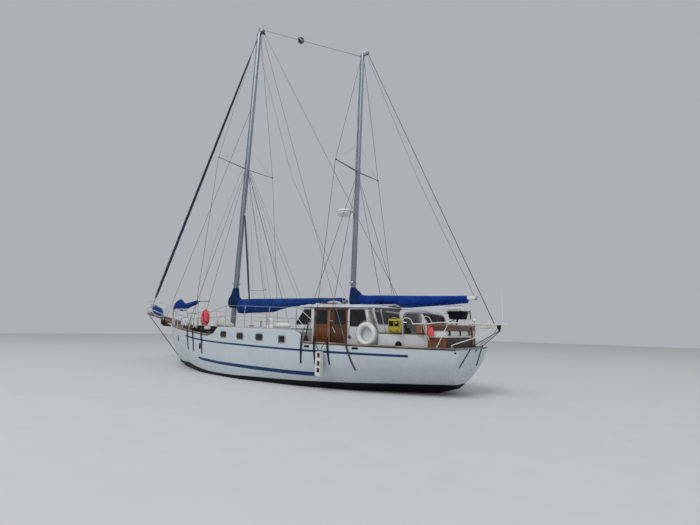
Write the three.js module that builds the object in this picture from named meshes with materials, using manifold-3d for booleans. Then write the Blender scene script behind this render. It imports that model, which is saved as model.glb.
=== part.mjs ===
// A cruising sailing yacht: long-keeled pilothouse ketch with a well foredeck,
// a raised midship deck, a glazed pilothouse under the mizzen mast, an aft
// cockpit with a dodger and a raked transom with a boomkin.
//
// Frame: origin on the centreline at the waterline, half way along the
// waterline. +X to the bow, +Y to port, +Z up. Tables below are in metres;
// finished meshes are scaled to millimetres.

import * as THREE from 'three';
import { mergeVertices } from 'three/addons/utils/BufferGeometryUtils.js';
import Module from 'manifold-3d';

const wasm = await Module();
wasm.setup();

const MM = 1000;            // metres to millimetres
const GAP = 0.0004;         // clearance between touching pieces
const { PI, sin, cos, tan, abs, sqrt, max, min } = Math;
const rad = d => d * PI / 180;

// ---------------------------------------------------------------- dimensions
const LWL = 12.5;                     // waterline length
const RAIL_W = 0.11, RAIL_T = 0.035;  // teak cap rail section
const BULWARK = 0.06;                 // bulwark thickness
const MAIN = { foot: 2.757, rake: rad(2.55), top: 14.40, r: 0.105, rTop: 0.085 };
const MIZZEN = { foot: -3.343, rake: rad(1.52), top: 10.86, r: 0.075, rTop: 0.062 };
const mastX = (m, z) => m.foot - z * tan(m.rake);
const WELL_DECK = x => 1.05 + 0.04 * (x - 0.6);   // foredeck inside the bulwarks
const WELL_X0 = 0.62, WELL_X1 = 6.75;
const RAISED = x => 1.535 + 0.014 * (x + 2);      // raised midship deck
const RAISED_X0 = -3.08, RAISED_X1 = 0.55;
const SIDE_DECK = 1.00, AFT_X0 = -3.36, AFT_X1 = -7.02;
const PH = { y: 1.45, t: 0.07, floor: 0.30, roof: 2.17, x0: -2.20, x1: -5.30 };
const KEEL_Z = -2.00, PARTING = -1.45;

// hull stations: x, half-breadth at the sheer, sheer height, half-breadth on
// the waterline (or null), rabbet height, half thickness at rabbet, fullness
const ST = [
  // x      bS     zS     bW    zR      kt    p
  [-7.60, 0.700, 1.150, null,  0.410, 0.02, 2.9],
  [-7.00, 1.020, 1.160, null,  0.215, 0.02, 2.9],
  [-6.25, 1.380, 1.170, null, -0.005, 0.03, 2.7],
  [-5.51, 1.665, 1.180, 0.62, -0.220, 0.05, 0],
  [-4.75, 1.870, 1.190, 1.08, -0.420, 0.07, 0],
  [-4.00, 2.000, 1.200, 1.39, -0.600, 0.09, 0],
  [-2.96, 2.100, 1.205, 1.73, -0.800, 0.12, 0],
  [-1.86, 2.143, 1.215, 1.88, -0.950, 0.14, 0],
  [-0.50, 2.160, 1.235, 2.02, -1.040, 0.15, 0],
  [ 1.11, 2.112, 1.290, 1.91, -1.050, 0.15, 0],
  [ 1.99, 2.010, 1.345, 1.74, -1.020, 0.14, 0],
  [ 3.07, 1.815, 1.420, 1.38, -0.930, 0.12, 0],
  [ 4.04, 1.555, 1.480, 1.02, -0.800, 0.10, 0],
  [ 5.00, 1.200, 1.530, 0.60, -0.590, 0.07, 0],
  [ 5.76, 0.860, 1.565, 0.25, -0.320, 0.05, 0],
  [ 6.25, 0.610, 1.585, null,  0.000, 0.035, 1.75],
  [ 6.70, 0.370, 1.602, null,  0.780, 0.035, 1.45],
  [ 7.00, 0.205, 1.612, null,  1.290, 0.035, 1.25],
  [ 7.18, 0.100, 1.618, null,  1.575, 0.035, 1.10],
];
for (const s of ST) if (!s[6]) {
  const tw = -s[4] / (s[2] - s[4]), r = (s[3] - s[5]) / (s[1] - s[5]);
  s[6] = Math.log(1 - r) / Math.log(1 - tw);
}
// smooth value of column k of the station table at x
function station(k, x) {
  let i = 0;
  while (i < ST.length - 2 && x > ST[i + 1][0]) i++;
  const P = j => ST[max(0, min(ST.length - 1, j))];
  const a = P(i), b = P(i + 1), h = b[0] - a[0], u = max(0, min(1, (x - a[0]) / h));
  const d = (b[k] - a[k]) / h;
  const sl = j => {
    if (j <= 0 || j >= ST.length - 1) return null;
    const l = (P(j)[k] - P(j - 1)[k]) / (P(j)[0] - P(j - 1)[0]);
    const r = (P(j + 1)[k] - P(j)[k]) / (P(j + 1)[0] - P(j)[0]);
    return l * r <= 0 ? 0 : 2 * l * r / (l + r);
  };
  const m0 = sl(i) ?? d, m1 = sl(i + 1) ?? d;
  return (1 + 2 * u) * (1 - u) ** 2 * a[k] + u * (1 - u) ** 2 * h * m0
    + u * u * (3 - 2 * u) * b[k] + u * u * (u - 1) * h * m1;
}
const sheerY = x => station(1, x), sheerZ = x => station(2, x);
// half-breadth of the hull skin at (x, z)
function hullY(x, z) {
  const bS = station(1, x), zS = station(2, x), zR = station(4, x), kt = station(5, x), p = station(6, x);
  const t = max(0, min(1, (z - zR) / (zS - zR)));
  return kt + (bS - kt) * (1 - (1 - t) ** p);
}

// ------------------------------------------------------------------- helpers
function clean(g) {
  const c = g.index ? g : g.clone();
  for (const n of Object.keys(c.attributes)) if (n !== 'position') c.deleteAttribute(n);
  return mergeVertices(c, 1e-6);
}
function toSolid(g) {
  const c = clean(g);
  return new wasm.Manifold(new wasm.Mesh({
    numProp: 3, vertProperties: new Float32Array(c.attributes.position.array),
    triVerts: new Uint32Array(c.index.array) }));
}
function fromSolid(s) {
  const m = s.getMesh(), g = new THREE.BufferGeometry();
  g.setAttribute('position', new THREE.BufferAttribute(new Float32Array(m.vertProperties), 3));
  g.setIndex(new THREE.BufferAttribute(new Uint32Array(m.triVerts), 1));
  return g;
}
const join = (...gs) => fromSolid(gs.map(toSolid).reduce((a, b) => a.add(b)));
const cut = (g, ...gs) => fromSolid(gs.map(toSolid).reduce((a, b) => a.subtract(b), toSolid(g)));
const common = (a, b) => fromSolid(toSolid(a).intersect(toSolid(b)));

function box(x0, x1, y0, y1, z0, z1) {
  const g = new THREE.BoxGeometry(abs(x1 - x0), abs(y1 - y0), abs(z1 - z0));
  return g.translate((x0 + x1) / 2, (y0 + y1) / 2, (z0 + z1) / 2);
}
function rod(a, b, r, n = 8, r2 = r) {
  const A = new THREE.Vector3(...a), B = new THREE.Vector3(...b), d = B.clone().sub(A);
  const g = new THREE.CylinderGeometry(r2, r, d.length(), n, 1);
  g.applyQuaternion(new THREE.Quaternion().setFromUnitVectors(new THREE.Vector3(0, 1, 0), d.normalize()));
  return g.translate((a[0] + b[0]) / 2, (a[1] + b[1]) / 2, (a[2] + b[2]) / 2);
}
// round bar along a smooth or broken line
function bar(pts, r, n = 8, steps = 0, round = true) {
  const v = pts.map(p => new THREE.Vector3(...p));
  const path = round ? new THREE.CatmullRomCurve3(v, false, 'centripetal') : new THREE.CurvePath();
  if (!round) for (let i = 1; i < v.length; i++) path.add(new THREE.LineCurve3(v[i - 1], v[i]));
  const s = new THREE.Shape();
  for (let i = 0; i < n; i++) {
    const a = 2 * PI * i / n;
    i ? s.lineTo(r * cos(a), r * sin(a)) : s.moveTo(r, 0);
  }
  s.closePath();
  return new THREE.ExtrudeGeometry(s, { extrudePath: path, steps: steps || 4 * (pts.length - 1), bevelEnabled: false, curveSegments: 1 });
}
function sphere(c, r, n = 10, m = 6, sx = 1, sy = 1, sz = 1) {
  return new THREE.SphereGeometry(r, n, m).scale(sx, sy, sz).translate(...c);
}
// closed body through rings of equal point count
function loft(rings) {
  const n = rings[0].length, pos = [], idx = [];
  for (const r of rings) for (const p of r) pos.push(...p);
  for (let i = 0; i < rings.length - 1; i++) for (let j = 0; j < n; j++) {
    const a = i * n + j, b = i * n + (j + 1) % n, c = a + n, d = b + n;
    idx.push(a, b, d, a, d, c);
  }
  for (const [i, flip] of [[0, true], [rings.length - 1, false]]) {
    const c = [0, 1, 2].map(k => rings[i].reduce((s, p) => s + p[k], 0) / n), q = pos.length / 3;
    pos.push(...c);
    for (let j = 0; j < n; j++) {
      const a = i * n + j, b = i * n + (j + 1) % n;
      flip ? idx.push(b, a, q) : idx.push(a, b, q);
    }
  }
  return outward(pos, idx);
}
function outward(pos, idx) {
  let v = 0;
  for (let i = 0; i < idx.length; i += 3) {
    const [a, b, c] = [0, 1, 2].map(k => idx[i + k] * 3);
    v += pos[a] * (pos[b + 1] * pos[c + 2] - pos[b + 2] * pos[c + 1])
      - pos[a + 1] * (pos[b] * pos[c + 2] - pos[b + 2] * pos[c])
      + pos[a + 2] * (pos[b] * pos[c + 1] - pos[b + 1] * pos[c]);
  }
  if (v < 0) for (let i = 0; i < idx.length; i += 3) [idx[i + 1], idx[i + 2]] = [idx[i + 2], idx[i + 1]];
  const g = new THREE.BufferGeometry();
  g.setAttribute('position', new THREE.Float32BufferAttribute(pos, 3));
  g.setIndex(idx);
  return g;
}
// flat plates from an outline, with openings cut right through
const slab = (pts, depth) => new THREE.ExtrudeGeometry(new THREE.Shape(pts.map(p => new THREE.Vector2(p[0], p[1]))),
  { depth, bevelEnabled: false, steps: 1 });
function plate(outline, holes, lo, hi, place) {
  const g = place(slab(outline, hi - lo).translate(0, 0, lo));
  return holes.length ? cut(g, ...holes.map(h => place(slab(h, hi - lo + 0.2).translate(0, 0, lo - 0.1)))) : g;
}
const plateXZ = (o, y0, y1, holes = []) => plate(o, holes, -max(y0, y1), -min(y0, y1), g => g.rotateX(PI / 2));
const plateXY = (o, z0, z1, holes = []) => plate(o, holes, z0, z1, g => g);
const plateYZ = (o, x0, x1, holes = []) => plate(o, holes, x0, x1, g => g.applyMatrix4(new THREE.Matrix4().makeBasis(
  new THREE.Vector3(0, 1, 0), new THREE.Vector3(0, 0, 1), new THREE.Vector3(1, 0, 0))));
const mirrorY = g => {
  const c = clean(g), p = c.attributes.position, ix = c.index.array;
  for (let i = 0; i < p.count; i++) p.setY(i, -p.getY(i));
  for (let i = 0; i < ix.length; i += 3) [ix[i + 1], ix[i + 2]] = [ix[i + 2], ix[i + 1]];
  return c;
};
const range = (a, b, n) => Array.from({ length: n + 1 }, (_, i) => a + (b - a) * i / n);

const yacht = new THREE.Group();
function add(name, geom, color, roughness = 0.5, metalness = 0) {
  const g = clean(geom);
  g.scale(MM, MM, MM);
  g.computeVertexNormals();
  const m = new THREE.Mesh(g, new THREE.MeshStandardMaterial({ color, roughness, metalness }));
  m.name = name;
  yacht.add(m);
  return m;
}
const WHITE = 0xe9ebec, TEAK = 0x8a4a20, STEEL = 0xb9bdc2, ALLOY = 0x9ea3a8, BLUE = 0x16309a, DARK = 0x20242a, IRON = 0x33383d;

// ---------------------------------------------------------------------- hull
const LEVELS = [0, 0.06, 0.15, 0.26, 0.38, 0.52, 0.66, 0.82, 1];
const HULL_X = [-7.6, -7.3, -7.0, -6.62, -6.25, -5.88, -5.5, -5.1, -4.75, -4.37, -4, -3.65, -3.36, -2.96, -2.4, -1.86, -1.2,
  -0.5, 0.3, 1.11, 1.55, 1.99, 2.53, 3.07, 3.55, 4.04, 4.52, 5, 5.38, 5.76, 6.02, 6.25, 6.48, 6.7, 6.86, 7, 7.1, 7.18];
function hullRing(x) {
  const bS = station(1, x), zS = station(2, x), zR = station(4, x), kt = station(5, x), p = station(6, x);
  const side = LEVELS.map(t => [x, kt + (bS - kt) * (1 - (1 - t) ** p), zR + (zS - zR) * t]);
  return [...side, ...side.slice().reverse().map(([a, b, c]) => [a, -b, c])];
}
// transom plane: top corners at x = -7.31, z = 1.19; bottom at x = -6.88, z = 0.19
const TRANSOM = z => -6.80 - 0.43 * z;
const sternCut = plateXZ([[TRANSOM(-1), -1], [TRANSOM(3), 3], [-9, 3], [-9, -1]], -2, 2);

// long keel: z level, leading edge x, trailing edge x, half thickness
const FIN = [
  [-2.00, 2.10, -5.10, 0.13],
  [-1.85, 2.55, -5.14, 0.145],
  [-1.45, 3.45, -5.26, 0.15],
  [-1.10, 4.15, -5.37, 0.15],
  [-0.75, 4.75, -5.48, 0.14],
  [-0.45, 5.20, -5.57, 0.12],
];
function finRing([z, le, te, h]) {
  const us = [0, 0.02, 0.06, 0.14, 0.28, 0.5, 0.72, 0.88, 1];
  const half = us.map(u => [te + (le - te) * u, h * (u < 0.5 ? 0.16 + 0.84 * sin(PI * u) : max(0.1, sqrt(max(0, 1 - ((u - 0.5) / 0.5) ** 2.6)))), z]);
  return [...half, ...half.slice().reverse().map(([a, b, c]) => [a, -b, c])];
}
const fin = loft(FIN.map(finRing));
const BALLAST = { x0: -3.30, x1: 2.95 };
const ballastZone = box(BALLAST.x0, BALLAST.x1 + 2, -1, 1, -3, PARTING);

// propeller aperture and rudder space behind the sternpost
const APERTURE = [[-4.97, -1.28], [-5.44, -1.31], [-5.46, -0.65], [-5.00, -0.61]];
const RUD = { foot: [-5.30, -1.93], head: [-5.72, -0.10] };       // stock axis in x and z
const rudderX = z => RUD.foot[0] + (RUD.head[0] - RUD.foot[0]) * (z - RUD.foot[1]) / (RUD.head[1] - RUD.foot[1]);

// plan outline inset from the sheer, port side then starboard
function planInset(x0, x1, inset, n) {
  const xs = range(x0, x1, n), p = xs.map(x => [x, max(0.02, sheerY(x) - inset)]);
  return [...p, ...p.slice().reverse().map(([x, y]) => [x, -y])];
}
function wellSolid(x0, x1, inset, n, zf, zTop) {
  const ring = x => { const y = max(0.03, sheerY(x) - inset(x)); return [[x, y, zf(x)], [x, y, zTop], [x, -y, zTop], [x, -y, zf(x)]]; };
  return loft(range(x0, x1, n).map(ring));
}
const hullBody = loft(HULL_X.map(hullRing));
// raised midship deck: x, height
const RAISED_LINE = [[1.02, 1.285], [0.90, 1.315], [0.78, 1.375], [0.68, 1.455], [0.60, 1.535], [0.55, RAISED(0.55)],
  [-0.8, RAISED(-0.8)], [-2, RAISED(-2)], [-2.9, RAISED(-2.9)], [-3.02, 1.515], [-3.13, 1.47], [-3.22, 1.40], [-3.29, 1.30], [-3.32, 1.19]];
const raised = loft(RAISED_LINE.map(([x, z]) => {
  const y = sheerY(x);
  return [[x, y, 1.0], [x, y, z], [x, y * 0.5, z + 0.02], [x, -y * 0.5, z + 0.02], [x, -y, z], [x, -y, 1.0]];
}));
const wellCut = wellSolid(WELL_X0, WELL_X1, () => BULWARK, 16, WELL_DECK, 2.2);
const aftCut = wellSolid(AFT_X1, RAISED_X0 - 0.02, () => BULWARK, 12, () => SIDE_DECK, 2.2);
const cabinCut = join(box(-4.95, -2.42, -1.28, 1.28, PH.floor, 2.2), box(-5.22, -4.90, -0.37, 0.37, 0.65, 2.2));   // with the companion step
const COCKPIT = { x0: -6.45, x1: -5.42, y: 0.45, z: 0.62 };
const cockpitCut = box(COCKPIT.x0, COCKPIT.x1, -COCKPIT.y, COCKPIT.y, COCKPIT.z, 2.2);
const hatchWell = (x0, x1, y, z0, z1) => box(x0, x1, -y, y, z0, z1);
const SHAFT = { z: -0.97, r: 0.022 };
const shaftBore = rod([-5.3, 0, SHAFT.z], [-4.2, 0, SHAFT.z], SHAFT.r + 0.004, 12);
const aperture = plateXZ(APERTURE, -0.4, 0.4);
const sternSpace = plateXZ([[rudderX(-1.93) + 0.075, -1.93], [rudderX(-0.13) + 0.075, -0.13], [-8, 0.2], [-8, -1.93]], -0.5, 0.5);
const stockBore = rod([rudderX(-0.3), 0, -0.3], [rudderX(0.5), 0, 0.5], 0.036, 12);
const FORE_HATCH = { x0: 3.30, x1: 3.90, y: 0.30 };
const DECK_HATCH = { x0: -1.45, x1: -0.85, y: 0.30 };
let hull = join(cut(hullBody, sternCut), raised);
hull = cut(hull, wellCut, aftCut, cabinCut, cockpitCut);
const finTop = cut(fin, box(BALLAST.x0 - GAP, 9, -1, 1, -3, PARTING + GAP), sternSpace, aperture);
hull = join(hull, finTop);
hull = cut(hull, shaftBore, stockBore,
  box(FORE_HATCH.x0 + 0.05, FORE_HATCH.x1 - 0.05, -0.25, 0.25, 0.75, 2),
  box(DECK_HATCH.x0 + 0.05, DECK_HATCH.x1 - 0.05, -0.25, 0.25, 1.2, 2));
add('hull', hull, WHITE, 0.35);
const hullSolid = toSolid(hull);
const over = [[0, 0, GAP], [0, GAP, 0], [0, -GAP, 0]].map(d => hullSolid.translate(d)).reduce((a, b) => a.add(b));
// trim a piece so that it sits on the hull with a hair of clearance
const seat = g => fromSolid(toSolid(g).subtract(over));
add('ballast_keel', common(cut(fin, sternSpace), ballastZone), IRON, 0.6, 0.3);

// rudder: blade behind the stock, heel pin in the keel shoe
const RB = [ // z, chord aft of the stock, half thickness
  [-1.90, 0.62, 0.035], [-1.60, 0.82, 0.04], [-1.10, 0.86, 0.045], [-0.60, 0.74, 0.045], [-0.30, 0.62, 0.045]];
const blade = loft(RB.map(([z, c, h]) => {
  const x = rudderX(z), half = [[x - c, 0.012], [x - c * 0.6, h * 0.7], [x - c * 0.2, h], [x, h]];
  const nose = [[x + 0.035, h * 0.75], [x + 0.05, 0]];
  const all = [...half, ...nose];
  return [...all.map(([a, b]) => [a, b, z]), ...all.slice(0, -1).reverse().map(([a, b]) => [a, -b, z])];
}));
const stock = rod([rudderX(-0.6), 0, -0.6], [rudderX(0.42), 0, 0.42], 0.030, 12);
add('rudder', join(blade, stock), 0x2c3036, 0.7);

// propeller with its shaft: three blades on a hub
const PROP = { x: -5.17, r: 0.27 };
const hub = new THREE.LatheGeometry([[0, -0.09], [0.035, -0.075], [0.05, -0.03], [0.05, 0.05], [0.045, 0.06], [0, 0.06]]
  .map(p => new THREE.Vector2(p[0], p[1])), 12).rotateZ(-PI / 2).translate(PROP.x, 0, SHAFT.z);
let prop = join(hub, rod([PROP.x, 0, SHAFT.z], [-4.22, 0, SHAFT.z], SHAFT.r, 12));
for (let k = 0; k < 3; k++) {
  const rings = [[0.03, 0.055, 50], [0.10, 0.085, 36], [0.18, 0.10, 26], [0.25, 0.06, 20], [0.27, 0.02, 18]].map(([r, w, pitch]) => {
    const t = 0.006, ca = cos(rad(pitch)), sa = sin(rad(pitch));
    return [[-w, -t], [w, -t], [w, t], [-w, t]].map(([u, v]) => [u * sa + v * ca, u * ca - v * sa, r]);
  });
  const b = loft(rings).rotateX(2 * PI * k / 3).translate(PROP.x, 0, SHAFT.z);
  prop = join(prop, b);
}
add('propeller', prop, 0xa5813c, 0.35, 1);

// ----------------------------------------------------------------- cap rails
// height of the bulwark top, straight between the hull's sections
function topZ(x) {
  let i = 0;
  while (i < HULL_X.length - 2 && x > HULL_X[i + 1]) i++;
  const u = (x - HULL_X[i]) / (HULL_X[i + 1] - HULL_X[i]);
  return sheerZ(HULL_X[i]) * (1 - u) + sheerZ(HULL_X[i + 1]) * u;
}
// board lying on the bulwark, following the sheer in plan, one side
const railBoard = (xa, xb) => loft([xa, ...HULL_X.filter(x => x > xa + 0.02 && x < xb - 0.02), xb].map(x => {
  const y = max(0.02, sheerY(x) - 0.03), z = topZ(x) + GAP, w = RAIL_W / 2;
  return [[x, y + w, z], [x, y + w, z + RAIL_T], [x, y - w, z + RAIL_T], [x, y - w, z]];
}));
{
  // one board round the bow: up the port side, over the stem head, down to starboard
  const nz = topZ(7.1) + GAP, yb = sheerY(6.9);
  const port = railBoard(1.06, 6.95);
  const nose = plateXY([[6.9, yb + 0.025], [7.12, 0.16], [7.26, 0.05], [7.26, -0.05], [7.12, -0.16],
    [6.9, -yb - 0.025], [6.82, -0.05], [6.82, 0.05]], nz + 0.006, nz + 0.006 + RAIL_T);
  add('cap_rail_forward', join(port, mirrorY(port), nose), TEAK, 0.55);
}
{
  // the two quarters joined by the taffrail across the transom
  const side = railBoard(-7.24, -3.34);
  const x = -7.22, y = sheerY(x) - 0.03 + RAIL_W / 2, z = topZ(x) + 0.001;
  const taff = plateXY([[x + 0.02, y], [x - 0.09, y - 0.03], [x - 0.13, 0], [x - 0.09, -y + 0.03], [x + 0.02, -y], [x + 0.04, 0]], z + 0.002, z + RAIL_T);
  add('cap_rail_aft', join(side, mirrorY(side), taff), TEAK, 0.55);
}

// --------------------------------------------------------------- bow fittings
const SPRIT = { x0: 6.62, x1: 9.85, z0: 1.66, z1: 2.13, w0: 0.30, w1: 0.17, t: 0.07 };
const spritZ = x => SPRIT.z0 + (SPRIT.z1 - SPRIT.z0) * (x - SPRIT.x0) / (SPRIT.x1 - SPRIT.x0);
const spritW = x => SPRIT.w0 + (SPRIT.w1 - SPRIT.w0) * (x - SPRIT.x0) / (SPRIT.x1 - SPRIT.x0);
const sprit = loft([6.62, 7.3, 8.4, 9.6, 9.85].map(x => {
  const w = x > 9.8 ? 0.08 : spritW(x), z = spritZ(x);
  return [[x, w, z], [x, w, z + SPRIT.t], [x, -w, z + SPRIT.t], [x, -w, z]];
}));
// post carrying the club boom's pin between two cheeks
const CLUB_POST = join(rod([7.36, 0, spritZ(7.36) + 0.03], [7.36, 0, 2.268], 0.035, 10), rod([7.36, 0, spritZ(7.36) + SPRIT.t - 0.01], [7.36, 0, spritZ(7.36) + SPRIT.t + 0.02], 0.08, 12));
add('bowsprit_platform', join(sprit, CLUB_POST), TEAK, 0.55);

// pulpit: top rail round the platform end, mid rail and posts, in one frame
{
  const top = [[6.95, 0.42, 2.28], [7.8, 0.40, 2.45], [8.8, 0.33, 2.63], [9.55, 0.24, 2.74], [9.86, 0.0, 2.78],
    [9.55, -0.24, 2.74], [8.8, -0.33, 2.63], [7.8, -0.40, 2.45], [6.95, -0.42, 2.28]];
  const midr = top.map(([x, y, z]) => [x, y, z - 0.32]);
  const posts = [];
  for (const s of [1, -1]) for (const [x, y, z] of [[9.5, 0.25, 2.735], [8.6, 0.345, 2.595], [7.7, 0.405, 2.43]])
    posts.push(rod([x, s * y, z], [x, s * (spritW(x) + 0.016), spritZ(x) + 0.02], 0.0125, 5));
  const feet = [1, -1].map(s => bar([[6.95, s * 0.42, 2.28], [6.80, s * 0.40, 2.2], [6.72, s * 0.36, 1.9], [6.72, s * 0.34, sheerZ(6.72) + RAIL_T + 0.006]], 0.0125, 5, 5));
  add('pulpit', join(bar(top, 0.0135, 6, 12), bar(midr, 0.010, 5, 12), ...posts, ...feet), STEEL, 0.25, 1);
}
add('bobstay', rod([9.80, 0, spritZ(9.80) - 0.016], [6.61, 0, 0.245], 0.012, 6), 0x3a3f45, 0.4, 1);

// anchor stowed under the platform roller and the windlass behind it
{
  const shank = plateXZ([[7.35, 1.70], [8.42, 1.865], [8.46, 1.83], [8.40, 1.74], [7.35, 1.65]], -0.018, 0.018);
  const fluke = loft([[8.42, 0.03, 1.80, 1.74], [8.15, 0.16, 1.68, 1.64], [7.82, 0.20, 1.57, 1.54], [7.64, 0.05, 1.54, 1.52]].map(([x, w, za, zb]) =>
    [[x, w, za], [x, -w, za], [x, -w, zb], [x, w, zb]]));
  add('anchor', join(shank, fluke), 0x7f858a, 0.5, 1);
  const wz = WELL_DECK(6.1);
  add('windlass', join(seat(box(5.95, 6.28, -0.17, 0.17, wz - 0.01, wz + 0.30)), rod([6.1, -0.28, wz + 0.22], [6.1, 0.28, wz + 0.22], 0.07, 10),
    rod([6.1, -0.34, wz + 0.22], [6.1, 0.34, wz + 0.22], 0.045, 10)), 0x8d9296, 0.45, 1);
}

// ------------------------------------------------------------- masts and rig
function mast(m, z0) {
  const at = z => [mastX(m, z), 0, z];
  return rod(at(z0), at(m.top), m.r, 14, m.rTop);
}
const GOOSE = { main: [mastX(MAIN, 2.50) - 0.20, 0, 2.50], mizzen: [mastX(MIZZEN, 2.46) - 0.15, 0, 2.46], club: [7.36, 0, 2.37] };
const MAIN_FOOT = WELL_DECK(2.5);
const ROOF_TOP = 2.27;
// spreaders on their root casting: mast, height, half length
function spreaders(m, z, half) {
  const x = mastX(m, z), rm = m.r + (m.rTop - m.r) * (z / m.top);
  const arm = sgn => loft([[rm * 0.6, 0.045, 0.02], [half * 0.5, 0.04, 0.016], [half, 0.022, 0.012]].map(([y, w, t]) =>
    [[x - w, sgn * y, z + 0.05 * y], [x, sgn * y, z + t + 0.05 * y], [x + w, sgn * y, z + 0.05 * y], [x, sgn * y, z - t + 0.05 * y]]));
  return [arm(1), arm(-1), rod([x + 0.06 * tan(m.rake), 0, z - 0.06], [x - 0.06 * tan(m.rake), 0, z + 0.06], rm + 0.012, 14)];
}
// fork of a gooseneck: plates above and below the boom's pin
const fork = ([x, , z], xm, t = 0.014) => [1, -1].map(k => box(x - 0.04, xm, -0.035, 0.035, z + k * 0.096, z + k * (0.096 + t)));
add('main_mast', join(mast(MAIN, MAIN_FOOT + 0.04), seat(box(2.50, 2.92, -0.17, 0.17, MAIN_FOOT, MAIN_FOOT + 0.06)),
  box(mastX(MAIN, 14.38) - 0.30, mastX(MAIN, 14.38) + 0.16, -0.045, 0.045, 14.34, 14.44),
  ...spreaders(MAIN, 8.13, 1.365), ...fork(GOOSE.main, mastX(MAIN, 2.50))), ALLOY, 0.45, 1);
add('mizzen_mast', join(mast(MIZZEN, ROOF_TOP + 0.03), box(mastX(MIZZEN, 2.3) - 0.13, mastX(MIZZEN, 2.3) + 0.13, -0.12, 0.12, ROOF_TOP + GAP, ROOF_TOP + 0.04),
  box(mastX(MIZZEN, 10.8) - 0.25, mastX(MIZZEN, 10.8) + 0.10, -0.035, 0.035, 10.79, 10.87),
  ...spreaders(MIZZEN, 6.66, 1.12), ...fork(GOOSE.mizzen, mastX(MIZZEN, 2.46))), ALLOY, 0.45, 1);

// strap on the topsides and the wire above it
function strap(x0, z0, x1, z1, w = 0.05, t = 0.012) {
  return loft(range(0, 1, 4).map(u => {
    const x = x0 + (x1 - x0) * u, z = z0 + (z1 - z0) * u, y = (z > sheerZ(x) ? sheerY(x) : hullY(x, z)) + 0.004 + 0.028 * max(0, min(1, (z - sheerZ(x) + 0.30) / 0.20));
    return [[x - w / 2, y, z], [x - w / 2, y + t, z], [x + w / 2, y + t, z], [x + w / 2, y, z]];
  }));
}
const WIRE = 0.007;
// main shrouds: chainplate x at bottom, z at bottom, x at top, then the wire's points
function shroudSet(rows, poleZ) {
  const parts = [];
  const atZ = [];
  for (const { cx0, cz0, cx1, cz1, wire } of rows) {
    parts.push(strap(cx0, cz0, cx1, cz1));
    const start = [cx1, sheerY(cx1) + 0.037, cz1 - 0.02];
    const pts = [start, ...wire];
    for (let i = 1; i < pts.length; i++) parts.push(rod(pts[i - 1], pts[i], WIRE, 5));
    const a = pts[0], b = pts[1], u = (poleZ - a[2]) / (b[2] - a[2]);
    atZ.push([a[0] + (b[0] - a[0]) * u, a[1] + (b[1] - a[1]) * u, poleZ]);
  }
  atZ.sort((p, q) => p[0] - q[0]);
  for (let i = 1; i < atZ.length; i++) parts.push(rod(atZ[i - 1], atZ[i], 0.012, 5));
  return seat(join(...parts));
}
const mx = z => mastX(MAIN, z), zx = z => mastX(MIZZEN, z);
const mainPort = shroudSet([
  { cx0: 2.64, cz0: 0.74, cx1: 2.76, cz1: 1.52, wire: [[mx(7.95) + 0.03, 0.115, 7.95]] },
  { cx0: 2.12, cz0: 0.71, cx1: 2.24, cz1: 1.50, wire: [[mx(8.2), 1.392, 8.20], [mx(14.2), 0.100, 14.2]] },
  { cx0: 1.43, cz0: 0.68, cx1: 1.54, cz1: 1.46, wire: [[mx(7.92) - 0.03, 0.115, 7.92]] },
], 2.45);
add('main_shrouds_port', mainPort, 0x4a4f55, 0.35, 1);
add('main_shrouds_starboard', seat(mirrorY(mainPort)), 0x4a4f55, 0.35, 1);
const mizPort = shroudSet([
  { cx0: -3.27, cz0: 0.65, cx1: -3.33, cz1: 1.42, wire: [[zx(6.45) + 0.02, 0.082, 6.45]] },
  { cx0: -3.74, cz0: 0.66, cx1: -3.74, cz1: 1.38, wire: [[zx(6.7), 1.146, 6.72], [zx(10.7), 0.076, 10.7]] },
  { cx0: -4.18, cz0: 0.67, cx1: -4.16, cz1: 1.38, wire: [[zx(6.4) - 0.02, 0.082, 6.40]] },
], 2.40);
add('mizzen_shrouds_port', mizPort, 0x4a4f55, 0.35, 1);
add('mizzen_shrouds_starboard', seat(mirrorY(mizPort)), 0x4a4f55, 0.35, 1);
const backPort = shroudSet([{ cx0: -4.87, cz0: 0.57, cx1: -4.66, cz1: 1.36, wire: [[mx(14.38) - 0.25, 0.052, 14.30]] }], 2);
add('main_backstays', seat(join(backPort, mirrorY(backPort), box(mx(14.38) - 0.28, mx(14.38) - 0.22, -0.10, 0.10, 14.27, 14.325))), 0x4a4f55, 0.35, 1);
add('inner_forestay', rod([7.98, 0, spritZ(7.98) + SPRIT.t + 0.006], [mx(10.90) + 0.112, 0, 10.90], WIRE, 6), 0x4a4f55, 0.35, 1);

// triatic stay between the mastheads, carrying the radar reflector
{
  const a = [mx(14.38) - 0.305, 0, 14.40], b = [zx(10.8) + 0.105, 0, 10.84];
  const at = u => a.map((v, i) => v + (b[i] - v) * u), c = at(0.44);
  const refl = new THREE.OctahedronGeometry(0.17).translate(...c);
  add('triatic_stay', join(rod(a, b, WIRE, 6), refl), 0x2b2f34, 0.5, 0.5);
}

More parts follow.
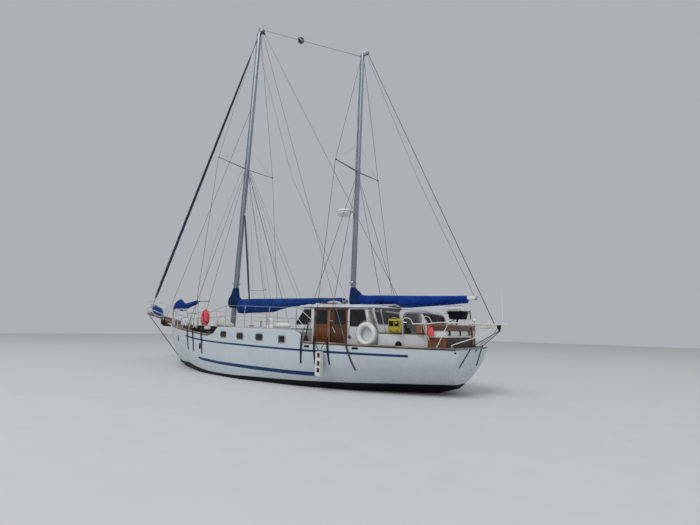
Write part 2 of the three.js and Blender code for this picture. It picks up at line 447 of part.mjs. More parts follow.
// headsail rolled on the forestay with its furling drum
const TACK = [9.62, 0, 2.30], HEAD = [mx(14.2) + 0.15, 0, 14.15];
const stayAt = u => TACK.map((v, i) => v + (HEAD[i] - v) * u);
{
  const L = sqrt((HEAD[0] - TACK[0]) ** 2 + (HEAD[2] - TACK[2]) ** 2);
  // along the stay: distance fraction, radius
  const prof = [[0.052, 0], [0.052, 0.03], [0.075, 0.055], [0.20, 0.062], [0.42, 0.058], [0.66, 0.05], [0.86, 0.038], [0.95, 0.022], [0.962, 0.012], [1, 0.012], [1, 0]];
  const g = new THREE.LatheGeometry(prof.map(([u, r]) => new THREE.Vector2(r, u * L)), 12);
  g.applyQuaternion(new THREE.Quaternion().setFromUnitVectors(new THREE.Vector3(0, 1, 0),
    new THREE.Vector3(HEAD[0] - TACK[0], 0, HEAD[2] - TACK[2]).normalize()));
  add('furled_genoa', g.translate(...TACK), 0x1c2540, 0.8);
  const d = new THREE.LatheGeometry([[0, 0], [0.09, 0], [0.09, 0.012], [0.05, 0.02], [0.05, 0.10], [0.09, 0.108], [0.09, 0.12], [0.03, 0.13], [0.03, 0.50], [0, 0.50]]
    .map(p => new THREE.Vector2(p[0], p[1])), 14);
  d.applyQuaternion(new THREE.Quaternion().setFromUnitVectors(new THREE.Vector3(0, 1, 0),
    new THREE.Vector3(HEAD[0] - TACK[0], 0, HEAD[2] - TACK[2]).normalize()));
  add('furler_drum', d.translate(...stayAt(0.0135)), 0x6d7276, 0.4, 1);
}

// booms: each is a tube on its gooseneck pin
function boom(p, x1, z1, r) {
  return join(rod(p, [x1, 0, z1], r, 10), rod([p[0], 0, p[2] - 0.09], [p[0], 0, p[2] + 0.09], 0.035, 8));
}
const MB = { x1: -3.18, z1: 2.44, r: 0.065 }, ZB = { x1: -7.38, z1: 2.43, r: 0.050 }, CB = { x1: 5.22, z1: 2.65, r: 0.030 };
add('main_boom', boom(GOOSE.main, MB.x1, MB.z1, MB.r), ALLOY, 0.45, 1);
add('mizzen_boom', boom(GOOSE.mizzen, ZB.x1, ZB.z1, ZB.r), 0xc8ccd0, 0.4, 1);
add('club_boom', boom(GOOSE.club, CB.x1, CB.z1, CB.r), ALLOY, 0.45, 1);
// covers over the stowed sails: x, top, bottom, half width
function cover(rows, tunnelA, tunnelB, tr) {
  const body = loft(rows.map(([x, zt, zb, w]) => {
    const zm = (zt + zb) / 2, h = (zt - zb) / 2, n = 12;
    return range(0, n - 1, n - 1).map(i => {
      const a = 2 * PI * i / n, c = cos(a), s = sin(a);
      return [x, w * Math.sign(c) * abs(c) ** 0.8, zm + h * Math.sign(s) * abs(s) ** 0.9 * (1)];
    });
  }));
  return cut(body, rod(tunnelA, tunnelB, tr, 10));
}
const past = (a, b, k) => a.map((v, i) => v + (b[i] - v) * k);
function coverOn(rows, p, b, r) {
  const e = [b.x1, 0, b.z1];
  return cover(rows, past(p, e, -0.1), past(p, e, 1.1), r + 0.002);
}
add('mainsail_cover', coverOn([
  [2.36, 2.665, 2.12, 0.10], [2.10, 2.66, 2.095, 0.13], [1.40, 2.655, 2.125, 0.15], [0.75, 2.64, 2.13, 0.155], [0.30, 2.63, 2.14, 0.16],
  [0.00, 2.625, 2.205, 0.155], [-0.40, 2.615, 2.28, 0.15], [-0.62, 2.61, 2.315, 0.145], [-2.00, 2.585, 2.335, 0.13], [-3.05, 2.555, 2.345, 0.10]],
GOOSE.main, MB, MB.r), BLUE, 0.9);
add('mizzen_sail_cover', coverOn([
  [-3.64, 2.70, 2.36, 0.08], [-3.80, 2.62, 2.335, 0.11], [-4.43, 2.59, 2.325, 0.13], [-5.02, 2.565, 2.31, 0.135], [-5.20, 2.555, 2.225, 0.14],
  [-5.45, 2.545, 2.215, 0.14], [-5.90, 2.53, 2.235, 0.13], [-6.60, 2.505, 2.27, 0.11], [-7.14, 2.492, 2.305, 0.085]],
GOOSE.mizzen, ZB, ZB.r), BLUE, 0.9);
add('staysail_cover', coverOn([
  [7.24, 2.60, 2.32, 0.07], [7.00, 2.72, 2.30, 0.12], [6.78, 2.78, 2.27, 0.13], [6.60, 2.67, 2.24, 0.13], [6.40, 2.585, 2.25, 0.12],
  [6.12, 2.605, 2.35, 0.10], [5.80, 2.645, 2.44, 0.085], [5.40, 2.705, 2.54, 0.065]],
GOOSE.club, CB, CB.r), 0x2340c8, 0.9);

// mizzen backstay down to the boomkin
const BOOMKIN_TIP = [-8.02, 0, 1.72];
add('mizzen_backstay', rod([zx(10.8) - 0.23, 0, 10.78], [-7.80, 0, 1.795], WIRE, 6), 0x4a4f55, 0.35, 1);

// radar scanner on its bracket ahead of the mizzen mast
{
  const c = [-3.02, 0, 5.36];
  const dome = new THREE.LatheGeometry([[0, -0.10], [0.20, -0.10], [0.27, -0.05], [0.285, 0.02], [0.25, 0.09], [0.12, 0.125], [0, 0.13]]
    .map(p => new THREE.Vector2(p[0], p[1])), 16).rotateX(PI / 2).translate(...c);
  const x0 = mastX(MIZZEN, 5.2) + MIZZEN.r + 0.001;
  const br = join(box(x0, x0 + 0.012, -0.06, 0.06, 5.08, 5.32), plateXZ([[x0 + 0.01, 5.30], [-2.86, 5.27], [-2.86, 5.24], [x0 + 0.01, 5.12]], -0.012, 0.012));
  add('radar', join(dome, br), 0xe4e7ea, 0.4);
}

// ----------------------------------------------------------------- pilothouse
// side wall outline in x and z, with the front light, door opening and aft light
const under = x => 2.185 + 0.022 * (x + 2.6) - GAP;         // underside of the roof
const slope = (z) => PH.x0 - (z - 1.56) * (0.50 / 0.61);   // rake of the windscreen
const backX = z => PH.x1 + (z - 1.0) * (0.30 / 1.17);      // rake of the after bulkhead
const zF = under(-2.70), zB = under(-5.02);
const sideOutline = [[slope(1.59), 1.575], [slope(zF), zF], [backX(zB), zB], [backX(SIDE_DECK), SIDE_DECK + GAP],
  [RAISED_X0 - 0.03, SIDE_DECK + GAP], [RAISED_X0 - 0.03, 1.575]];
const DOOR = { x0: -3.15, x1: -4.33, z0: 1.06, z1: 2.115 };
const FRONT_LIGHT = [[-2.73, 2.125], [-3.02, 2.125], [-3.02, 1.695], [-2.375, 1.695]];
const AFT_LIGHT = [[-4.455, 2.105], [-4.935, 2.105], [-5.045, 1.66], [-4.45, 1.66]];
const sideWall = plateXZ(sideOutline, PH.y - PH.t, PH.y, [FRONT_LIGHT, AFT_LIGHT,
  [[DOOR.x0, DOOR.z0], [DOOR.x1, DOOR.z0], [DOOR.x1, DOOR.z1], [DOOR.x0, DOOR.z1]]]);
add('pilothouse_side_port', sideWall, WHITE, 0.4);
add('pilothouse_side_starboard', mirrorY(sideWall), WHITE, 0.4);
{
  // windscreen frame, built upright then raked aft
  const yi = PH.y - PH.t - GAP, h = sqrt((slope(zF) - slope(1.59)) ** 2 + (zF - 1.59) ** 2) + 0.05;
  const lights = [[-yi + 0.10, -0.50], [-0.42, 0.42], [0.50, yi - 0.10]].map(([a, b]) => [[a, 0.12], [b, 0.12], [b, h - 0.12], [a, h - 0.12]]);
  const f = plateYZ([[-yi, 0], [yi, 0], [yi, h], [-yi, h]], -0.05, 0, lights);
  const ang = Math.atan2(slope(1.59) - slope(zF), zF - 1.59);
  const roofSpace = plateXZ([[-9, under(-9)], [0, under(0)], [0, 4], [-9, 4]], -3, 3);
  f.applyMatrix4(new THREE.Matrix4().makeRotationY(-ang)).translate(slope(1.59), 0, 1.59);
  add('pilothouse_front', cut(f, roofSpace), WHITE, 0.4);
  const b = plateYZ([[-yi, SIDE_DECK + GAP], [yi, SIDE_DECK + GAP], [yi, 2.3], [-yi, 2.3]], -0.05, 0,
    [[[-0.31, 1.06], [0.31, 1.06], [0.31, 2.03], [-0.31, 2.03]]]);
  const sh = new THREE.Matrix4().set(1, 0, 0.30 / 1.17, backX(0) + 0.052, 0, 1, 0, 0, 0, 0, 1, 0, 0, 0, 0, 1);
  add('pilothouse_back', cut(b.applyMatrix4(sh), roofSpace), WHITE, 0.4);
}
{
  // crowned roof, lower aft, with the companion opening at its after end
  const xs = [-2.58, -2.66, -4.99, -5.06], n = 8, yw = 1.50;
  const roof = loft(xs.map((x, i) => {
    const e = (i === 0 || i === 3) ? 0.02 : 0, z = under(x) + GAP, ring = [];
    for (let k = 0; k <= n; k++) { const y = -yw + 2 * yw * k / n; ring.push([x, y, z + 0.065 - e + 0.024 * (1 - (y / yw) ** 2)]); }
    ring.push([x, yw, z + e], [x, -yw, z + e]);
    return ring;
  }));
  const pad = box(zx(2.3) - 0.16, zx(2.3) + 0.16, -0.15, 0.15, 2.19, ROOF_TOP);
  const onRoof = (x0, x1, y0, y1, za, zb) => {          // bar lying along the sloping roof
    const k = 0.022, zc = x => 2.185 + k * (x + 2.6);
    return plateXZ([[x0, zc(x0) + za], [x1, zc(x1) + za], [x1, zc(x1) + zb], [x0, zc(x0) + zb]], y0, y1);
  };
  const rails = [0.34, -0.38].map(y => onRoof(-4.96, -3.66, y, y + 0.04, 0.05, 0.115));
  add('pilothouse_roof', join(cut(join(roof, pad), box(-4.93, -4.36, -0.30, 0.30, 2.0, 2.6)), ...rails), WHITE, 0.4);
  add('sliding_hatch', join(onRoof(-4.97, -4.33, -0.333, 0.333, 0.096, 0.122), onRoof(-4.97, -4.93, -0.333, 0.333, 0.096, 0.135)), TEAK, 0.5);
}
// sliding doors: name, x from, x to, y from, y to, light x from, light x to
const LEAF = [['door_port_forward', -3.158, -3.755, 1.418, 1.446, -3.213, -3.655], ['door_port_aft', -3.725, -4.322, 1.384, 1.412, -3.875, -4.280]];
for (const [name, xa, xb, ya, yb, la, lb] of LEAF) {
  const z0 = DOOR.z0 + 0.006, z1 = DOOR.z1 - 0.006;
  const g = plateXZ([[xa, z0], [xb, z0], [xb, z1], [xa, z1]], ya, yb,
    [[[la, 1.70], [lb, 1.70], [lb, 2.075], [la, 2.075]]]);
  add(name, g, 0x8c4318, 0.4);
  add(name.replace('port', 'starboard'), mirrorY(g), 0x8c4318, 0.4);
}
{
  // companion door in the after bulkhead, hinged to starboard
  const g = plateYZ([[-0.30, 1.077], [0.30, 1.077], [0.30, 2.022], [-0.30, 2.022]], -0.028, 0);
  const sh = new THREE.Matrix4().set(1, 0, 0.30 / 1.17, backX(0) + 0.041, 0, 1, 0, 0, 0, 0, 1, 0, 0, 0, 0, 1);
  add('companion_door', g.applyMatrix4(sh), 0x8c4318, 0.4);
}
// post under the mizzen mast, helm console and wheels
add('mast_post', rod([zx(1), 0, PH.floor + GAP], [zx(1), 0, under(-3.45)], 0.045, 12), ALLOY, 0.4, 1);
add('settee', box(-4.92, -3.96, -1.26, -0.62, PH.floor + GAP, 0.76), TEAK, 0.5);
add('helm_console', join(box(-2.86, -2.46, -1.20, 0.55, PH.floor + GAP, 1.42), box(-3.02, -2.80, -0.85, -0.15, 0.95, 1.36)), TEAK, 0.5);
function wheel(c, r, spokes, rim = 0.014) {
  // rim, hub and spokes in the plane across x
  const t = new THREE.TorusGeometry(r, rim, 5, 18).rotateY(PI / 2);
  const parts = [t, rod([-0.04, 0, 0], [0.05, 0, 0], 0.035, 10)];
  for (let k = 0; k < spokes; k++) {
    const a = 2 * PI * k / spokes;
    parts.push(rod([0, 0, 0], [0, r * sin(a), r * cos(a)], 0.009, 4));
  }
  return join(...parts).translate(...c);
}
const WHEEL_IN = [-3.09, -0.50, 1.20], WHEEL_OUT = [-5.98, 0, 1.42];
add('steering_wheel', wheel(WHEEL_IN, 0.27, 6), TEAK, 0.45);
add('cockpit_wheel', wheel(WHEEL_OUT, 0.33, 6, 0.011), STEEL, 0.25, 1);
add('helm_pedestal', join(rod([-5.86, 0, COCKPIT.z + GAP], [-5.86, 0, 1.36], 0.07, 12, 0.05), box(-5.918, -5.78, -0.10, 0.10, 1.34, 1.56),
  rod([-5.85, 0, 1.55], [-5.85, 0, 1.64], 0.075, 12)), WHITE, 0.4);

// --------------------------------------------------- cockpit, dodger and stern
const coamY = x => sheerY(x) - 0.25;
{
  const xs = [-6.55, -6.50, -6.2, -5.9, -5.6, -5.37];
  const outer = loft(xs.map((x, i) => { const y = coamY(x), z = 1.50; return [[x, y, SIDE_DECK + GAP], [x, y - 0.02, z - 0.02], [x, y - 0.05, z], [x, -y + 0.05, z], [x, -y + 0.02, z - 0.02], [x, -y, SIDE_DECK + GAP]]; }));
  const inner = loft([-6.43, -6.2, -5.9, -5.6, -5.30].map(x => { const y = coamY(x) - 0.13; return [[x, y, 0.9], [x, y, 1.7], [x, -y, 1.7], [x, -y, 0.9]]; }));
  const foreCut = plateXZ([[backX(1.0) - 0.006, 0.9], [backX(1.7) - 0.006, 1.7], [-4, 1.7], [-4, 0.9]], -2, 2);
  add('cockpit_coaming', cut(outer, inner, foreCut), WHITE, 0.4);
}
{
  // dodger: arched shell open aft and below
  const arch = (x, yw, zt, zb, r) => {
    const pts = [[x, yw, zb], [x, yw, zt - r - 0.02]];
    for (let k = 1; k <= 3; k++) { const a = k * PI / 6; pts.push([x, yw - r + r * cos(a), zt - 0.02 - r + r * sin(a)]); }
    pts.push([x, 0, zt + 0.005]);
    const m = pts.slice(0, -1).reverse().map(([a, b, c]) => [a, -b, c]);
    return [...pts, ...m];
  };
  const rows = [ // x at the top, x at the foot, half width, top, corner radius
    [-5.075, -5.345, 1.40, 2.17, 0.10], [-5.30, -5.50, 1.36, 2.165, 0.12], [-5.60, -5.70, 1.30, 2.15, 0.14], [-5.86, -5.93, 1.22, 2.12, 0.17], [-5.95, -5.99, 1.19, 2.03, 0.19]];
  const ring = ([xt, xf, w, zt, r], t, zb) => arch(0, w - t, zt - t, zb, r - t * 0.5).map(([_, y, z]) => [xt + (xf - xt) * (zt - z) / (zt - 1.5), y, z]);
  const outer = loft(rows.map(r => ring(r, 0, 1.502)));
  const inner = loft(rows.map(r => { const q = ring(r, 0.028, 1.40); return q; }).map((q, i) => i === 0 ? q.map(([x, y, z]) => [x + 0.2, y, z]) : i === rows.length - 1 ? q.map(([x, y, z]) => [x - 0.2, y, z]) : q));
  const sideLight = s => box(-5.88, -5.38, s * 1.0, s * 1.6, 1.66, 1.98);
  let g = cut(outer, inner, plateXZ([[backX(1.4) - 0.008, 1.4], [backX(2.3) - 0.008, 2.3], [-4, 2.3], [-4, 1.4]], -2, 2), box(-5.068, -4, -2, 2, 1.4, 2.4));
  add('dodger', g, 0xdfe3e6, 0.6);
}
// stern seat inside a panelled gallery rail that runs round both quarters
const GALLERY = [[-6.57, 1.10], [-6.80, 1.01], [-6.96, 0.89], [-6.985, 0.45], [-6.985, -0.45], [-6.96, -0.89], [-6.80, -1.01], [-6.57, -1.10]];
{
  const normal = GALLERY.map((_, i) => {
    const a = GALLERY[max(0, i - 1)], b = GALLERY[min(GALLERY.length - 1, i + 1)], dx = b[0] - a[0], dy = b[1] - a[1], l = sqrt(dx * dx + dy * dy);
    return [-dy / l, dx / l];
  });
  const wall = (o, t, z0, z1) => loft(GALLERY.map(([x, y], i) => {
    const [nx, ny] = normal[i], p = k => [x + nx * k, y + ny * k];
    const [a, b] = [p(-o), p(t - o)];
    return [[...a, z0], [...a, z1], [...b, z1], [...b, z0]];
  }));
  const posts = GALLERY.map(([x, y], i) => { const [nx, ny] = normal[i], c = [x + nx * 0.02, y + ny * 0.02]; return box(c[0] - 0.018, c[0] + 0.018, c[1] - 0.018, c[1] + 0.018, 1.38, 1.72); });
  const seatBase = loft([-6.94, -6.80, -6.62].map((x, i) => { const y = [0.86, 0.96, 1.03][i]; return [[x, y, SIDE_DECK + GAP], [x, y, 1.40], [x, -y, 1.40], [x, -y, SIDE_DECK + GAP]]; }));
  add('stern_bench', join(wall(0, 0.03, SIDE_DECK + GAP, 1.42), wall(0.012, 0.055, 1.405, 1.44), wall(0, 0.025, 1.57, 1.70), wall(0.018, 0.062, 1.695, 1.745), seatBase, ...posts), 0x7a3b16, 0.5);
}
const quarter = [];
// boomkin: struts from the quarters to a plate carrying the backstay
{
  const z = sheerZ(-7.15) + RAIL_T + 0.022, plate = plateXY([[-7.55, 0.20], [-8.18, 0.07], [-8.18, -0.07], [-7.55, -0.20]], 1.755, 1.785);
  const parts = [plate];
  for (const s of [1, -1]) {
    parts.push(bar([[-7.10, s * 0.90, z + 0.004], [-7.14, s * 0.88, z + 0.06], [-7.60, s * 0.40, 1.50], [-7.90, s * 0.06, 1.76]], 0.016, 6, 5));
    parts.push(bar([[-6.62, s * 1.18, 1.752], [-6.86, s * 1.05, 1.785], [-7.10, s * 0.84, 1.785], [-7.35, s * 0.45, 1.78], [-7.58, s * 0.16, 1.77]], 0.014, 6, 8));
    parts.push(rod([-6.84, s * 1.075, sheerZ(-6.84) + RAIL_T + 0.006], [-6.92, s * 1.00, 1.785], 0.013, 6));
  }
  quarter.push(...parts);
}
// guard rails: stanchions joined by two wires and the boarding gate hoops
{
  // x, base height, top height
  const rows = [[0.20, RAISED(0.2), 2.27], [-0.80, RAISED(-0.8), 2.24], [-1.93, RAISED(-1.93), 2.19], [-3.02, 1.515, 2.16]];
  const parts = [];
  const yy = x => sheerY(x) - 0.06;
  rows.forEach(([x, z0, z1], i) => {
    parts.push(rod([x, yy(x), z0 + 0.006], [x, yy(x), z1], 0.0125, 6), rod([x, yy(x), z0 + 0.006], [x, yy(x), z0 + 0.02], 0.035, 8));
    if (i) {
      const [xp, , zp] = rows[i - 1], z0p = rows[i - 1][1];
      parts.push(rod([xp, yy(xp), zp - 0.01], [x, yy(x), z1 - 0.01], 0.006, 6));
      parts.push(rod([xp, yy(xp), (zp + z0p) / 2], [x, yy(x), (z1 + z0) / 2], 0.006, 6));
    }
  });
  const fwd = join(...parts);
  add('guard_rail_port', fwd, STEEL, 0.25, 1);
  add('guard_rail_starboard', seat(mirrorY(fwd)), STEEL, 0.25, 1);
  const q = [];
  const yq = x => sheerY(x) - 0.03, zb = x => sheerZ(x) + RAIL_T + 0.006;
  q.push(rod([-6.10, yq(-6.10), zb(-6.1)], [-6.05, yq(-6.05), 1.84], 0.0125, 6));
  q.push(bar([[-6.05, yq(-6.05), 1.80], [-6.12, yq(-6.12), 1.88], [-6.24, yq(-6.24), 1.86], [-6.30, yq(-6.3), 1.74]], 0.011, 5, 5));
  q.push(bar([[-6.28, yq(-6.28), 1.74], [-6.45, yq(-6.45), 1.75], [-6.64, 1.17, 1.755]], 0.011, 5, 3));
  q.push(bar([[-6.52, yq(-6.52), 1.74], [-6.54, yq(-6.54), 1.86], [-6.60, yq(-6.60), 1.94], [-6.70, yq(-6.70), 1.86], [-6.72, yq(-6.72), zb(-6.72)]], 0.011, 5, 7));
  quarter.push(...q, ...q.map(mirrorY));
}

add('boomkin_and_stern_rail', join(...quarter), 0x8f959b, 0.35, 1);

// --------------------------------------------------- hatches and loose gear
add('fore_hatch', join(box(FORE_HATCH.x0, FORE_HATCH.x1, -FORE_HATCH.y, FORE_HATCH.y, WELL_DECK(3.95) + 0.03, WELL_DECK(3.95) + 0.075)), 0xdfe3e6, 0.4);
add('deck_hatch', join(box(DECK_HATCH.x0, DECK_HATCH.x1, -DECK_HATCH.y, DECK_HATCH.y, 1.585, 1.63)), 0xdfe3e6, 0.4);
// life ring hung outside the pilothouse quarter
add('life_ring', new THREE.TorusGeometry(0.245, 0.063, 8, 24).rotateX(PI / 2).translate(-5.065, PH.y + 0.085, 1.467), 0xe8eaea, 0.6);
add('rescue_bag', box(-5.985, -5.615, 1.325, 1.40, 1.53, 1.865), 0xd9c21c, 0.8);
// step fender hanging plumb beside the doors, with its three steps recessed outboard
{
  // step z from, z to
  const steps = [[0.849, 0.961], [0.643, 0.761], [0.480, 0.587]];
  let g = box(-4.09, -3.905, 2.05, 2.18, 0.38, 1.00);
  for (const [za, zb] of steps) g = cut(g, box(-4.067, -3.965, 2.15, 2.30, za, zb));
  add('step_fender', g, 0xe6e8e6, 0.6);
}
add('stern_grill', join(box(-7.19, -6.78, 0.10, 0.42, 2.075, 2.205), box(-7.15, -6.82, 0.13, 0.39, 1.88, 2.08), rod([-6.95, 0.86, 1.765], [-6.93, 0.26, 1.96], 0.014, 6)), 0xe6e8ea, 0.4);

export default yacht;
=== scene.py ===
import math
import bpy
import bmesh
import numpy as np
from mathutils import Vector, Matrix, noise


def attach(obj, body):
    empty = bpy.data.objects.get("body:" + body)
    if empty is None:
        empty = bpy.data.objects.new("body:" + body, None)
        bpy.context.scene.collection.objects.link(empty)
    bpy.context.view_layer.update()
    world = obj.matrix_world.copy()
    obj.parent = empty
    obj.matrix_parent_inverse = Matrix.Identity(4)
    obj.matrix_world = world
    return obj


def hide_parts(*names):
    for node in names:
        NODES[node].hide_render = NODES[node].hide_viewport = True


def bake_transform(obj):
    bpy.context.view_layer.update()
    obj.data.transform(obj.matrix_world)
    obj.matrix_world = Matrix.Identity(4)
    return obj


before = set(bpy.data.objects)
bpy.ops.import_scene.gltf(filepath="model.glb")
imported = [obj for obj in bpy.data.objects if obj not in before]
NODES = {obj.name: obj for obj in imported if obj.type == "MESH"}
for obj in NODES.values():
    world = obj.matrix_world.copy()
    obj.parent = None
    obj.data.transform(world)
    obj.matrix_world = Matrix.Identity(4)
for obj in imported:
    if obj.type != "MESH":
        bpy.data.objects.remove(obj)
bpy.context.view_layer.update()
YACHT = "yacht"
pi, sin, cos, tan, rad, sqrt = math.pi, math.sin, math.cos, math.tan, math.radians, math.sqrt

# ------------------------------------------------------------------- camera
PSI, PITCH, ROLL, F_PX = rad(51.456), rad(9.173), rad(1.210), 409.09
fwd0, right0, up0 = Vector((cos(PSI), -sin(PSI), 0)), Vector((-sin(PSI), -cos(PSI), 0)), Vector((0, 0, 1))
fwd = fwd0 * cos(PITCH) + up0 * sin(PITCH)
upv = -fwd0 * sin(PITCH) + up0 * cos(PITCH)
r_ = right0 * cos(ROLL) + upv * sin(ROLL)
u_ = -right0 * sin(ROLL) + upv * cos(ROLL)
cam_data = bpy.data.cameras.new("camera")
cam = bpy.data.objects.new("camera", cam_data)
bpy.context.scene.collection.objects.link(cam)
cam.matrix_world = Matrix(((r_.x, u_.x, -fwd.x, -11.308), (r_.y, u_.y, -fwd.y, 10.102), (r_.z, u_.z, -fwd.z, 1.60), (0, 0, 0, 1)))
cam_data.sensor_width = 36
cam_data.sensor_fit = "HORIZONTAL"
cam_data.lens = F_PX / 700 * 36
cam_data.clip_start, cam_data.clip_end = 0.1, 2000
bpy.context.scene.camera = cam

# ------------------------------------------------------------ hull form data
# x, half-breadth at sheer, sheer height, half-breadth on waterline, rabbet height, half thickness at rabbet, fullness
ST = [
    [-7.60, 0.700, 1.150, None, 0.410, 0.02, 2.9],
    [-7.00, 1.020, 1.160, None, 0.215, 0.02, 2.9],
    [-6.25, 1.380, 1.170, None, -0.005, 0.03, 2.7],
    [-5.51, 1.665, 1.180, 0.62, -0.220, 0.05, 0],
    [-4.75, 1.870, 1.190, 1.08, -0.420, 0.07, 0],
    [-4.00, 2.000, 1.200, 1.39, -0.600, 0.09, 0],
    [-2.96, 2.100, 1.205, 1.73, -0.800, 0.12, 0],
    [-1.86, 2.143, 1.215, 1.88, -0.950, 0.14, 0],
    [-0.50, 2.160, 1.235, 2.02, -1.040, 0.15, 0],
    [1.11, 2.112, 1.290, 1.91, -1.050, 0.15, 0],
    [1.99, 2.010, 1.345, 1.74, -1.020, 0.14, 0],
    [3.07, 1.815, 1.420, 1.38, -0.930, 0.12, 0],
    [4.04, 1.555, 1.480, 1.02, -0.800, 0.10, 0],
    [5.00, 1.200, 1.530, 0.60, -0.590, 0.07, 0],
    [5.76, 0.860, 1.565, 0.25, -0.320, 0.05, 0],
    [6.25, 0.610, 1.585, None, 0.000, 0.035, 1.75],
    [6.70, 0.370, 1.602, None, 0.780, 0.035, 1.45],
    [7.00, 0.205, 1.612, None, 1.290, 0.035, 1.25],
    [7.18, 0.100, 1.618, None, 1.575, 0.035, 1.10],
]
for s in ST:
    if not s[6]:
        tw, rr = -s[4] / (s[2] - s[4]), (s[3] - s[5]) / (s[1] - s[5])
        s[6] = math.log(1 - rr) / math.log(1 - tw)


def station(k, x):
    i = 0
    while i < len(ST) - 2 and x > ST[i + 1][0]:
        i += 1
    a, b = ST[i], ST[i + 1]
    h = b[0] - a[0]
    u = max(0, min(1, (x - a[0]) / h))
    d = (b[k] - a[k]) / h

    def sl(j):
        if j <= 0 or j >= len(ST) - 1:
            return None
        l = (ST[j][k] - ST[j - 1][k]) / (ST[j][0] - ST[j - 1][0])
        r = (ST[j + 1][k] - ST[j][k]) / (ST[j + 1][0] - ST[j][0])
        return 0 if l * r <= 0 else 2 * l * r / (l + r)
    m0, m1 = sl(i), sl(i + 1)
    m0, m1 = d if m0 is None else m0, d if m1 is None else m1
    return (1 + 2 * u) * (1 - u) ** 2 * a[k] + u * (1 - u) ** 2 * h * m0 + u * u * (3 - 2 * u) * b[k] + u * u * (u - 1) * h * m1


def sheerY(x): return station(1, x)
def sheerZ(x): return station(2, x)


def hullY(x, z):
    bS, zS, zR, kt, p = (station(k, x) for k in (1, 2, 4, 5, 6))
    t = max(0, min(1, (z - zR) / (zS - zR)))
    return kt + (bS - kt) * (1 - (1 - t) ** p)


def WELL_DECK(x): return 1.05 + 0.04 * (x - 0.6)
def RAISED(x): return 1.535 + 0.014 * (x + 2)
def TRANSOM(z): return -6.80 - 0.43 * z
def mx(z): return 2.757 - z * tan(rad(2.55))       # mainmast axis
def zx(z): return -3.343 - z * tan(rad(1.52))      # mizzen mast axis
def under(x): return 2.185 + 0.022 * (x + 2.6)     # underside of the pilothouse roof
def slope(z): return -2.20 - (z - 1.56) * (0.50 / 0.61)
def backX(z): return -5.30 + (z - 1.0) * (0.30 / 1.17)
def coamY(x): return sheerY(x) - 0.25
def spritZ(x): return 1.66 + 0.47 * (x - 6.62) / 3.23


# ------------------------------------------------------------------ materials
def _mat(name):
    m = bpy.data.materials.new(name)
    m.use_nodes = True
    nt = m.node_tree
    nt.nodes.clear()
    out = nt.nodes.new("ShaderNodeOutputMaterial")
    b = nt.nodes.new("ShaderNodeBsdfPrincipled")
    nt.links.new(b.outputs[0], out.inputs[0])
    tc = nt.nodes.new("ShaderNodeTexCoord")
    return m, nt, b, tc.outputs["Object"]


def _map(nt, vec, scale, rot=(0, 0, 0), loc=(0, 0, 0)):
    n = nt.nodes.new("ShaderNodeMapping")
    n.inputs["Scale"].default_value = scale
    n.inputs["Rotation"].default_value = rot
    n.inputs["Location"].default_value = loc
    nt.links.new(vec, n.inputs[0])
    return n.outputs[0]


def _noise(nt, vec, scale, detail=4, rough=0.55, dist=0.0):
    n = nt.nodes.new("ShaderNodeTexNoise")
    n.inputs["Scale"].default_value = scale
    n.inputs["Detail"].default_value = detail
    n.inputs["Roughness"].default_value = rough
    n.inputs["Distortion"].default_value = dist
    nt.links.new(vec, n.inputs["Vector"])
    return n.outputs["Fac"]


def _ramp(nt, fac, stops):
    n = nt.nodes.new("ShaderNodeValToRGB")
    e = n.color_ramp.elements
    while len(e) < len(stops):
        e.new(0.5)
    for el, (p, c) in zip(e, stops):
        el.position = p
        el.color = (*c, 1) if len(c) == 3 else c
    nt.links.new(fac, n.inputs[0])
    return n.outputs[0]


def _math(nt, op, a, b=None, c=None):
    n = nt.nodes.new("ShaderNodeMath")
    n.operation = op
    for i, v in enumerate((a, b, c)):
        if v is None:
            continue
        if isinstance(v, (int, float)):
            n.inputs[i].default_value = v
        else:
            nt.links.new(v, n.inputs[i])
    return n.outputs[0]


def _mix(nt, fac, a, b, mode="MIX"):
    n = nt.nodes.new("ShaderNodeMix")
    n.data_type = "RGBA"
    n.blend_type = mode
    for sock, v in ((n.inputs[0], fac), (n.inputs[6], a), (n.inputs[7], b)):
        if isinstance(v, (int, float)):
            sock.default_value = v
        elif isinstance(v, (tuple, list)):
            sock.default_value = (*v, 1)
        else:
            nt.links.new(v, sock)
    return n.outputs[2]


def _bump(nt, b, height, strength, dist, prev=None):
    n = nt.nodes.new("ShaderNodeBump")
    n.inputs["Strength"].default_value = strength
    n.inputs["Distance"].default_value = dist
    nt.links.new(height, n.inputs["Height"])
    if prev is not None:
        nt.links.new(prev, n.inputs["Normal"])
    nt.links.new(n.outputs[0], b.inputs["Normal"])
    return n.outputs[0]


def _rough(nt, b, fac, lo, hi):
    n = nt.nodes.new("ShaderNodeMapRange")
    n.inputs["To Min"].default_value = lo
    n.inputs["To Max"].default_value = hi
    nt.links.new(fac, n.inputs[0])
    nt.links.new(n.outputs[0], b.inputs["Roughness"])


def scale3(c, k): return tuple(min(1, v * k) for v in c)


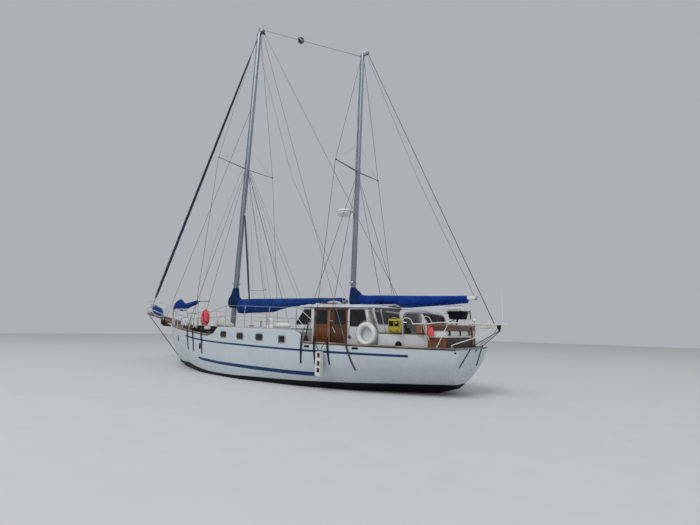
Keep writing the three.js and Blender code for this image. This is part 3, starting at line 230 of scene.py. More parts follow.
def paint(name, c, rough=(0.22, 0.42), var=0.10, streak=0.0, stain=None, coat=0.0, bump=0.05, grit=0.0, spec=0.4):
    """Painted or moulded surface: slow colour drift, fine orange peel, optional run-down streaks and grit."""
    m, nt, b, o = _mat(name)
    n1 = _noise(nt, o, 1.7, 5, 0.6)
    col = _ramp(nt, n1, [(0.25, scale3(c, 1 - var)), (0.55, c), (0.8, scale3(c, 1 + var * 0.4))])
    if streak:
        s = _noise(nt, _map(nt, o, (9, 9, 0.7)), 1.0, 6, 0.7)
        col = _mix(nt, _math(nt, "MULTIPLY", _ramp(nt, s, [(0.52, (0, 0, 0)), (0.8, (1, 1, 1))]), streak), col, stain or scale3(c, 0.6))
    nt.links.new(col, b.inputs["Base Color"])
    _rough(nt, b, _noise(nt, o, 6, 4), *rough)
    fine = _noise(nt, o, 140 if not grit else 420, 2)
    n = _bump(nt, b, fine, bump if not grit else 0.5, 0.0008 if not grit else 0.0015)
    _bump(nt, b, _noise(nt, o, 4.5, 3), 0.10, 0.004, n)
    b.inputs["Specular IOR Level"].default_value = spec
    if coat:
        b.inputs["Coat Weight"].default_value = coat
        b.inputs["Coat Roughness"].default_value = 0.08
    return m


def wood(name, dark, mid, light, grain=(1.2, 26, 26), rough=(0.25, 0.45), coat=0.0, seam=None, worn=0.0):
    """Timber with grain along the axis of the smallest scale; seam = (axis 0 1 2, pitch, width) caulks planks."""
    m, nt, b, o = _mat(name)
    g = _map(nt, o, grain)
    n1 = _noise(nt, g, 1.0, 8, 0.65, 0.6)
    n2 = _noise(nt, o, 3.1, 3)
    w = nt.nodes.new("ShaderNodeTexWave")
    w.inputs["Scale"].default_value = 0.9
    w.inputs["Distortion"].default_value = 6.0
    w.inputs["Detail"].default_value = 3
    nt.links.new(_map(nt, o, scale3_raw(grain, 0.22)), w.inputs["Vector"])
    f = _math(nt, "ADD", _math(nt, "MULTIPLY", n1, 0.65), _math(nt, "MULTIPLY", w.outputs["Fac"], 0.35))
    col = _ramp(nt, f, [(0.28, dark), (0.5, mid), (0.72, light)])
    col = _mix(nt, _math(nt, "MULTIPLY", n2, 0.35), col, dark)
    if worn:
        col = _mix(nt, _math(nt, "MULTIPLY", _ramp(nt, _noise(nt, o, 5.5, 6, 0.7), [(0.5, (0, 0, 0)), (0.72, (1, 1, 1))]), worn), col, (0.33, 0.29, 0.25))
    height = f
    if seam:
        ax, pitch, width = seam
        sep = nt.nodes.new("ShaderNodeSeparateXYZ")
        nt.links.new(o, sep.inputs[0])
        fr = _math(nt, "ABSOLUTE", _math(nt, "SUBTRACT", _math(nt, "FRACT", _math(nt, "DIVIDE", sep.outputs[ax], pitch)), 0.5))
        line = _math(nt, "GREATER_THAN", fr, 0.5 - width / pitch / 2)
        col = _mix(nt, line, col, (0.012, 0.011, 0.010))
        height = _math(nt, "SUBTRACT", f, _math(nt, "MULTIPLY", line, 1.5))
    nt.links.new(col, b.inputs["Base Color"])
    _rough(nt, b, n1, *rough)
    _bump(nt, b, height, 0.25, 0.0015)
    if coat:
        b.inputs["Coat Weight"].default_value = coat
        b.inputs["Coat Roughness"].default_value = 0.12
    return m


def scale3_raw(c, k): return tuple(v * k for v in c)


def cloth(name, c, fade=0.25, weave=330, crease=0.35, sheen=0.03, rough=(0.78, 0.95), tint=None):
    """Woven canvas: sun-faded patches, soft creases and a two-way weave."""
    m, nt, b, o = _mat(name)
    n1 = _noise(nt, o, 2.3, 6, 0.6)
    col = _ramp(nt, n1, [(0.3, scale3(c, 1 - fade)), (0.52, c), (0.75, tint or scale3(c, 1 + fade * 1.2))])
    wx = nt.nodes.new("ShaderNodeTexWave")
    wx.bands_direction = "X"
    wz = nt.nodes.new("ShaderNodeTexWave")
    wz.bands_direction = "Z"
    for w in (wx, wz):
        w.inputs["Scale"].default_value = weave / 6.28
        w.inputs["Distortion"].default_value = 0.4
        nt.links.new(o, w.inputs["Vector"])
    wv = _math(nt, "MULTIPLY", wx.outputs["Fac"], wz.outputs["Fac"])
    col = _mix(nt, _math(nt, "MULTIPLY", wv, 0.22), col, scale3(c, 0.55))
    nt.links.new(col, b.inputs["Base Color"])
    _rough(nt, b, n1, *rough)
    b.inputs["Sheen Weight"].default_value = sheen
    b.inputs["Sheen Roughness"].default_value = 0.5
    b.inputs["Specular IOR Level"].default_value = 0.16
    cr = _noise(nt, _map(nt, o, (5, 14, 14)), 1.0, 5, 0.6, 0.8)
    n = _bump(nt, b, wv, 0.25, 0.0006)
    _bump(nt, b, cr, crease, 0.012, n)
    return m


def metal(name, c, rough=(0.18, 0.34), var=0.12, brush=(3, 3, 90), rust=None):
    m, nt, b, o = _mat(name)
    n1 = _noise(nt, _map(nt, o, brush), 1.0, 4)
    n2 = _noise(nt, o, 5, 5, 0.65)
    col = _ramp(nt, n2, [(0.3, scale3(c, 1 - var)), (0.6, c), (0.85, scale3(c, 1 + var))])
    met = 1.0
    if rust:
        f = _math(nt, "MULTIPLY", _ramp(nt, _noise(nt, o, 11, 7, 0.7), [(0.55, (0, 0, 0)), (0.72, (1, 1, 1))]), rust[1])
        col = _mix(nt, f, col, rust[0])
    nt.links.new(col, b.inputs["Base Color"])
    b.inputs["Metallic"].default_value = met
    _rough(nt, b, n1, *rough)
    _bump(nt, b, n1, 0.06, 0.0005)
    return m


def glass(name, c, alpha=0.45, rough=0.04):
    m, nt, b, o = _mat(name)
    col = _ramp(nt, _noise(nt, o, 3, 3), [(0.3, scale3(c, 0.75)), (0.7, scale3(c, 1.15))])
    nt.links.new(col, b.inputs["Base Color"])
    _rough(nt, b, _noise(nt, o, 9, 3), rough, rough + 0.05)
    b.inputs["Alpha"].default_value = alpha
    b.inputs["IOR"].default_value = 1.5
    return m


GEL = paint("topside_paint", (0.56, 0.615, 0.66), (0.20, 0.34), 0.05, streak=0.20, stain=(0.47, 0.47, 0.42), coat=0.12)
BOOT = paint("boot_and_antifouling", (0.007, 0.010, 0.016), (0.45, 0.7), 0.3, streak=0.25, stain=(0.02, 0.035, 0.035), spec=0.10)
STRIPE = paint("blue_stripe_paint", (0.006, 0.040, 0.150), (0.30, 0.45), 0.15, spec=0.2)
DECKP = paint("deck_paint", (0.62, 0.64, 0.63), (0.4, 0.6), 0.06, streak=0.05)
GRIT = paint("deck_nonskid", (0.47, 0.475, 0.46), (0.6, 0.85), 0.10, grit=1.0)
HOUSE = paint("pilothouse_paint", (0.70, 0.73, 0.745), (0.25, 0.42), 0.06, streak=0.14, stain=(0.46, 0.44, 0.38), coat=0.05)
PLASTIC = paint("white_plastic_moulding", (0.76, 0.775, 0.77), (0.3, 0.5), 0.05)
BLACKP = paint("black_plastic", (0.006, 0.006, 0.008), (0.45, 0.7), 0.3, spec=0.12)
RAILW = paint("white_rail_enamel", (0.70, 0.69, 0.64), (0.3, 0.5), 0.08, streak=0.15, stain=(0.42, 0.34, 0.24))
# near-black boards: painted shade inside the bulwarks and painted shadow under the cap rail
BULWARK_SHADE = wood("bulwark_boards_painted_shade", (0.006, 0.005, 0.005), (0.013, 0.009, 0.008), (0.026, 0.017, 0.013), (1.3, 26, 26), (0.5, 0.7))
TEAK = wood("weathered_teak_rail", (0.16, 0.105, 0.080), (0.30, 0.205, 0.155), (0.42, 0.32, 0.25), (1.4, 30, 30), (0.5, 0.75), worn=0.6)
TEAKDK = wood("teak_deck_laid", (0.13, 0.085, 0.055), (0.22, 0.155, 0.105), (0.33, 0.25, 0.18), (1.4, 30, 30), (0.6, 0.8), seam=(1, 0.052, 0.006), worn=0.5)
VARN = wood("varnished_teak", (0.085, 0.020, 0.004), (0.200, 0.050, 0.009), (0.30, 0.088, 0.017), (30, 30, 1.3), (0.26, 0.42), coat=0.12)
# darker copy of the varnished teak: painted shade on the door frames, the after door leaves and the gallery boards
VARN_SHADED = wood("varnished_teak_painted_shade", (0.050, 0.016, 0.006), (0.110, 0.038, 0.013), (0.180, 0.070, 0.026), (30, 30, 1.3), (0.26, 0.42), coat=0.12)
# near-black copy of the teak: painted deep shade on the door top rails, gallery posts and aft face, and the step
# fender's recesses
TEAK_DEEP_SHADE = wood("teak_painted_deep_shade", (0.010, 0.004, 0.003), (0.026, 0.010, 0.006), (0.050, 0.020, 0.010), (30, 30, 1.3), (0.35, 0.5))
VARNL = wood("varnished_teak_light", (0.170, 0.070, 0.026), (0.300, 0.130, 0.052), (0.400, 0.190, 0.085), (30, 30, 1.3), (0.26, 0.42), coat=0.12)
VARNH = wood("varnished_teak_lengthwise", (0.060, 0.019, 0.007), (0.140, 0.045, 0.014), (0.22, 0.080, 0.026), (1.3, 30, 30), (0.26, 0.42), coat=0.12)
VARNY = wood("varnished_teak_across", (0.060, 0.019, 0.007), (0.140, 0.045, 0.014), (0.22, 0.080, 0.026), (30, 1.3, 30), (0.26, 0.42), coat=0.12)
OAK = wood("pale_ply", (0.30, 0.22, 0.13), (0.45, 0.35, 0.22), (0.56, 0.46, 0.31), (1.2, 20, 20), (0.4, 0.6))
STEEL = metal("polished_stainless", (0.62, 0.64, 0.66), (0.14, 0.28))
WIRE = metal("wire_rope", (0.12, 0.13, 0.145), (0.3, 0.5), brush=(60, 60, 400))
ALLOY = metal("mast_alloy_paint", (0.27, 0.31, 0.35), (0.38, 0.55), 0.10, (2, 2, 40))
DARKAL = metal("dark_alloy", (0.07, 0.075, 0.085), (0.35, 0.55), 0.2)
GALV = metal("galvanised_steel", (0.20, 0.195, 0.19), (0.5, 0.7), 0.25, rust=((0.12, 0.050, 0.025), 0.8))
BRONZE = metal("propeller_bronze", (0.52, 0.36, 0.14), (0.25, 0.42), 0.2)
IRON = paint("keel_iron_antifouled", (0.020, 0.021, 0.025), (0.5, 0.75), 0.35, grit=1.0)
CHAINP = paint("chainplate_dark_enamel", (0.006, 0.010, 0.022), (0.45, 0.65), 0.2, spec=0.2)
BLUE = cloth("royal_blue_canvas", (0.006, 0.046, 0.235), fade=0.30, tint=(0.012, 0.085, 0.34))
# lighter teal copy of the blue canvas: painted highlight along the top of the main cover
BLUE_TOP_HIGHLIGHT = cloth("blue_canvas_painted_highlight", (0.010, 0.105, 0.30), fade=0.25, tint=(0.02, 0.15, 0.36))
BLUEM = cloth("bright_blue_canvas", (0.003, 0.034, 0.26), fade=0.30, tint=(0.008, 0.070, 0.38))
NAVYB = cloth("deep_blue_canvas", (0.004, 0.026, 0.105), fade=0.30)
NAVY = cloth("navy_canvas", (0.012, 0.022, 0.070), fade=0.30)
GENOA = cloth("furled_sail_cover_strip", (0.040, 0.048, 0.075), fade=0.35, weave=420)
SAILC = cloth("sail_dacron", (0.62, 0.61, 0.57), fade=0.08, weave=500)
GREYC = cloth("grey_dodger_canvas", (0.52, 0.53, 0.54), fade=0.12)
VINYL = glass("clear_vinyl", (0.035, 0.037, 0.040), 0.78, 0.14)
# near-black copy of the dodger canvas: painted shade on its inner face
DODGER_INSIDE_SHADE = cloth("dodger_inside_painted_shade", (0.030, 0.031, 0.033), fade=0.2)
GLASS = glass("window_glass", (0.006, 0.008, 0.009), 0.84)
DGLASS = glass("dark_portlight_glass", (0.004, 0.005, 0.006), 0.97)
CREAM = cloth("cream_cushion_fabric", (0.60, 0.56, 0.48), fade=0.15)
YELLOW = cloth("yellow_bag_cloth", (0.50, 0.40, 0.035), fade=0.22)
CORAL = cloth("coral_bag_cloth", (0.80, 0.085, 0.115), fade=0.18, tint=(0.86, 0.20, 0.24))
ORANGE = cloth("orange_foam_cover", (0.62, 0.12, 0.045), fade=0.2)
RINGC = cloth("life_ring_cover", (0.80, 0.81, 0.80), fade=0.10, crease=0.15)
ROPE = cloth("rope_white", (0.50, 0.49, 0.45), fade=0.2, weave=700, crease=0.6)
ROPED = cloth("rope_dark", (0.030, 0.034, 0.050), fade=0.3, weave=700, crease=0.6)
RUBBER = paint("rubber_seal", (0.015, 0.015, 0.016), (0.55, 0.75), 0.3)
FEND = cloth("step_fender_vinyl", (0.74, 0.75, 0.72), fade=0.12, crease=0.15)
FLOORM = paint("pale_floor", (0.68, 0.69, 0.69), (0.65, 0.8), 0.03, bump=0.02)
LED = paint("lamp_lens", (0.82, 0.83, 0.80), (0.08, 0.2), 0.05)


# -------------------------------------------------------------- shape helpers
def lerp(a, b, t): return a + (b - a) * t


def curve_at(rows, x, k=1):
    """Smooth value of column k of a table sorted by column 0."""
    rows = rows if rows[0][0] < rows[-1][0] else rows[::-1]
    xs = [r[0] for r in rows]
    if x <= xs[0]:
        return rows[0][k]
    if x >= xs[-1]:
        return rows[-1][k]
    i = max(j for j in range(len(xs) - 1) if xs[j] <= x)
    p = lambda j: rows[max(0, min(len(rows) - 1, j))]
    a, b = p(i), p(i + 1)
    h = b[0] - a[0]
    u = (x - a[0]) / h

    def sl(j):
        q, w = p(j - 1), p(j + 1)
        return (w[k] - q[k]) / (w[0] - q[0])
    d = (b[k] - a[k]) / h
    m0, m1 = (sl(i), sl(i + 1))
    if d == 0:
        m0 = m1 = 0
    else:
        m0 = 0 if m0 * d < 0 else max(-3 * abs(d), min(3 * abs(d), m0))
        m1 = 0 if m1 * d < 0 else max(-3 * abs(d), min(3 * abs(d), m1))
    return (1 + 2 * u) * (1 - u) ** 2 * a[k] + u * (1 - u) ** 2 * h * m0 + u * u * (3 - 2 * u) * b[k] + u * u * (u - 1) * h * m1


def catmull(pts, k=6, closed=False):
    p = [np.array(q, float) for q in pts]
    n = len(p)
    out = []
    segs = n if closed else n - 1
    for i in range(segs):
        a = p[(i - 1) % n] if closed or i > 0 else 2 * p[0] - p[1]
        b, c = p[i % n], p[(i + 1) % n]
        d = p[(i + 2) % n] if closed or i + 2 < n else 2 * p[-1] - p[-2]
        for j in range(k):
            t = j / k
            out.append(0.5 * ((2 * b) + (c - a) * t + (2 * a - 5 * b + 4 * c - d) * t * t + (3 * b - a - 3 * c + d) * t ** 3))
    if not closed:
        out.append(p[-1])
    return out


def tube(pts, r, n=8, closed=False, smooth=0, flat=None):
    """Round bar along points; r may be a list. flat = (width factor, height factor) squeezes the section."""
    P = catmull(pts, smooth, closed) if smooth else [np.array(q, float) for q in pts]
    m = len(P)
    R = [r] * m if isinstance(r, (int, float)) else [curve_at([[i / (len(r) - 1), v] for i, v in enumerate(r)], j / (m - 1)) for j in range(m)]
    T = []
    for i in range(m):
        a = P[(i - 1) % m] if closed else P[max(0, i - 1)]
        b = P[(i + 1) % m] if closed else P[min(m - 1, i + 1)]
        t = b - a
        T.append(t / (np.linalg.norm(t) + 1e-12))
    ref = np.array([0, 0, 1.0]) if abs(T[0][2]) < 0.9 else np.array([1.0, 0, 0])
    N = ref - T[0] * (ref @ T[0])
    N /= np.linalg.norm(N)
    V, F = [], []
    fw, fh = flat or (1, 1)
    for i in range(m):
        N = N - T[i] * (N @ T[i])
        N /= np.linalg.norm(N) + 1e-12
        B = np.cross(T[i], N)
        for j in range(n):
            a = 2 * pi * j / n
            V.append(P[i] + R[i] * (N * cos(a) * fh + B * sin(a) * fw))
    for i in range(m if closed else m - 1):
        for j in range(n):
            a, b = i * n + j, i * n + (j + 1) % n
            c, d = ((i + 1) % m) * n + j, ((i + 1) % m) * n + (j + 1) % n
            F.append((a, b, d, c))
    if not closed:
        F.append(tuple(range(n - 1, -1, -1)))
        F.append(tuple((m - 1) * n + j for j in range(n)))
    return V, F


def loft(rings, caps=True, wrap=False):
    n, m = len(rings[0]), len(rings)
    V = [tuple(p) for r in rings for p in r]
    F = []
    for i in range(m if wrap else m - 1):
        for j in range(n):
            a, b = i * n + j, i * n + (j + 1) % n
            c, d = ((i + 1) % m) * n + j, ((i + 1) % m) * n + (j + 1) % n
            F.append((a, b, d, c))
    if caps and not wrap:
        F.append(tuple(range(n - 1, -1, -1)))
        F.append(tuple((m - 1) * n + j for j in range(n)))
    return V, F


def lathe(profile, origin, axis=(0, 0, 1), n=24, wrap=False):
    """profile: (radius, distance along axis) pairs."""
    A = Vector(axis).normalized()
    ref = Vector((1, 0, 0)) if abs(A.x) < 0.9 else Vector((0, 1, 0))
    U = A.cross(ref).normalized()
    W = A.cross(U)
    O = Vector(origin)
    return loft([[O + A * h + (U * cos(2 * pi * j / n) + W * sin(2 * pi * j / n)) * max(r, 1e-4) for j in range(n)] for r, h in profile], wrap=wrap)


_box_cache = {}


def bx(x0, x1, y0, y1, z0, z1, b=0.004, seg=2, rot=None, about=None):
    """Box with rounded edges."""
    sx, sy, sz = abs(x1 - x0), abs(y1 - y0), abs(z1 - z0)
    key = (round(sx, 5), round(sy, 5), round(sz, 5), b, seg)
    if key not in _box_cache:
        bm = bmesh.new()
        bmesh.ops.create_cube(bm, size=1)
        bmesh.ops.scale(bm, vec=(sx, sy, sz), verts=bm.verts)
        bb = min(b, 0.45 * min(sx, sy, sz))
        if bb > 1e-5:
            bmesh.ops.bevel(bm, geom=list(bm.edges), offset=bb, segments=seg, profile=0.6, affect="EDGES")
        bm.verts.index_update()
        _box_cache[key] = ([v.co.copy() for v in bm.verts], [tuple(v.index for v in f.verts) for f in bm.faces])
        bm.free()
    V, F = _box_cache[key]
    c = Vector(((x0 + x1) / 2, (y0 + y1) / 2, (z0 + z1) / 2))
    V = [v + c for v in V]
    if rot is not None:
        p = Vector(about) if about is not None else c
        V = [p + rot @ (v - p) for v in V]
    return V, F


def grid(P, flip=False):
    """Faces of a point array P[i][j]."""
    n, m = len(P), len(P[0])
    V = [tuple(p) for row in P for p in row]
    F = [(i * m + j, i * m + j + 1, (i + 1) * m + j + 1, (i + 1) * m + j) for i in range(n - 1) for j in range(m - 1)]
    return V, F


def shell(P, t):
    """Closed thin sheet: P[i][j] pushed both ways along its normals by t/2."""
    A = np.array(P, float)
    gi = np.gradient(A, axis=0)
    gj = np.gradient(A, axis=1)
    N = np.cross(gi, gj)
    N /= np.linalg.norm(N, axis=2, keepdims=True) + 1e-12
    n, m = A.shape[:2]
    top, bot = (A + N * t / 2).reshape(-1, 3), (A - N * t / 2).reshape(-1, 3)
    V = [tuple(p) for p in np.vstack([top, bot])]
    k = n * m
    F = []
    for i in range(n - 1):
        for j in range(m - 1):
            a, b, c, d = i * m + j, i * m + j + 1, (i + 1) * m + j + 1, (i + 1) * m + j
            F += [(a, b, c, d), (d + k, c + k, b + k, a + k)]
    rim = [j for j in range(m)] + [i * m + m - 1 for i in range(1, n)] + [(n - 1) * m + j for j in range(m - 2, -1, -1)] + [i * m for i in range(n - 2, 0, -1)]
    for a, b in zip(rim, rim[1:] + rim[:1]):
        F.append((b, a, a + k, b + k))
    return V, F


def prism(outline, lo, hi, plane="xz", b=0.0, seg=2):
    """Outline extruded across its plane, edges rounded by b. plane xz runs along y, xy along z, yz along x."""
    bm = bmesh.new()
    put = {"xz": lambda p, q: (p[0], q, p[1]), "xy": lambda p, q: (p[0], p[1], q), "yz": lambda p, q: (q, p[0], p[1])}[plane]
    a = [bm.verts.new(put(p, lo)) for p in outline]
    c = [bm.verts.new(put(p, hi)) for p in outline]
    bm.faces.new(a)
    bm.faces.new(c[::-1])
    n = len(outline)
    for i in range(n):
        bm.faces.new((a[i], c[i], c[(i + 1) % n], a[(i + 1) % n]))
    bmesh.ops.recalc_face_normals(bm, faces=bm.faces)
    if b:
        bmesh.ops.bevel(bm, geom=list(bm.edges), offset=b, segments=seg, profile=0.6, affect="EDGES")
    bm.verts.index_update()
    out = [v.co.copy() for v in bm.verts], [tuple(v.index for v in f.verts) for f in bm.faces]
    bm.free()
    return out


def mirror(vf):
    V, F = vf
    return [(v[0], -v[1], v[2]) for v in V], [tuple(reversed(f)) for f in F]


def blob(c, rx, ry, rz, n=16, m=10, p=2.0, wob=0.0, seed=0):
    """Superellipsoid, p over 2 squarer, wob adds soft lumps."""
    c = Vector(c)
    V, F = [], []
    e = 2 / p
    for i in range(1, m):
        a = -pi / 2 + pi * i / m
        for j in range(n):
            t = 2 * pi * j / n
            f = lambda v: math.copysign(abs(v) ** e, v)
            d = Vector((f(cos(a)) * f(cos(t)) * rx, f(cos(a)) * f(sin(t)) * ry, f(sin(a)) * rz))
            if wob:
                d *= 1 + wob * noise.noise((c + d) * 7 + Vector((seed, 0, 0)))
            V.append(c + d)
    k = len(V)
    V += [c - Vector((0, 0, rz)), c + Vector((0, 0, rz))]
    for i in range(m - 2):
        for j in range(n):
            F.append((i * n + j, i * n + (j + 1) % n, (i + 1) * n + (j + 1) % n, (i + 1) * n + j))
    for j in range(n):
        F.append(((j + 1) % n, j, k))
        F.append(((m - 2) * n + j, (m - 2) * n + (j + 1) % n, k + 1))
    return V, F


class Piece:
    """One mesh piece collected from parts."""

    def __init__(self, name, mats, body=YACHT, slot=None):
        self.name, self.mats, self.body, self.slot = name, mats if isinstance(mats, (list, tuple)) else [mats], body, slot
        self.v, self.f, self.m = [], [], []

    def add(self, vf, m=0, both=False):
        V, F = vf
        k = len(self.v)
        self.v += [tuple(v) for v in V]
        self.f += [tuple(i + k for i in f) for f in F]
        self.m += [m] * len(F)
        if both:
            self.add(mirror(vf), m)
        return self

    def done(self, angle=38, replaces=(), ride=True, subsurf=0):
        me = bpy.data.meshes.new(self.name)
        me.from_pydata(self.v, [], self.f)
        for m in self.mats:
            me.materials.append(m)
        me.polygons.foreach_set("material_index", self.m)
        finish_mesh(me, angle)
        o = bpy.data.objects.new(self.name, me)
        bpy.context.scene.collection.objects.link(o)
        if subsurf:
            s = o.modifiers.new("smooth", "SUBSURF")
            s.levels = s.render_levels = subsurf
        if ride:
            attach(o, self.body)
        if replaces:
            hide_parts(*replaces)
        return o


def finish_mesh(me, angle):
    bm = bmesh.new()
    bm.from_mesh(me)
    bmesh.ops.recalc_face_normals(bm, faces=bm.faces)
    bm.to_mesh(me)
    bm.free()
    me.polygons.foreach_set("use_smooth", [True] * len(me.polygons))
    me.set_sharp_from_angle(angle=rad(angle))
    me.update()


def boolean(o, parts, op="DIFFERENCE", mi=0):
    """Cuts or joins o with closed meshes; the new faces take material mi."""
    for vf in parts:
        V, F = vf
        me = bpy.data.meshes.new("tool")
        me.from_pydata([tuple(v) for v in V], [], [tuple(f) for f in F])
        bm = bmesh.new()
        bm.from_mesh(me)
        bmesh.ops.recalc_face_normals(bm, faces=bm.faces)
        bmesh.ops.triangulate(bm, faces=[f for f in bm.faces if len(f.verts) > 4])
        bm.to_mesh(me)
        bm.free()
        for m in o.data.materials:
            me.materials.append(m)
        me.polygons.foreach_set("material_index", [mi] * len(me.polygons))
        c = bpy.data.objects.new("tool", me)
        bpy.context.scene.collection.objects.link(c)
        md = o.modifiers.new("b", "BOOLEAN")
        md.operation, md.object, md.solver = op, c, "MANIFOLD"
        dg = bpy.context.evaluated_depsgraph_get()
        new = bpy.data.meshes.new_from_object(o.evaluated_get(dg))
        if not len(new.polygons):
            md.solver = "EXACT"
            dg = bpy.context.evaluated_depsgraph_get()
            new = bpy.data.meshes.new_from_object(o.evaluated_get(dg))
        o.modifiers.remove(md)
        o.data = new
        bpy.data.objects.remove(c)
    return o


def refine(node, mat, bevel=0.003, angle=50, seg=2):
    """Keeps a CAD node and gives it a finish: shared corners, softened edges, smooth faces."""
    o = NODES[node]
    me = o.data
    a = me.attributes.get("custom_normal")
    if a:
        me.attributes.remove(a)
    e = me.attributes.get("sharp_edge")
    if e:
        me.attributes.remove(e)
    me.materials.clear()
    me.materials.append(mat)
    me.polygons.foreach_set("material_index", [0] * len(me.polygons))
    me.polygons.foreach_set("use_smooth", [True] * len(me.polygons))
    w = o.modifiers.new("weld", "WELD")
    w.merge_threshold = 0.00015
    if bevel:
        b = o.modifiers.new("edges", "BEVEL")
        b.width, b.segments, b.limit_method, b.angle_limit = bevel, seg, "ANGLE", rad(angle)
        b.use_clamp_overlap = True
        b.harden_normals = False
    wn = o.modifiers.new("shade", "WEIGHTED_NORMAL")
    wn.keep_sharp = True
    wn.weight = 80
    return o


def thicken(o, by):
    d = o.modifiers.new("thicken", "DISPLACE")
    d.strength, d.mid_level = by, 0.0
    return o


def strap_paint(o, ztop, mat):
    """Faces below ztop take a second finish."""
    o.data.materials.append(mat)
    M = o.matrix_world
    for f in o.data.polygons:
        if (M @ f.center).z < ztop:
            f.material_index = 1


def poly_offset(poly, d):
    """Outline grown (d > 0) or shrunk along its edges' normals."""
    n = len(poly)
    area = sum(poly[i][0] * poly[(i + 1) % n][1] - poly[(i + 1) % n][0] * poly[i][1] for i in range(n))
    sg = 1 if area > 0 else -1
    out = []
    for i in range(n):
        a, b, c = poly[i - 1], poly[i], poly[(i + 1) % n]
        def nrm(p, q):
            dx, dy = q[0] - p[0], q[1] - p[1]
            l = math.hypot(dx, dy)
            return (dy / l * sg, -dx / l * sg)
        n1, n2 = nrm(a, b), nrm(b, c)
        k = 1 + n1[0] * n2[0] + n1[1] * n2[1]
        out.append((b[0] + d * (n1[0] + n2[0]) / k, b[1] + d * (n1[1] + n2[1]) / k))
    return out


def rounded(poly, r, k=4):
    """Outline with its corners rounded."""
    n = len(poly)
    out = []
    for i in range(n):
        a, b, c = (Vector(poly[j % n]) for j in (i - 1, i, i + 1))
        d1, d2 = (a - b), (c - b)
        rr = min(r, 0.45 * d1.length, 0.45 * d2.length)
        p, q = b + d1.normalized() * rr, b + d2.normalized() * rr
        for j in range(k + 1):
            t = j / k
            out.append(tuple((1 - t) ** 2 * p + 2 * t * (1 - t) * b + t * t * q))
    return out


def ringframe(outline, w, lo, hi, plane="xz", lip=0.003):
    """Frame of width w inside the outline, from lo to hi across the plane, with an eased front edge."""
    put = {"xz": lambda p, q: (p[0], q, p[1]), "xy": lambda p, q: (p[0], p[1], q), "yz": lambda p, q: (q, p[0], p[1])}[plane]
    o, i1 = outline, poly_offset(outline, -w)
    o2, i2 = poly_offset(outline, -lip), poly_offset(outline, -w + lip)
    d = lip if hi > lo else -lip
    rings = [[put(o[k], lo), put(o[k], hi - d), put(o2[k], hi), put(i2[k], hi), put(i1[k], hi - d), put(i1[k], lo)] for k in range(len(o))]
    return loft(rings, wrap=True)


# ===================================================================== HULL
BOOT_LINE = [[-7.2, .285], [-6.87, .28], [-6.03, .27], [-5.24, .25], [-4.55, .22], [-3.29, .18], [-2.16, .15], [-1.02, .13], [-.33, .11],
             [.79, .10], [1.45, .13], [2.28, .19], [3.11, .25], [3.8, .225], [4.4, .19], [4.9, .165], [5.6, .15], [6.4, .15]]
K1, K2 = 8, 30


def t_level(k, x):
    zR, zS = station(4, x), station(2, x)
    tb = max(0.02, min(0.9, (curve_at(BOOT_LINE, x) - zR) / (zS - zR)))
    return tb * k / K1 if k <= K1 else tb + (1 - tb) * (k - K1) / K2


def skin(k, x):
    t = t_level(k, x)
    bS, zS, zR, kt, p = (station(j, x) for j in (1, 2, 4, 5, 6))
    return (x, kt + (bS - kt) * (1 - (1 - t) ** p), zR + (zS - zR) * t)


def hull_ring(x, s=None):
    pts = []
    for k in range(K1 + K2 + 1):
        xx = x
        if s is not None:
            xe = -7.1
            for _ in range(10):
                xe = TRANSOM(skin(k, xe)[2])
            xx = -6.3 + s * (xe + 6.3)
        pts.append(skin(k, xx))
    keel = (pts[0][0] + 0.010, 0, pts[0][2] - 0.012)
    return pts + [(x, -y, z) for x, y, z in reversed(pts)] + [keel]


HX = [7.18, 7.14, 7.08, 7.0, 6.92, 6.83, 6.74] + [6.66 - 0.11 * i for i in range(118)]
rings = [hull_ring(x) for x in HX if x > -6.25] + [hull_ring(-6.3, s) for s in np.linspace(0, 1, 11)]
V, F = loft(rings)
L = K1 + K2 + 1
fm = []
for f in F:
    c = sum((Vector(V[i]) for i in f), Vector()) / len(f)
    low = c.z < curve_at(BOOT_LINE, c.x) - 0.0005
    fm.append(1 if low and len(f) < 10 else 0)
# the transom and stem caps are cut at the boot line too
HULL_MATS = [GEL, BOOT, DECKP, HOUSE]
n_ring = 2 * L + 1
V2 = list(V)
F2, fm2 = [], []
for f, m in zip(F, fm):
    if len(f) < 10:
        F2.append(f)
        fm2.append(m)
        continue
    base = min(f)
    P = lambda k: base + k
    for k in range(L - 1):          # strips between equal levels, port to starboard
        F2.append((P(k), P(k + 1), P(2 * L - 2 - k), P(2 * L - 1 - k)))
        fm2.append(1 if k < K1 and base > 0 else 0)
    F2.append((P(0), P(2 * L - 1), P(2 * L)))
    fm2.append(1 if base > 0 else 0)
V, F, fm = V2, F2, fm2
me = bpy.data.meshes.new("hull_moulding")
me.from_pydata([tuple(v) for v in V], [], F)
for m in HULL_MATS:
    me.materials.append(m)
me.polygons.foreach_set("material_index", fm)
bm = bmesh.new()
bm.from_mesh(me)
bmesh.ops.recalc_face_normals(bm, faces=bm.faces)
bm.to_mesh(me)
bm.free()
hull = bpy.data.objects.new("hull_moulding", me)
bpy.context.scene.collection.objects.link(hull)

# raised midship deck with a swept forward end and a rounded after end
RL = [[1.02, 1.287], [0.96, 1.297], [0.90, 1.317], [0.84, 1.345], [0.78, 1.380], [0.72, 1.425], [0.66, 1.480], [0.60, 1.530], [0.55, 1.560], [0.48, RAISED(0.48)]]
RX = [1.02 - 0.02 * i for i in range(27)] + [0.45 - 0.13 * i for i in range(26)]
RX = [x for x in RX if x > -2.88] + [-2.88 - 0.44 * sin(a) for a in np.linspace(0, pi / 2 - 0.02, 16)]


def raised_top(x):
    if x > 0.48:
        return curve_at(RL, x)
    if x < -2.88:
        u = min(1, (-2.88 - x) / 0.44)
        return 1.19 + (RAISED(-2.88) - 1.19) * sqrt(max(0, 1 - u * u))
    return RAISED(x)


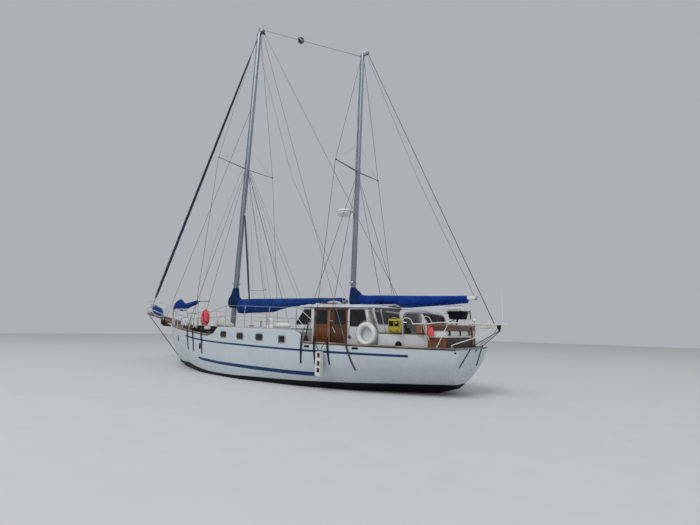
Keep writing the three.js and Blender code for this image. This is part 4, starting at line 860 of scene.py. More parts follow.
def raised_ring(x):
    z, r = raised_top(x), 0.035
    zs = sheerZ(x)
    y = sheerY(x) + 0.0010
    side = [(x, hullY(x, zs - 0.06) + 0.0006, zs - 0.06), (x, y, zs)]
    z = max(z, zs + 0.012)
    r = min(r, (z - zs) * 0.8)
    for j in range(1, 5):
        side.append((x, y, lerp(zs, z - r, j / 4)))
    for j in range(1, 6):
        a = pi / 2 * j / 5
        side.append((x, y - r + r * cos(a), z - r + r * sin(a)))
    for j in range(1, 7):
        f = (y - r) * (1 - j / 7)
        side.append((x, f, z + 0.022 * (1 - (f / y) ** 2)))
    return side + [(x, -a[1], a[2]) for a in reversed(side)]


boolean(hull, [loft([raised_ring(x) for x in RX])], "UNION", 0)


def well(x0, x1, inset, zf, n=60, ztop=2.2):
    rr = []
    for i in range(n + 1):
        x = lerp(x0, x1, i / n)
        y = max(0.03, sheerY(x) - inset)
        rr.append([(x, y, zf(x)), (x, y, ztop), (x, -y, ztop), (x, -y, zf(x))])
    return loft(rr)


def plainbox(x0, x1, y0, y1, z0, z1):
    return bx(x0, x1, y0, y1, z0, z1, b=0)


boolean(hull, [well(0.62, 6.75, 0.06, WELL_DECK), well(-7.02, -3.10, 0.06, lambda x: 1.00),
               plainbox(-6.45, -5.42, -0.45, 0.45, 0.62, 2.2)], "DIFFERENCE", 2)
boolean(hull, [plainbox(-4.95, -2.42, -1.28, 1.28, 0.30, 2.2), plainbox(-5.22, -4.90, -0.37, 0.37, 0.65, 2.2)], "DIFFERENCE", 3)
boolean(hull, [plainbox(3.35, 3.85, -0.25, 0.25, 0.75, 2), plainbox(-1.40, -0.90, -0.25, 0.25, 1.2, 2)], "DIFFERENCE", 2)
finish_mesh(hull.data, 32)
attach(hull, YACHT)
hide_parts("hull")

# deadwood of the long keel, faired into the hull
FIN = [[-2.00, 2.10, -5.10, .13], [-1.85, 2.55, -5.14, .145], [-1.45, 3.45, -5.26, .15], [-1.10, 4.15, -5.37, .15], [-0.75, 4.75, -5.48, .14], [-0.45, 5.20, -5.57, .12]]


def fin_ring(z, grow=0.0):
    le, te, h = (curve_at(FIN, z, k) for k in (1, 2, 3))
    us = [0, .01, .03, .06, .10, .16, .24, .34, .46, .58, .70, .80, .88, .94, .98, 1]
    half = [(te + (le - te) * u, (h + grow) * (0.16 + 0.84 * sin(pi * u) if u < 0.5 else max(0.1, sqrt(max(0, 1 - ((u - 0.5) / 0.5) ** 2.6)))), z) for u in us]
    return half + [(x, -y, z) for x, y, z in reversed(half)]


me_v, me_f = loft([fin_ring(z) for z in np.linspace(-1.449, -0.45, 16)] )
low_v, low_f = loft([fin_ring(z) for z in np.linspace(-2.0, -1.449, 10)])
ap = prism([(-4.97, -1.28), (-5.44, -1.31), (-5.46, -0.65), (-5.00, -0.61)], -0.4, 0.4)
rudX = lambda z: -5.30 - 0.42 * (z + 1.93) / 1.83
ss = prism([(rudX(-1.93) + 0.075, -2.2), (rudX(-1.93) + 0.075, -1.93), (rudX(-0.13) + 0.075, -0.13), (-8, 0.2), (-8, -2.2)], -0.5, 0.5)
dw = Piece("deadwood_keel", BOOT, slot="antifouling").add((me_v, me_f)).done(ride=False)
boolean(dw, [ap, ss])
finish_mesh(dw.data, 40)
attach(dw, YACHT)
shoe = Piece("keel_shoe", BOOT, slot="antifouling").add((low_v, low_f)).done(ride=False)
boolean(shoe, [ss, plainbox(-3.3004, 9, -1, 1, -3, -1.4486)])
finish_mesh(shoe.data, 40)
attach(shoe, YACHT)
refine("ballast_keel", IRON, 0.006)
refine("rudder", BOOT, 0.006)
refine("propeller", BRONZE, 0.002, 35)


# ------------------------------------------------- stripes painted on the side
def side_strip(name, pts, h0, h1, mat, side=1, t=0.0022, n=110, taper=(0.0, 0.0)):
    """Painted band following points x, z with half heights h0 to h1."""
    rows = sorted(pts)
    xa, xb = rows[0][0], rows[-1][0]
    out, inn = [], []
    for i in range(n + 1):
        u = i / n
        x = lerp(xa, xb, u)
        z = curve_at(rows, x)
        h = lerp(h0, h1, u)
        if taper[0] and x - xa < taper[0]:
            h *= max(0.12, (x - xa) / taper[0])
        if taper[1] and xb - x < taper[1]:
            h *= max(0.12, (xb - x) / taper[1])
        ring = []
        for zz, o in ((z - h, -0.004), (z - h, t), (z - h * 0.33, t), (z + h * 0.33, t), (z + h, t), (z + h, -0.004)):
            ring.append((x, side * (hullY(x, zz) + o), zz))
        out.append(ring)
    return Piece(name, mat, slot="gelcoat").add(loft(out)).done(60)


for s, w in ((1, "port"), (-1, "starboard")):
    side_strip("sheer_stripe_" + w, [[-6.198, .975], [-4.8, .986], [-3.25, 1.0015], [-1.6, 1.024], [-.53, 1.0485], [0.3, 1.066], [1.62, 1.118], [3.109, 1.228]], 0.0285, 0.024, STRIPE, s, taper=(0.0, 0.22))
    side_strip("boot_stripe_" + w, [[-3.676, .386], [-2.83, .3845], [-2.0, .392], [-1.27, .402], [-.57, .4165], [.3, .434], [1.1, .469], [1.777, .511]], 0.057, 0.040, STRIPE, s, taper=(0.0, 0.16))

# --------------------------------------------------------------------- decks
def deck_plate(name, mat, x0, x1, half, z0, th=0.008, holes=(), n=60, inner=None, slot="teak", camber=0.0):
    """Deck covering between its inner and outer edges."""
    p = Piece(name, mat, slot=slot)
    for sgn in ((1, -1) if inner else (0,)):
        rr = []
        for i in range(n + 1):
            x = lerp(x0, x1, i / n)
            a, b = (half(x), -half(x)) if not sgn else (sgn * half(x), sgn * inner(x))
            z = z0(x)
            m = 8
            top = [(x, lerp(a, b, j / m), z + th + camber * (1 - (lerp(a, b, j / m) / half(x)) ** 2)) for j in range(m + 1)]
            rr.append([(x, a, z)] + top + [(x, b, z)])
        p.add(loft(rr))
    o = p.done(50, ride=False)
    if holes:
        boolean(o, holes)
        finish_mesh(o.data, 50)
    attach(o, YACHT)
    return o


deck_plate("foredeck_planking", TEAKDK, 0.625, 6.745, lambda x: sheerY(x) - 0.0625, lambda x: WELL_DECK(x) + 0.0003,
           holes=[plainbox(3.30, 3.90, -0.30, 0.30, 0.9, 1.6)])
deck_plate("side_deck_planking", TEAKDK, -5.28, -3.12, lambda x: sheerY(x) - 0.0625, lambda x: 1.0002, inner=lambda x: 1.456)
deck_plate("aft_deck_planking", TEAKDK, -7.015, -5.36, lambda x: sheerY(x) - 0.0625, lambda x: 1.0002,
           holes=[plainbox(-6.46, -5.41, -0.46, 0.46, 0.9, 1.6)])
# non-skid panels on the raised deck
NS = []
zdeck = lambda x, y: RAISED(x) + 0.022 * (1 - (y / (sheerY(x))) ** 2)


def nonskid(name, x0, x1, y0, y1, edge=None):
    p = Piece(name, GRIT, slot="gelcoat")
    rr = []
    n = 14
    for i in range(n + 1):
        x = lerp(x0, x1, i / n)
        ya = y0
        yb = y1 if edge is None else sheerY(x) - edge
        c = 0.03 if i in (0, n) else 0
        ring = []
        for j in range(9):
            y = lerp(ya + c, yb - c, j / 8)
            ring.append((x, y, zdeck(x, y) + 0.0045))
        ring = [(x, ya + c, zdeck(x, ya) - 0.002)] + ring + [(x, yb - c, zdeck(x, yb) - 0.002)]
        rr.append(ring)
    p.add(loft(rr), both=True)
    return p.done(60)


for i, (a, b) in enumerate(((0.44, -0.74), (-0.80, -1.50), (-1.56, -2.12))):
    nonskid("raised_deck_nonskid_%d" % i, a, b, 0.36 if i != 0 else 0.05, 0, edge=0.16)
nonskid("raised_deck_nonskid_side", -2.20, -2.86, 1.50, 0, edge=0.14)

# ----------------------------------------------------------- cap rails (teak)
def board(xs, ymid, z, w=0.11, t=0.035, side=1):
    rr = []
    r = 0.014
    for i, x in enumerate(xs):
        y, zz = ymid(x), z(x)
        a = xs[max(0, i - 1)]
        b = xs[min(len(xs) - 1, i + 1)]
        dy = (ymid(b) - ymid(a)) / (b - a)
        k = 1 / sqrt(1 + dy * dy)
        nx, ny = -dy * k, k
        sec = [(w / 2, r), (w / 2, t - r), (w / 2 - r * .3, t - r * .3), (w / 2 - r, t), (-w / 2 + r, t), (-w / 2 + r * .3, t - r * .3), (-w / 2, t - r), (-w / 2, r), (-w / 2 + r * .6, 0), (w / 2 - r * .6, 0)]
        rr.append([(x + nx * q, side * (y + ny * q), zz + h) for q, h in sec])
    return loft(rr)


p = Piece("cap_rail_forward_teak", TEAK, slot="teak")
xs = list(np.linspace(1.06, 6.98, 90))
for s in (1, -1):
    p.add(board(xs, lambda x: max(0.02, sheerY(x) - 0.03), lambda x: sheerZ(x) + 0.0006, side=s))
nz = sheerZ(7.1) + 0.007
p.add(prism(rounded([(6.86, .24), (7.08, .165), (7.25, .05), (7.25, -.05), (7.08, -.165), (6.86, -.24), (6.80, 0)], 0.04, 4), nz, nz + 0.035, "xy", 0.006))
p.done(50, replaces=("cap_rail_forward",))
TEAKG = wood("weathered_teak_grey", (0.12, 0.105, 0.095), (0.21, 0.19, 0.175), (0.30, 0.28, 0.26), (1.4, 30, 30), (0.5, 0.75), worn=0.5)
p = Piece("cap_rail_aft_teak", [TEAK, TEAKG], slot="teak")
xs = list(np.linspace(-7.24, -3.34, 70))
for s in (1, -1):
    p.add(board(xs, lambda x: max(0.02, sheerY(x) - 0.03), lambda x: sheerZ(x) + 0.0006, side=s))
yq = sheerY(-7.22) + 0.02
p.add(prism(rounded([(-7.20, yq), (-7.29, yq - .03), (-7.33, yq * .5), (-7.345, 0), (-7.33, -yq * .5), (-7.29, -yq + .03), (-7.20, -yq), (-7.17, 0)], 0.02, 3), sheerZ(-7.2) + 0.003, sheerZ(-7.2) + 0.038, "xy", 0.006))
o = p.done(50, replaces=("cap_rail_aft",))
for f in o.data.polygons:
    f.material_index = 1 if sum(o.data.vertices[v].co.x for v in f.vertices) / len(f.vertices) < -6.75 else 0
# boards inside the bulwark, coloured near black as painted shade, with a near-black fillet under the cap rail outside
# as the rail's painted shadow
p = Piece("bulwark_boards", BULWARK_SHADE, slot="teak")
for xa, xb, zd in ((0.70, 6.70, WELL_DECK), (-7.00, -3.36, lambda x: 1.00)):
    rr = []
    for x in np.linspace(xa, xb, 60):
        y = sheerY(x) - 0.0605
        rr.append([(x, y, zd(x) + 0.012), (x, y, sheerZ(x) - 0.0005), (x, y - 0.010, sheerZ(x) - 0.0005), (x, y - 0.012, zd(x) + 0.012)])
    p.add(loft(rr), both=True)
for xa, xb in ((1.08, 6.90), (-7.20, -3.36)):
    p.add(tube([(x, sheerY(x) + 0.004, sheerZ(x) - 0.011) for x in np.linspace(xa, xb, 60)], 0.009, 6, flat=(0.7, 1.3)), both=True)
p.done(50)
# hawse openings and deck-edge slots
p = Piece("hawse_openings", [STEEL, BLACKP], slot="stainless")
for x, z, w, h in ((3.92, 1.09, 0.052, 0.100), (1.60, 0.905, 0.068, 0.100), (-3.475, 1.11, 0.090, 0.027), (-4.93, 1.115, 0.085, 0.026)):
    for s in (1, -1):
        # follows the topsides: the plate leans with the hull
        ya, yb = hullY(x, z - h), hullY(x, z + h)
        k = (yb - ya) / (2 * h)
        o = rounded([(x - w, z - h), (x + w, z - h), (x + w, z + h), (x - w, z + h)], min(w, h) * 0.85, 4)
        # the openings are flat black plates on the topsides: painted shade standing in for the holes
        for (vf, m) in ((prism(o, -0.006, 0.002, "xz", 0.0008), 1), (ringframe(poly_offset(o, 0.005), 0.005, -0.004, 0.0085, lip=0.0015), 1 if x > 3 else 0)):
            V, Fc = vf
            p.add(([(v[0], s * (hullY(v[0], z) + k * (v[2] - z) + v[1]), v[2]) for v in V], Fc), m)
p.done()

# portlights in the raised deck's side: frame, glass, screws
for s, w in ((1, "port"), (-1, "starboard")):
    p = Piece("portlights_" + w, [STEEL, DGLASS, RUBBER], slot="stainless")
    for x, z in ((0.17, 1.335), (-0.70, 1.305), (-1.60, 1.298), (-2.52, 1.268)):
        y = s * (sheerY(x) + 0.0012)
        hw, hh = 0.150, 0.088
        o = rounded([(x - hw, z - hh), (x + hw, z - hh), (x + hw, z + hh), (x - hw, z + hh)], 0.035, 5)
        p.add(prism(o, y - 0.004 * s, y + 0.004 * s, "xz", 0.0015), 1)
        p.add(ringframe(poly_offset(o, 0.020), 0.018, y - s * 0.003, y + s * 0.011), 0)
        p.add(ringframe(poly_offset(o, 0.024), 0.005, y - s * 0.003, y + s * 0.005, lip=0.001), 2)
        for k in range(8):
            a = 2 * pi * (k + 0.5) / 8
            cx, cz = x + (hw + 0.004) * max(-1, min(1, 1.35 * cos(a))), z + (hh + 0.004) * max(-1, min(1, 1.35 * sin(a)))
            p.add(lathe([(0.0045, 0), (0.0045, 0.002), (0.002, 0.0032)], (cx, y + s * 0.010, cz), (0, s, 0), 8), 0)
    p.done()

# ================================================================ PILOTHOUSE
FRONT_LIGHT = [(-2.73, 2.125), (-3.02, 2.125), (-3.02, 1.695), (-2.375, 1.695)]
AFT_LIGHT = [(-4.455, 2.105), (-4.935, 2.105), (-5.045, 1.66), (-4.45, 1.66)]
for n in ("pilothouse_side_port", "pilothouse_side_starboard", "pilothouse_front", "pilothouse_back"):
    refine(n, HOUSE, 0.004)
refine("pilothouse_roof", HOUSE, 0.008, 30, 3)
for s, w in ((1, "port"), (-1, "starboard")):
    p = Piece("side_window_frames_" + w, [ALLOY, GLASS, RUBBER, HOUSE], slot="mast_alloy")
    for o in (FRONT_LIGHT, AFT_LIGHT):
        ro = rounded(poly_offset(o, -0.004), 0.04, 5)
        p.add(prism(ro, s * 1.412, s * 1.418, "xz"), 1)
        p.add(ringframe(rounded(poly_offset(o, 0.010), 0.040, 5), 0.018, s * 1.430, s * 1.4560), 0)
        p.add(ringframe(rounded(poly_offset(o, -0.004), 0.04, 5), 0.014, s * 1.404, s * 1.429), 2)
    for (xa, za), (xb, zb) in (((-2.452, 1.892), (-2.714, 1.675)), ((-2.672, 2.073), (-3.028, 1.849))):
        p.add(tube([(xa, s * 1.462, za), (xb, s * 1.462, zb)], 0.011, 8, flat=(0.5, 1.0)), 3)
    p.done()
    p = Piece("door_frame_" + w, [VARN_SHADED, VARN, STEEL, HOUSE], slot="varnished_teak")
    y0, y1 = s * 1.4503, s * 1.470
    p.add(bx(-3.150, -3.095, y0, s * 1.478, 1.02, 2.160, 0.006), 3)
    p.add(bx(-4.375, -4.33, y0, y1, 1.02, 2.160, 0.004), 1)
    # head and sill take the darker teak copy as painted shade
    p.add(bx(-4.40, -3.08, y0, s * 1.476, 2.118, 2.158, 0.004), 0)
    p.add(bx(-4.40, -3.08, y0, s * 1.490, 1.018, 1.058, 0.005), 0)
    for yy in (1.4475, 1.4147, 1.3806):
        p.add(bx(-4.32, -3.16, s * yy, s * (yy + 0.0024), 1.0605, 1.072, 0.0008), 2)
    # grab rail beside the door
    for x in (-4.45,):
        p.add(tube([(x, s * 1.451, 1.35), (x, s * 1.500, 1.37), (x, s * 1.505, 1.50), (x, s * 1.500, 1.62), (x, s * 1.451, 1.64)], 0.011, 10, smooth=5), 2)
    p.done()


def door_leaf(name, xa, xb, y0, y1, s):
    """Frame and panel door: stiles, rails, vertical boards below and glass above."""
    x0, x1 = min(xa, xb), max(xa, xb)
    za, zb = 1.0662, 2.1088
    aft = name.endswith("aft")
    a, b = (-4.280, -3.875) if aft else (-3.655, -3.213)
    ya, yb = s * y0, s * y1
    p = Piece(name + "_joinery", [VARN, VARNH, GLASS, RUBBER, STEEL, VARN_SHADED, VARNL, PLASTIC, TEAK_DEEP_SHADE], body=name, slot="varnished_teak")
    # the after leaf takes the darker teak copy as painted shade; the top rail (index 8) is near black as painted shade
    # under the roof overhang
    st, pan, fs = (5, 5, 5) if aft else (6, 0, 1)
    p.add(bx(x0, a + 0.0005, ya, yb, za, zb, 0.003), st).add(bx(b - 0.0005, x1, ya, yb, za, zb, 0.003), fs)
    p.add(bx(a, b, ya, yb, 2.078, zb, 0.003), 8).add(bx(a, b, ya, yb, 1.632, 1.699, 0.003), 5 if aft else 0).add(bx(a, b, ya, yb, za, za + 0.085, 0.003), 1)
    n = 7 if aft else 1
    for k in range(n):
        xl, xr = lerp(a, b, k / n) + 0.0008, lerp(a, b, (k + 1) / n) - 0.0008
        p.add(bx(xl, xr, ya + s * 0.006, yb - s * 0.009, za + 0.084, 1.633, 0.0032), pan)
    if not aft:        # raised field with a moulded edge
        o = [(a + .035, za + .125), (b - .035, za + .125), (b - .035, 1.600), (a + .035, 1.600)]
        p.add(prism(o, yb - s * 0.010, yb - s * 0.005, "xz", 0.002), 0)
        p.add(ringframe(o, 0.012, yb - s * 0.009, yb - s * 0.002, lip=0.003), 6)
    win = [(a + 0.002, 1.701), (b - 0.002, 1.701), (b - 0.002, 2.074), (a + 0.002, 2.074)]
    p.add(prism(win, ya + s * 0.011, ya + s * 0.016, "xz"), 2)
    for lo, hi in ((ya + s * 0.004, ya + s * 0.0105), (ya + s * 0.0165, yb - s * 0.003)):
        p.add(ringframe(win, 0.008, lo, hi, lip=0.002), 1)
    hx = x1 - 0.030 if aft else x0 + 0.030
    p.add(bx(hx - 0.010, hx + 0.010, yb - s * 0.002, yb + s * 0.0007, 1.50, 1.62, 0.0005), 4)
    if aft:
        p.add(prism([(hx - 0.046, 1.642), (hx - 0.068, 1.636), (hx - 0.164, 1.480), (hx - 0.142, 1.472)], yb - s * 0.003, yb + s * 0.0008, "xz", 0.0004), 7)
    return p.done(replaces=(name,))


for s, w in ((1, "port"), (-1, "starboard")):
    door_leaf("door_%s_forward" % w, -3.158, -3.755, 1.418, 1.446, s)
    door_leaf("door_%s_aft" % w, -3.725, -4.322, 1.384, 1.412, s)

# windscreen panes with their frames, in the raked plane of the front
zFq = under(-2.70) - 0.0004
hF = sqrt((slope(zFq) - slope(1.59)) ** 2 + (zFq - 1.59) ** 2) + 0.05
aF = math.atan2(slope(1.59) - slope(zFq), zFq - 1.59)
yiF = 1.45 - 0.07 - 0.0004


def onfront(vf):
    V, Fc = vf
    return [(slope(1.59) + v[0] * cos(aF) - v[2] * sin(aF), v[1], 1.59 + v[0] * sin(aF) + v[2] * cos(aF)) for v in V], Fc


p = Piece("windscreen_glazing", [ALLOY, GLASS, RUBBER, BLACKP], slot="mast_alloy")
for a, b in ((-yiF + 0.10, -0.50), (-0.42, 0.42), (0.50, yiF - 0.10)):
    o = [(a, 0.12), (b, 0.12), (b, hF - 0.12), (a, hF - 0.12)]
    p.add(onfront(prism(rounded(poly_offset(o, -0.003), 0.04, 5), -0.028, -0.022, "yz")), 1)
    p.add(onfront(ringframe(rounded(poly_offset(o, 0.012), 0.045, 5), 0.030, -0.010, 0.008, "yz")), 0)
    p.add(onfront(ringframe(rounded(poly_offset(o, -0.003), 0.04, 5), 0.014, -0.045, -0.011, "yz")), 2)
for y in (-0.95, 0.0, 0.95):
    p.add(onfront(tube([(0.012, y, 0.10), (0.030, y, 0.11), (0.020, y + 0.16, 0.42)], 0.006, 8, smooth=3)), 3)
    p.add(onfront(bx(0.010, 0.020, y + 0.06, y + 0.26, 0.40, 0.412, 0.002)), 3)
    p.add(onfront(lathe([(0.018, 0), (0.018, 0.012), (0.010, 0.020)], (0.004, y, 0.10), (1, 0, 0), 14)), 3)
p.done()

# companion door in the after bulkhead: panelled leaf
kB = 0.30 / 1.17


def onback(vf, off=0.041):
    V, Fc = vf
    return [(v[0] + backX(0) + off + kB * v[2], v[1], v[2]) for v in V], Fc


p = Piece("companion_door_leaf", [VARN, VARNY, GLASS, STEEL], body="companion_door", slot="varnished_teak")
for a, b in ((-0.2995, -0.225), (0.225, 0.2995)):
    p.add(onback(bx(-0.028, 0, a, b, 1.0775, 2.0215, 0.003)), 0)
for a, b in ((1.0775, 1.17), (1.52, 1.585), (1.95, 2.0215)):
    p.add(onback(bx(-0.028, 0, -0.2255, 0.2255, a, b, 0.003)), 1)
for k in range(6):
    p.add(onback(bx(-0.021, -0.006, -0.225 + 0.075 * k + 0.0008, -0.225 + 0.075 * (k + 1) - 0.0008, 1.169, 1.521, 0.003)), 0)
p.add(onback(prism([(-0.2245, 1.5855), (0.2245, 1.5855), (0.2245, 1.9495), (-0.2245, 1.9495)], -0.016, -0.010, "yz")), 2)
p.add(onback(lathe([(0.011, 0), (0.011, 0.004), (0.007, 0.006)], (-0.028, 0.262, 1.55), (-1, 0, 0), 14)), 3)
p.done(replaces=("companion_door",))
p = Piece("companion_frame", [VARN, VARNY], slot="varnished_teak")
for a, b in ((-0.352, -0.3125), (0.3125, 0.352)):
    p.add(onback(bx(-0.0535 + 0.0, -0.0385, a, b, 1.03, 2.07, 0.003), 0.041), 0)
p.add(onback(bx(-0.0535, -0.0385, -0.352, 0.352, 2.0325, 2.07, 0.003), 0.041), 1)
p.done()

# roof edge moulding and upper skin
zr = lambda x, y: under(x) + 0.0655 + 0.024 * (1 - (y / 1.50) ** 2)
p = Piece("roof_upper_skin", [HOUSE, GRIT], slot="gelcoat")
for s in (1, -1):
    rr = []
    for x in (-2.69, -2.70, -2.72, -4.70, -4.72, -4.73):
        e = 0.0 if -4.71 < x < -2.71 else (0.016 if x in (-2.70, -4.72) else 0.030)
        ring = [(x, s * 0.455, zr(x, .455) - .002)]
        for j in range(9):
            y = lerp(0.455, 1.36, j / 8)
            ee = 0.012 if j in (0, 8) else 0
            ring.append((x, s * y, zr(x, y) + 0.036 - max(e, ee)))
        ring.append((x, s * 1.36, zr(x, 1.36) - .002))
        rr.append(ring)
    p.add(loft(rr), 0)
p.done(30)
p = Piece("roof_drip_moulding", [HOUSE, RUBBER], slot="gelcoat")
for s in (1, -1):
    p.add(tube([(x, s * 1.502, under(x) + 0.034) for x in np.linspace(-2.60, -5.04, 24)], 0.012, 12, flat=(0.7, 1.6)), 0)
    p.add(tube([(x, s * 1.503, under(x) + 0.008) for x in np.linspace(-2.62, -5.02, 24)], 0.005, 8), 1)
p.done()

# sliding hatch: teak boards with a ledge handle, on its runners
p = Piece("sliding_hatch_boards", [TEAK, TEAKDK], body="sliding_hatch", slot="varnished_teak")
zc = lambda x: 2.185 + 0.022 * (x + 2.6)
for k in range(8):
    a, b = -0.333 + 0.666 * k / 8, -0.333 + 0.666 * (k + 1) / 8
    o = [(-4.966, zc(-4.966) + .099), (-4.332, zc(-4.332) + .099), (-4.332, zc(-4.332) + .122), (-4.966, zc(-4.966) + .122)]
    p.add(prism(o, a + 0.001, b - 0.001, "xz", 0.003), 0)
for x in (-4.94, -4.38):
    p.add(bx(x - 0.016, x + 0.016, -0.332, 0.332, zc(x) + .096, zc(x) + (.134 if x < -4.9 else .125), 0.004), 1)
p.done(replaces=("sliding_hatch",))

# ------------------------------------------------------- inside the pilothouse
refine("settee", VARNH, 0.008)
refine("helm_console", VARNY, 0.010)
refine("mast_post", ALLOY, 0)
p = Piece("cabin_sole_boards", TEAKDK, slot="teak")
p.add(bx(-4.948, -2.422, -1.278, 1.278, 0.3003, 0.3120, 0.002))
p.done()
p = Piece("cabin_linings", [VARNH, OAK, HOUSE], slot="varnished_teak")
for s in (1, -1):
    p.add(bx(-4.94, -2.43, s * 1.268, s * 1.2795, 0.32, 0.99, 0.002), 0)
    for k in range(9):
        x = -4.90 + 0.30 * k
        p.add(bx(x, x + 0.012, s * 1.262, s * 1.2695, 0.34, 0.97, 0.002), 1)
p.add(bx(-4.60, -4.20, 1.10, 1.265, 0.32, 0.93, 0.006), 0).add(bx(-3.20, -2.90, 0.70, 1.265, 0.32, 1.05, 0.006), 0)
p.done()


def cushion(name, lo, hi, mat, body=YACHT, nx=16, ny=12, crown=0.35, r=0.05, channels=0, slot="yellow_cloth"):
    """Crowned cushion with pulled-in sides, piping and optional sewn channels."""
    lo, hi = Vector(lo), Vector(hi)
    c, h = (lo + hi) / 2, (hi - lo) / 2
    P = []
    p = Piece(name, [mat], body=body, slot=slot)
    rr = []
    m = 10
    for i in range(nx + 1):
        u = -1 + 2 * i / nx
        ex = sqrt(max(0, 1 - abs(u) ** 6))
        ring = []
        for j in range(2 * ny):
            t = 2 * pi * j / (2 * ny)
            cy, sz = cos(t), sin(t)
            y = math.copysign(abs(cy) ** 0.35, cy)
            z = math.copysign(abs(sz) ** 0.45, sz)
            pull = 1 - 0.035 * (1 - abs(u) ** 2) if abs(y) > 0.8 else 1
            zz = z * (0.72 + 0.28 * ex * (1 - 0.35 * y * y))
            if channels:
                zz *= 1 - 0.16 * max(0, cos(2 * pi * channels * (u + 1) / 2) ** 12) * (1 if z > 0 else 0)
            n = noise.noise(Vector((u * 2.3, y * 2.1, z)) + c * 3) * 0.05
            ring.append((c.x + h.x * (u * (1 - 0.02 * abs(y) ** 4)), c.y + h.y * y * pull * max(0.86, ex), c.z + h.z * (zz + n * abs(z)) * max(0.55, ex)))
        rr.append(ring)
    p.add(loft(rr))
    for zz in (0.55, -0.55):
        loop = []
        for k in range(40):
            a = 2 * pi * k / 40
            loop.append((c.x + h.x * math.copysign(abs(cos(a)) ** 0.28, cos(a)) * 0.985, c.y + h.y * math.copysign(abs(sin(a)) ** 0.28, sin(a)) * 0.975, c.z + h.z * zz))
        p.add(tube(loop, 0.0055, 6, closed=True))
    o = p.done(55)
    return o


cushion("settee_cushion", (-4.91, -1.25, 0.7605), (-3.97, -0.63, 0.86), CREAM, channels=3)
cushion("settee_back_cushion", (-4.945, -1.24, 0.865), (-4.83, -0.64, 1.32), CREAM)
# helm console: instruments and steering wheel
p = Piece("console_instruments", [BLACKP, DGLASS, STEEL, LED], slot="dark_canvas")
for y, w, z in ((-0.95, 0.11, 1.445), (-0.68, 0.07, 1.44), (-0.20, 0.09, 1.44), (0.20, 0.12, 1.45)):
    p.add(bx(-2.70, -2.62, y - w, y + w, z - 0.022, z + 0.13, 0.008), 0)
    p.add(bx(-2.706, -2.699, y - w + 0.012, y + w - 0.012, z - 0.008, z + 0.115, 0.002), 1)
for k in range(7):
    p.add(lathe([(0.012, 0), (0.012, 0.008), (0.006, 0.014)], (-2.861, 0.02 + 0.06 * k, 1.28), (-1, 0, 0), 12), 2)
for k, y in enumerate((-0.68, -0.50, -0.32)):
    p.add(lathe([(0.042, 0), (0.042, 0.010), (0.036, 0.012), (0.036, 0.006), (0.001, 0.006)], (-3.0205, y, 1.30 - 0.0), (-1, 0, 0), 24), 0)
p.done()


def wheel_piece(name, body, c, r, rim, spokes, mats, handles=False, node=None):
    p = Piece(name, mats, body=body, slot="varnished_teak" if handles else "stainless")
    n = 56
    p.add(tube([(c[0], c[1] + r * sin(2 * pi * k / n), c[2] + r * cos(2 * pi * k / n)) for k in range(n)], rim, 12, closed=True), 0)
    p.add(lathe([(0.012, -0.045), (0.034, -0.040), (0.036, 0.0), (0.034, 0.038), (0.020, 0.046), (0.012, 0.05)], c, (1, 0, 0), 28), 1)
    for k in range(spokes):
        a = 2 * pi * k / spokes
        d = Vector((0, sin(a), cos(a)))
        o = Vector(c)
        if handles:
            prof = [(0.012, 0.02), (0.014, r * .22), (0.009, r * .3), (0.013, r * .45), (0.010, r * .6), (0.014, r * .8), (0.010, r - rim)]
            p.add(lathe(prof, o, d, 12), 0)
        else:
            p.add(tube([o + d * 0.02, o + d * (r - rim * 0.3)], 0.007, 10), 1)
    return p.done(50, replaces=(node or body,))


wheel_piece("steering_wheel_spoked", "steering_wheel", (-3.09, -0.50, 1.20), 0.262, 0.0155, 6, [VARNY, BRONZE], handles=True, node="steering_wheel")
wheel_piece("cockpit_wheel_ring", "cockpit_wheel", (-5.98, 0, 1.42), 0.329, 0.0125, 6, [STEEL, STEEL], node="cockpit_wheel")
refine("helm_pedestal", HOUSE, 0.006, 35)
p = Piece("pedestal_compass", [BLACKP, GLASS, STEEL], slot="white_plastic")
p.add(lathe([(0.070, 0), (0.074, 0.010), (0.066, 0.020), (0.001, 0.020)], (-5.85, 0, 1.6405), (0, 0, 1), 28), 0)
p.add(lathe([(0.060, 0), (0.058, 0.020), (0.046, 0.042), (0.025, 0.056), (0.003, 0.060)], (-5.85, 0, 1.6605), (0, 0, 1), 28), 1)
p.add(tube([(-5.82, -0.13, 1.45), (-5.82, -0.13, 1.70), (-5.82, -0.08, 1.735), (-5.82, 0.08, 1.735), (-5.82, 0.13, 1.70), (-5.82, 0.13, 1.45)], 0.010, 10, smooth=4), 2)
p.done()

# ============================================================ COCKPIT, DODGER
refine("cockpit_coaming", HOUSE, 0.012, 30, 3)
p = Piece("coaming_cap", VARNH, slot="varnished_teak")
for s in (1, -1):
    xs_ = np.linspace(-6.48, -5.40, 24)
    p.add(loft([[(x, s * (coamY(x) - 0.008), 1.5003), (x, s * (coamY(x) - 0.012), 1.517), (x, s * (coamY(x) - 0.022), 1.522),
                 (x, s * (coamY(x) - 0.118), 1.522), (x, s * (coamY(x) - 0.128), 1.517), (x, s * (coamY(x) - 0.132), 1.5003)] for x in xs_]))
p.done()
p = Piece("cockpit_sole_grating", TEAK, slot="teak")
for k in range(15):
    x = -6.42 + 0.0685 * k
    p.add(bx(x - 0.012, x + 0.012, -0.43, 0.43, 0.634, 0.650, 0.002))
for k in range(11):
    y = -0.42 + 0.084 * k
    p.add(bx(-6.44, -5.44, y - 0.011, y + 0.011, 0.6205, 0.6345, 0.002))
p.done()
p = Piece("cockpit_seats", [TEAKDK, HOUSE], slot="teak")
for s in (1, -1):
    rr = []
    for x in np.linspace(-6.40, -5.42, 16):
        yo = coamY(x) - 0.137
        rr.append([(x, s * 0.47, 1.3), (x, s * yo, 1.3), (x, s * yo, 1.328), (x, s * 0.46, 1.328)])
    p.add(loft(rr), 0)
    p.add(bx(-6.40, -5.42, s * 0.475, s * 0.50, 1.008, 1.301, 0.004), 1)
p.done()
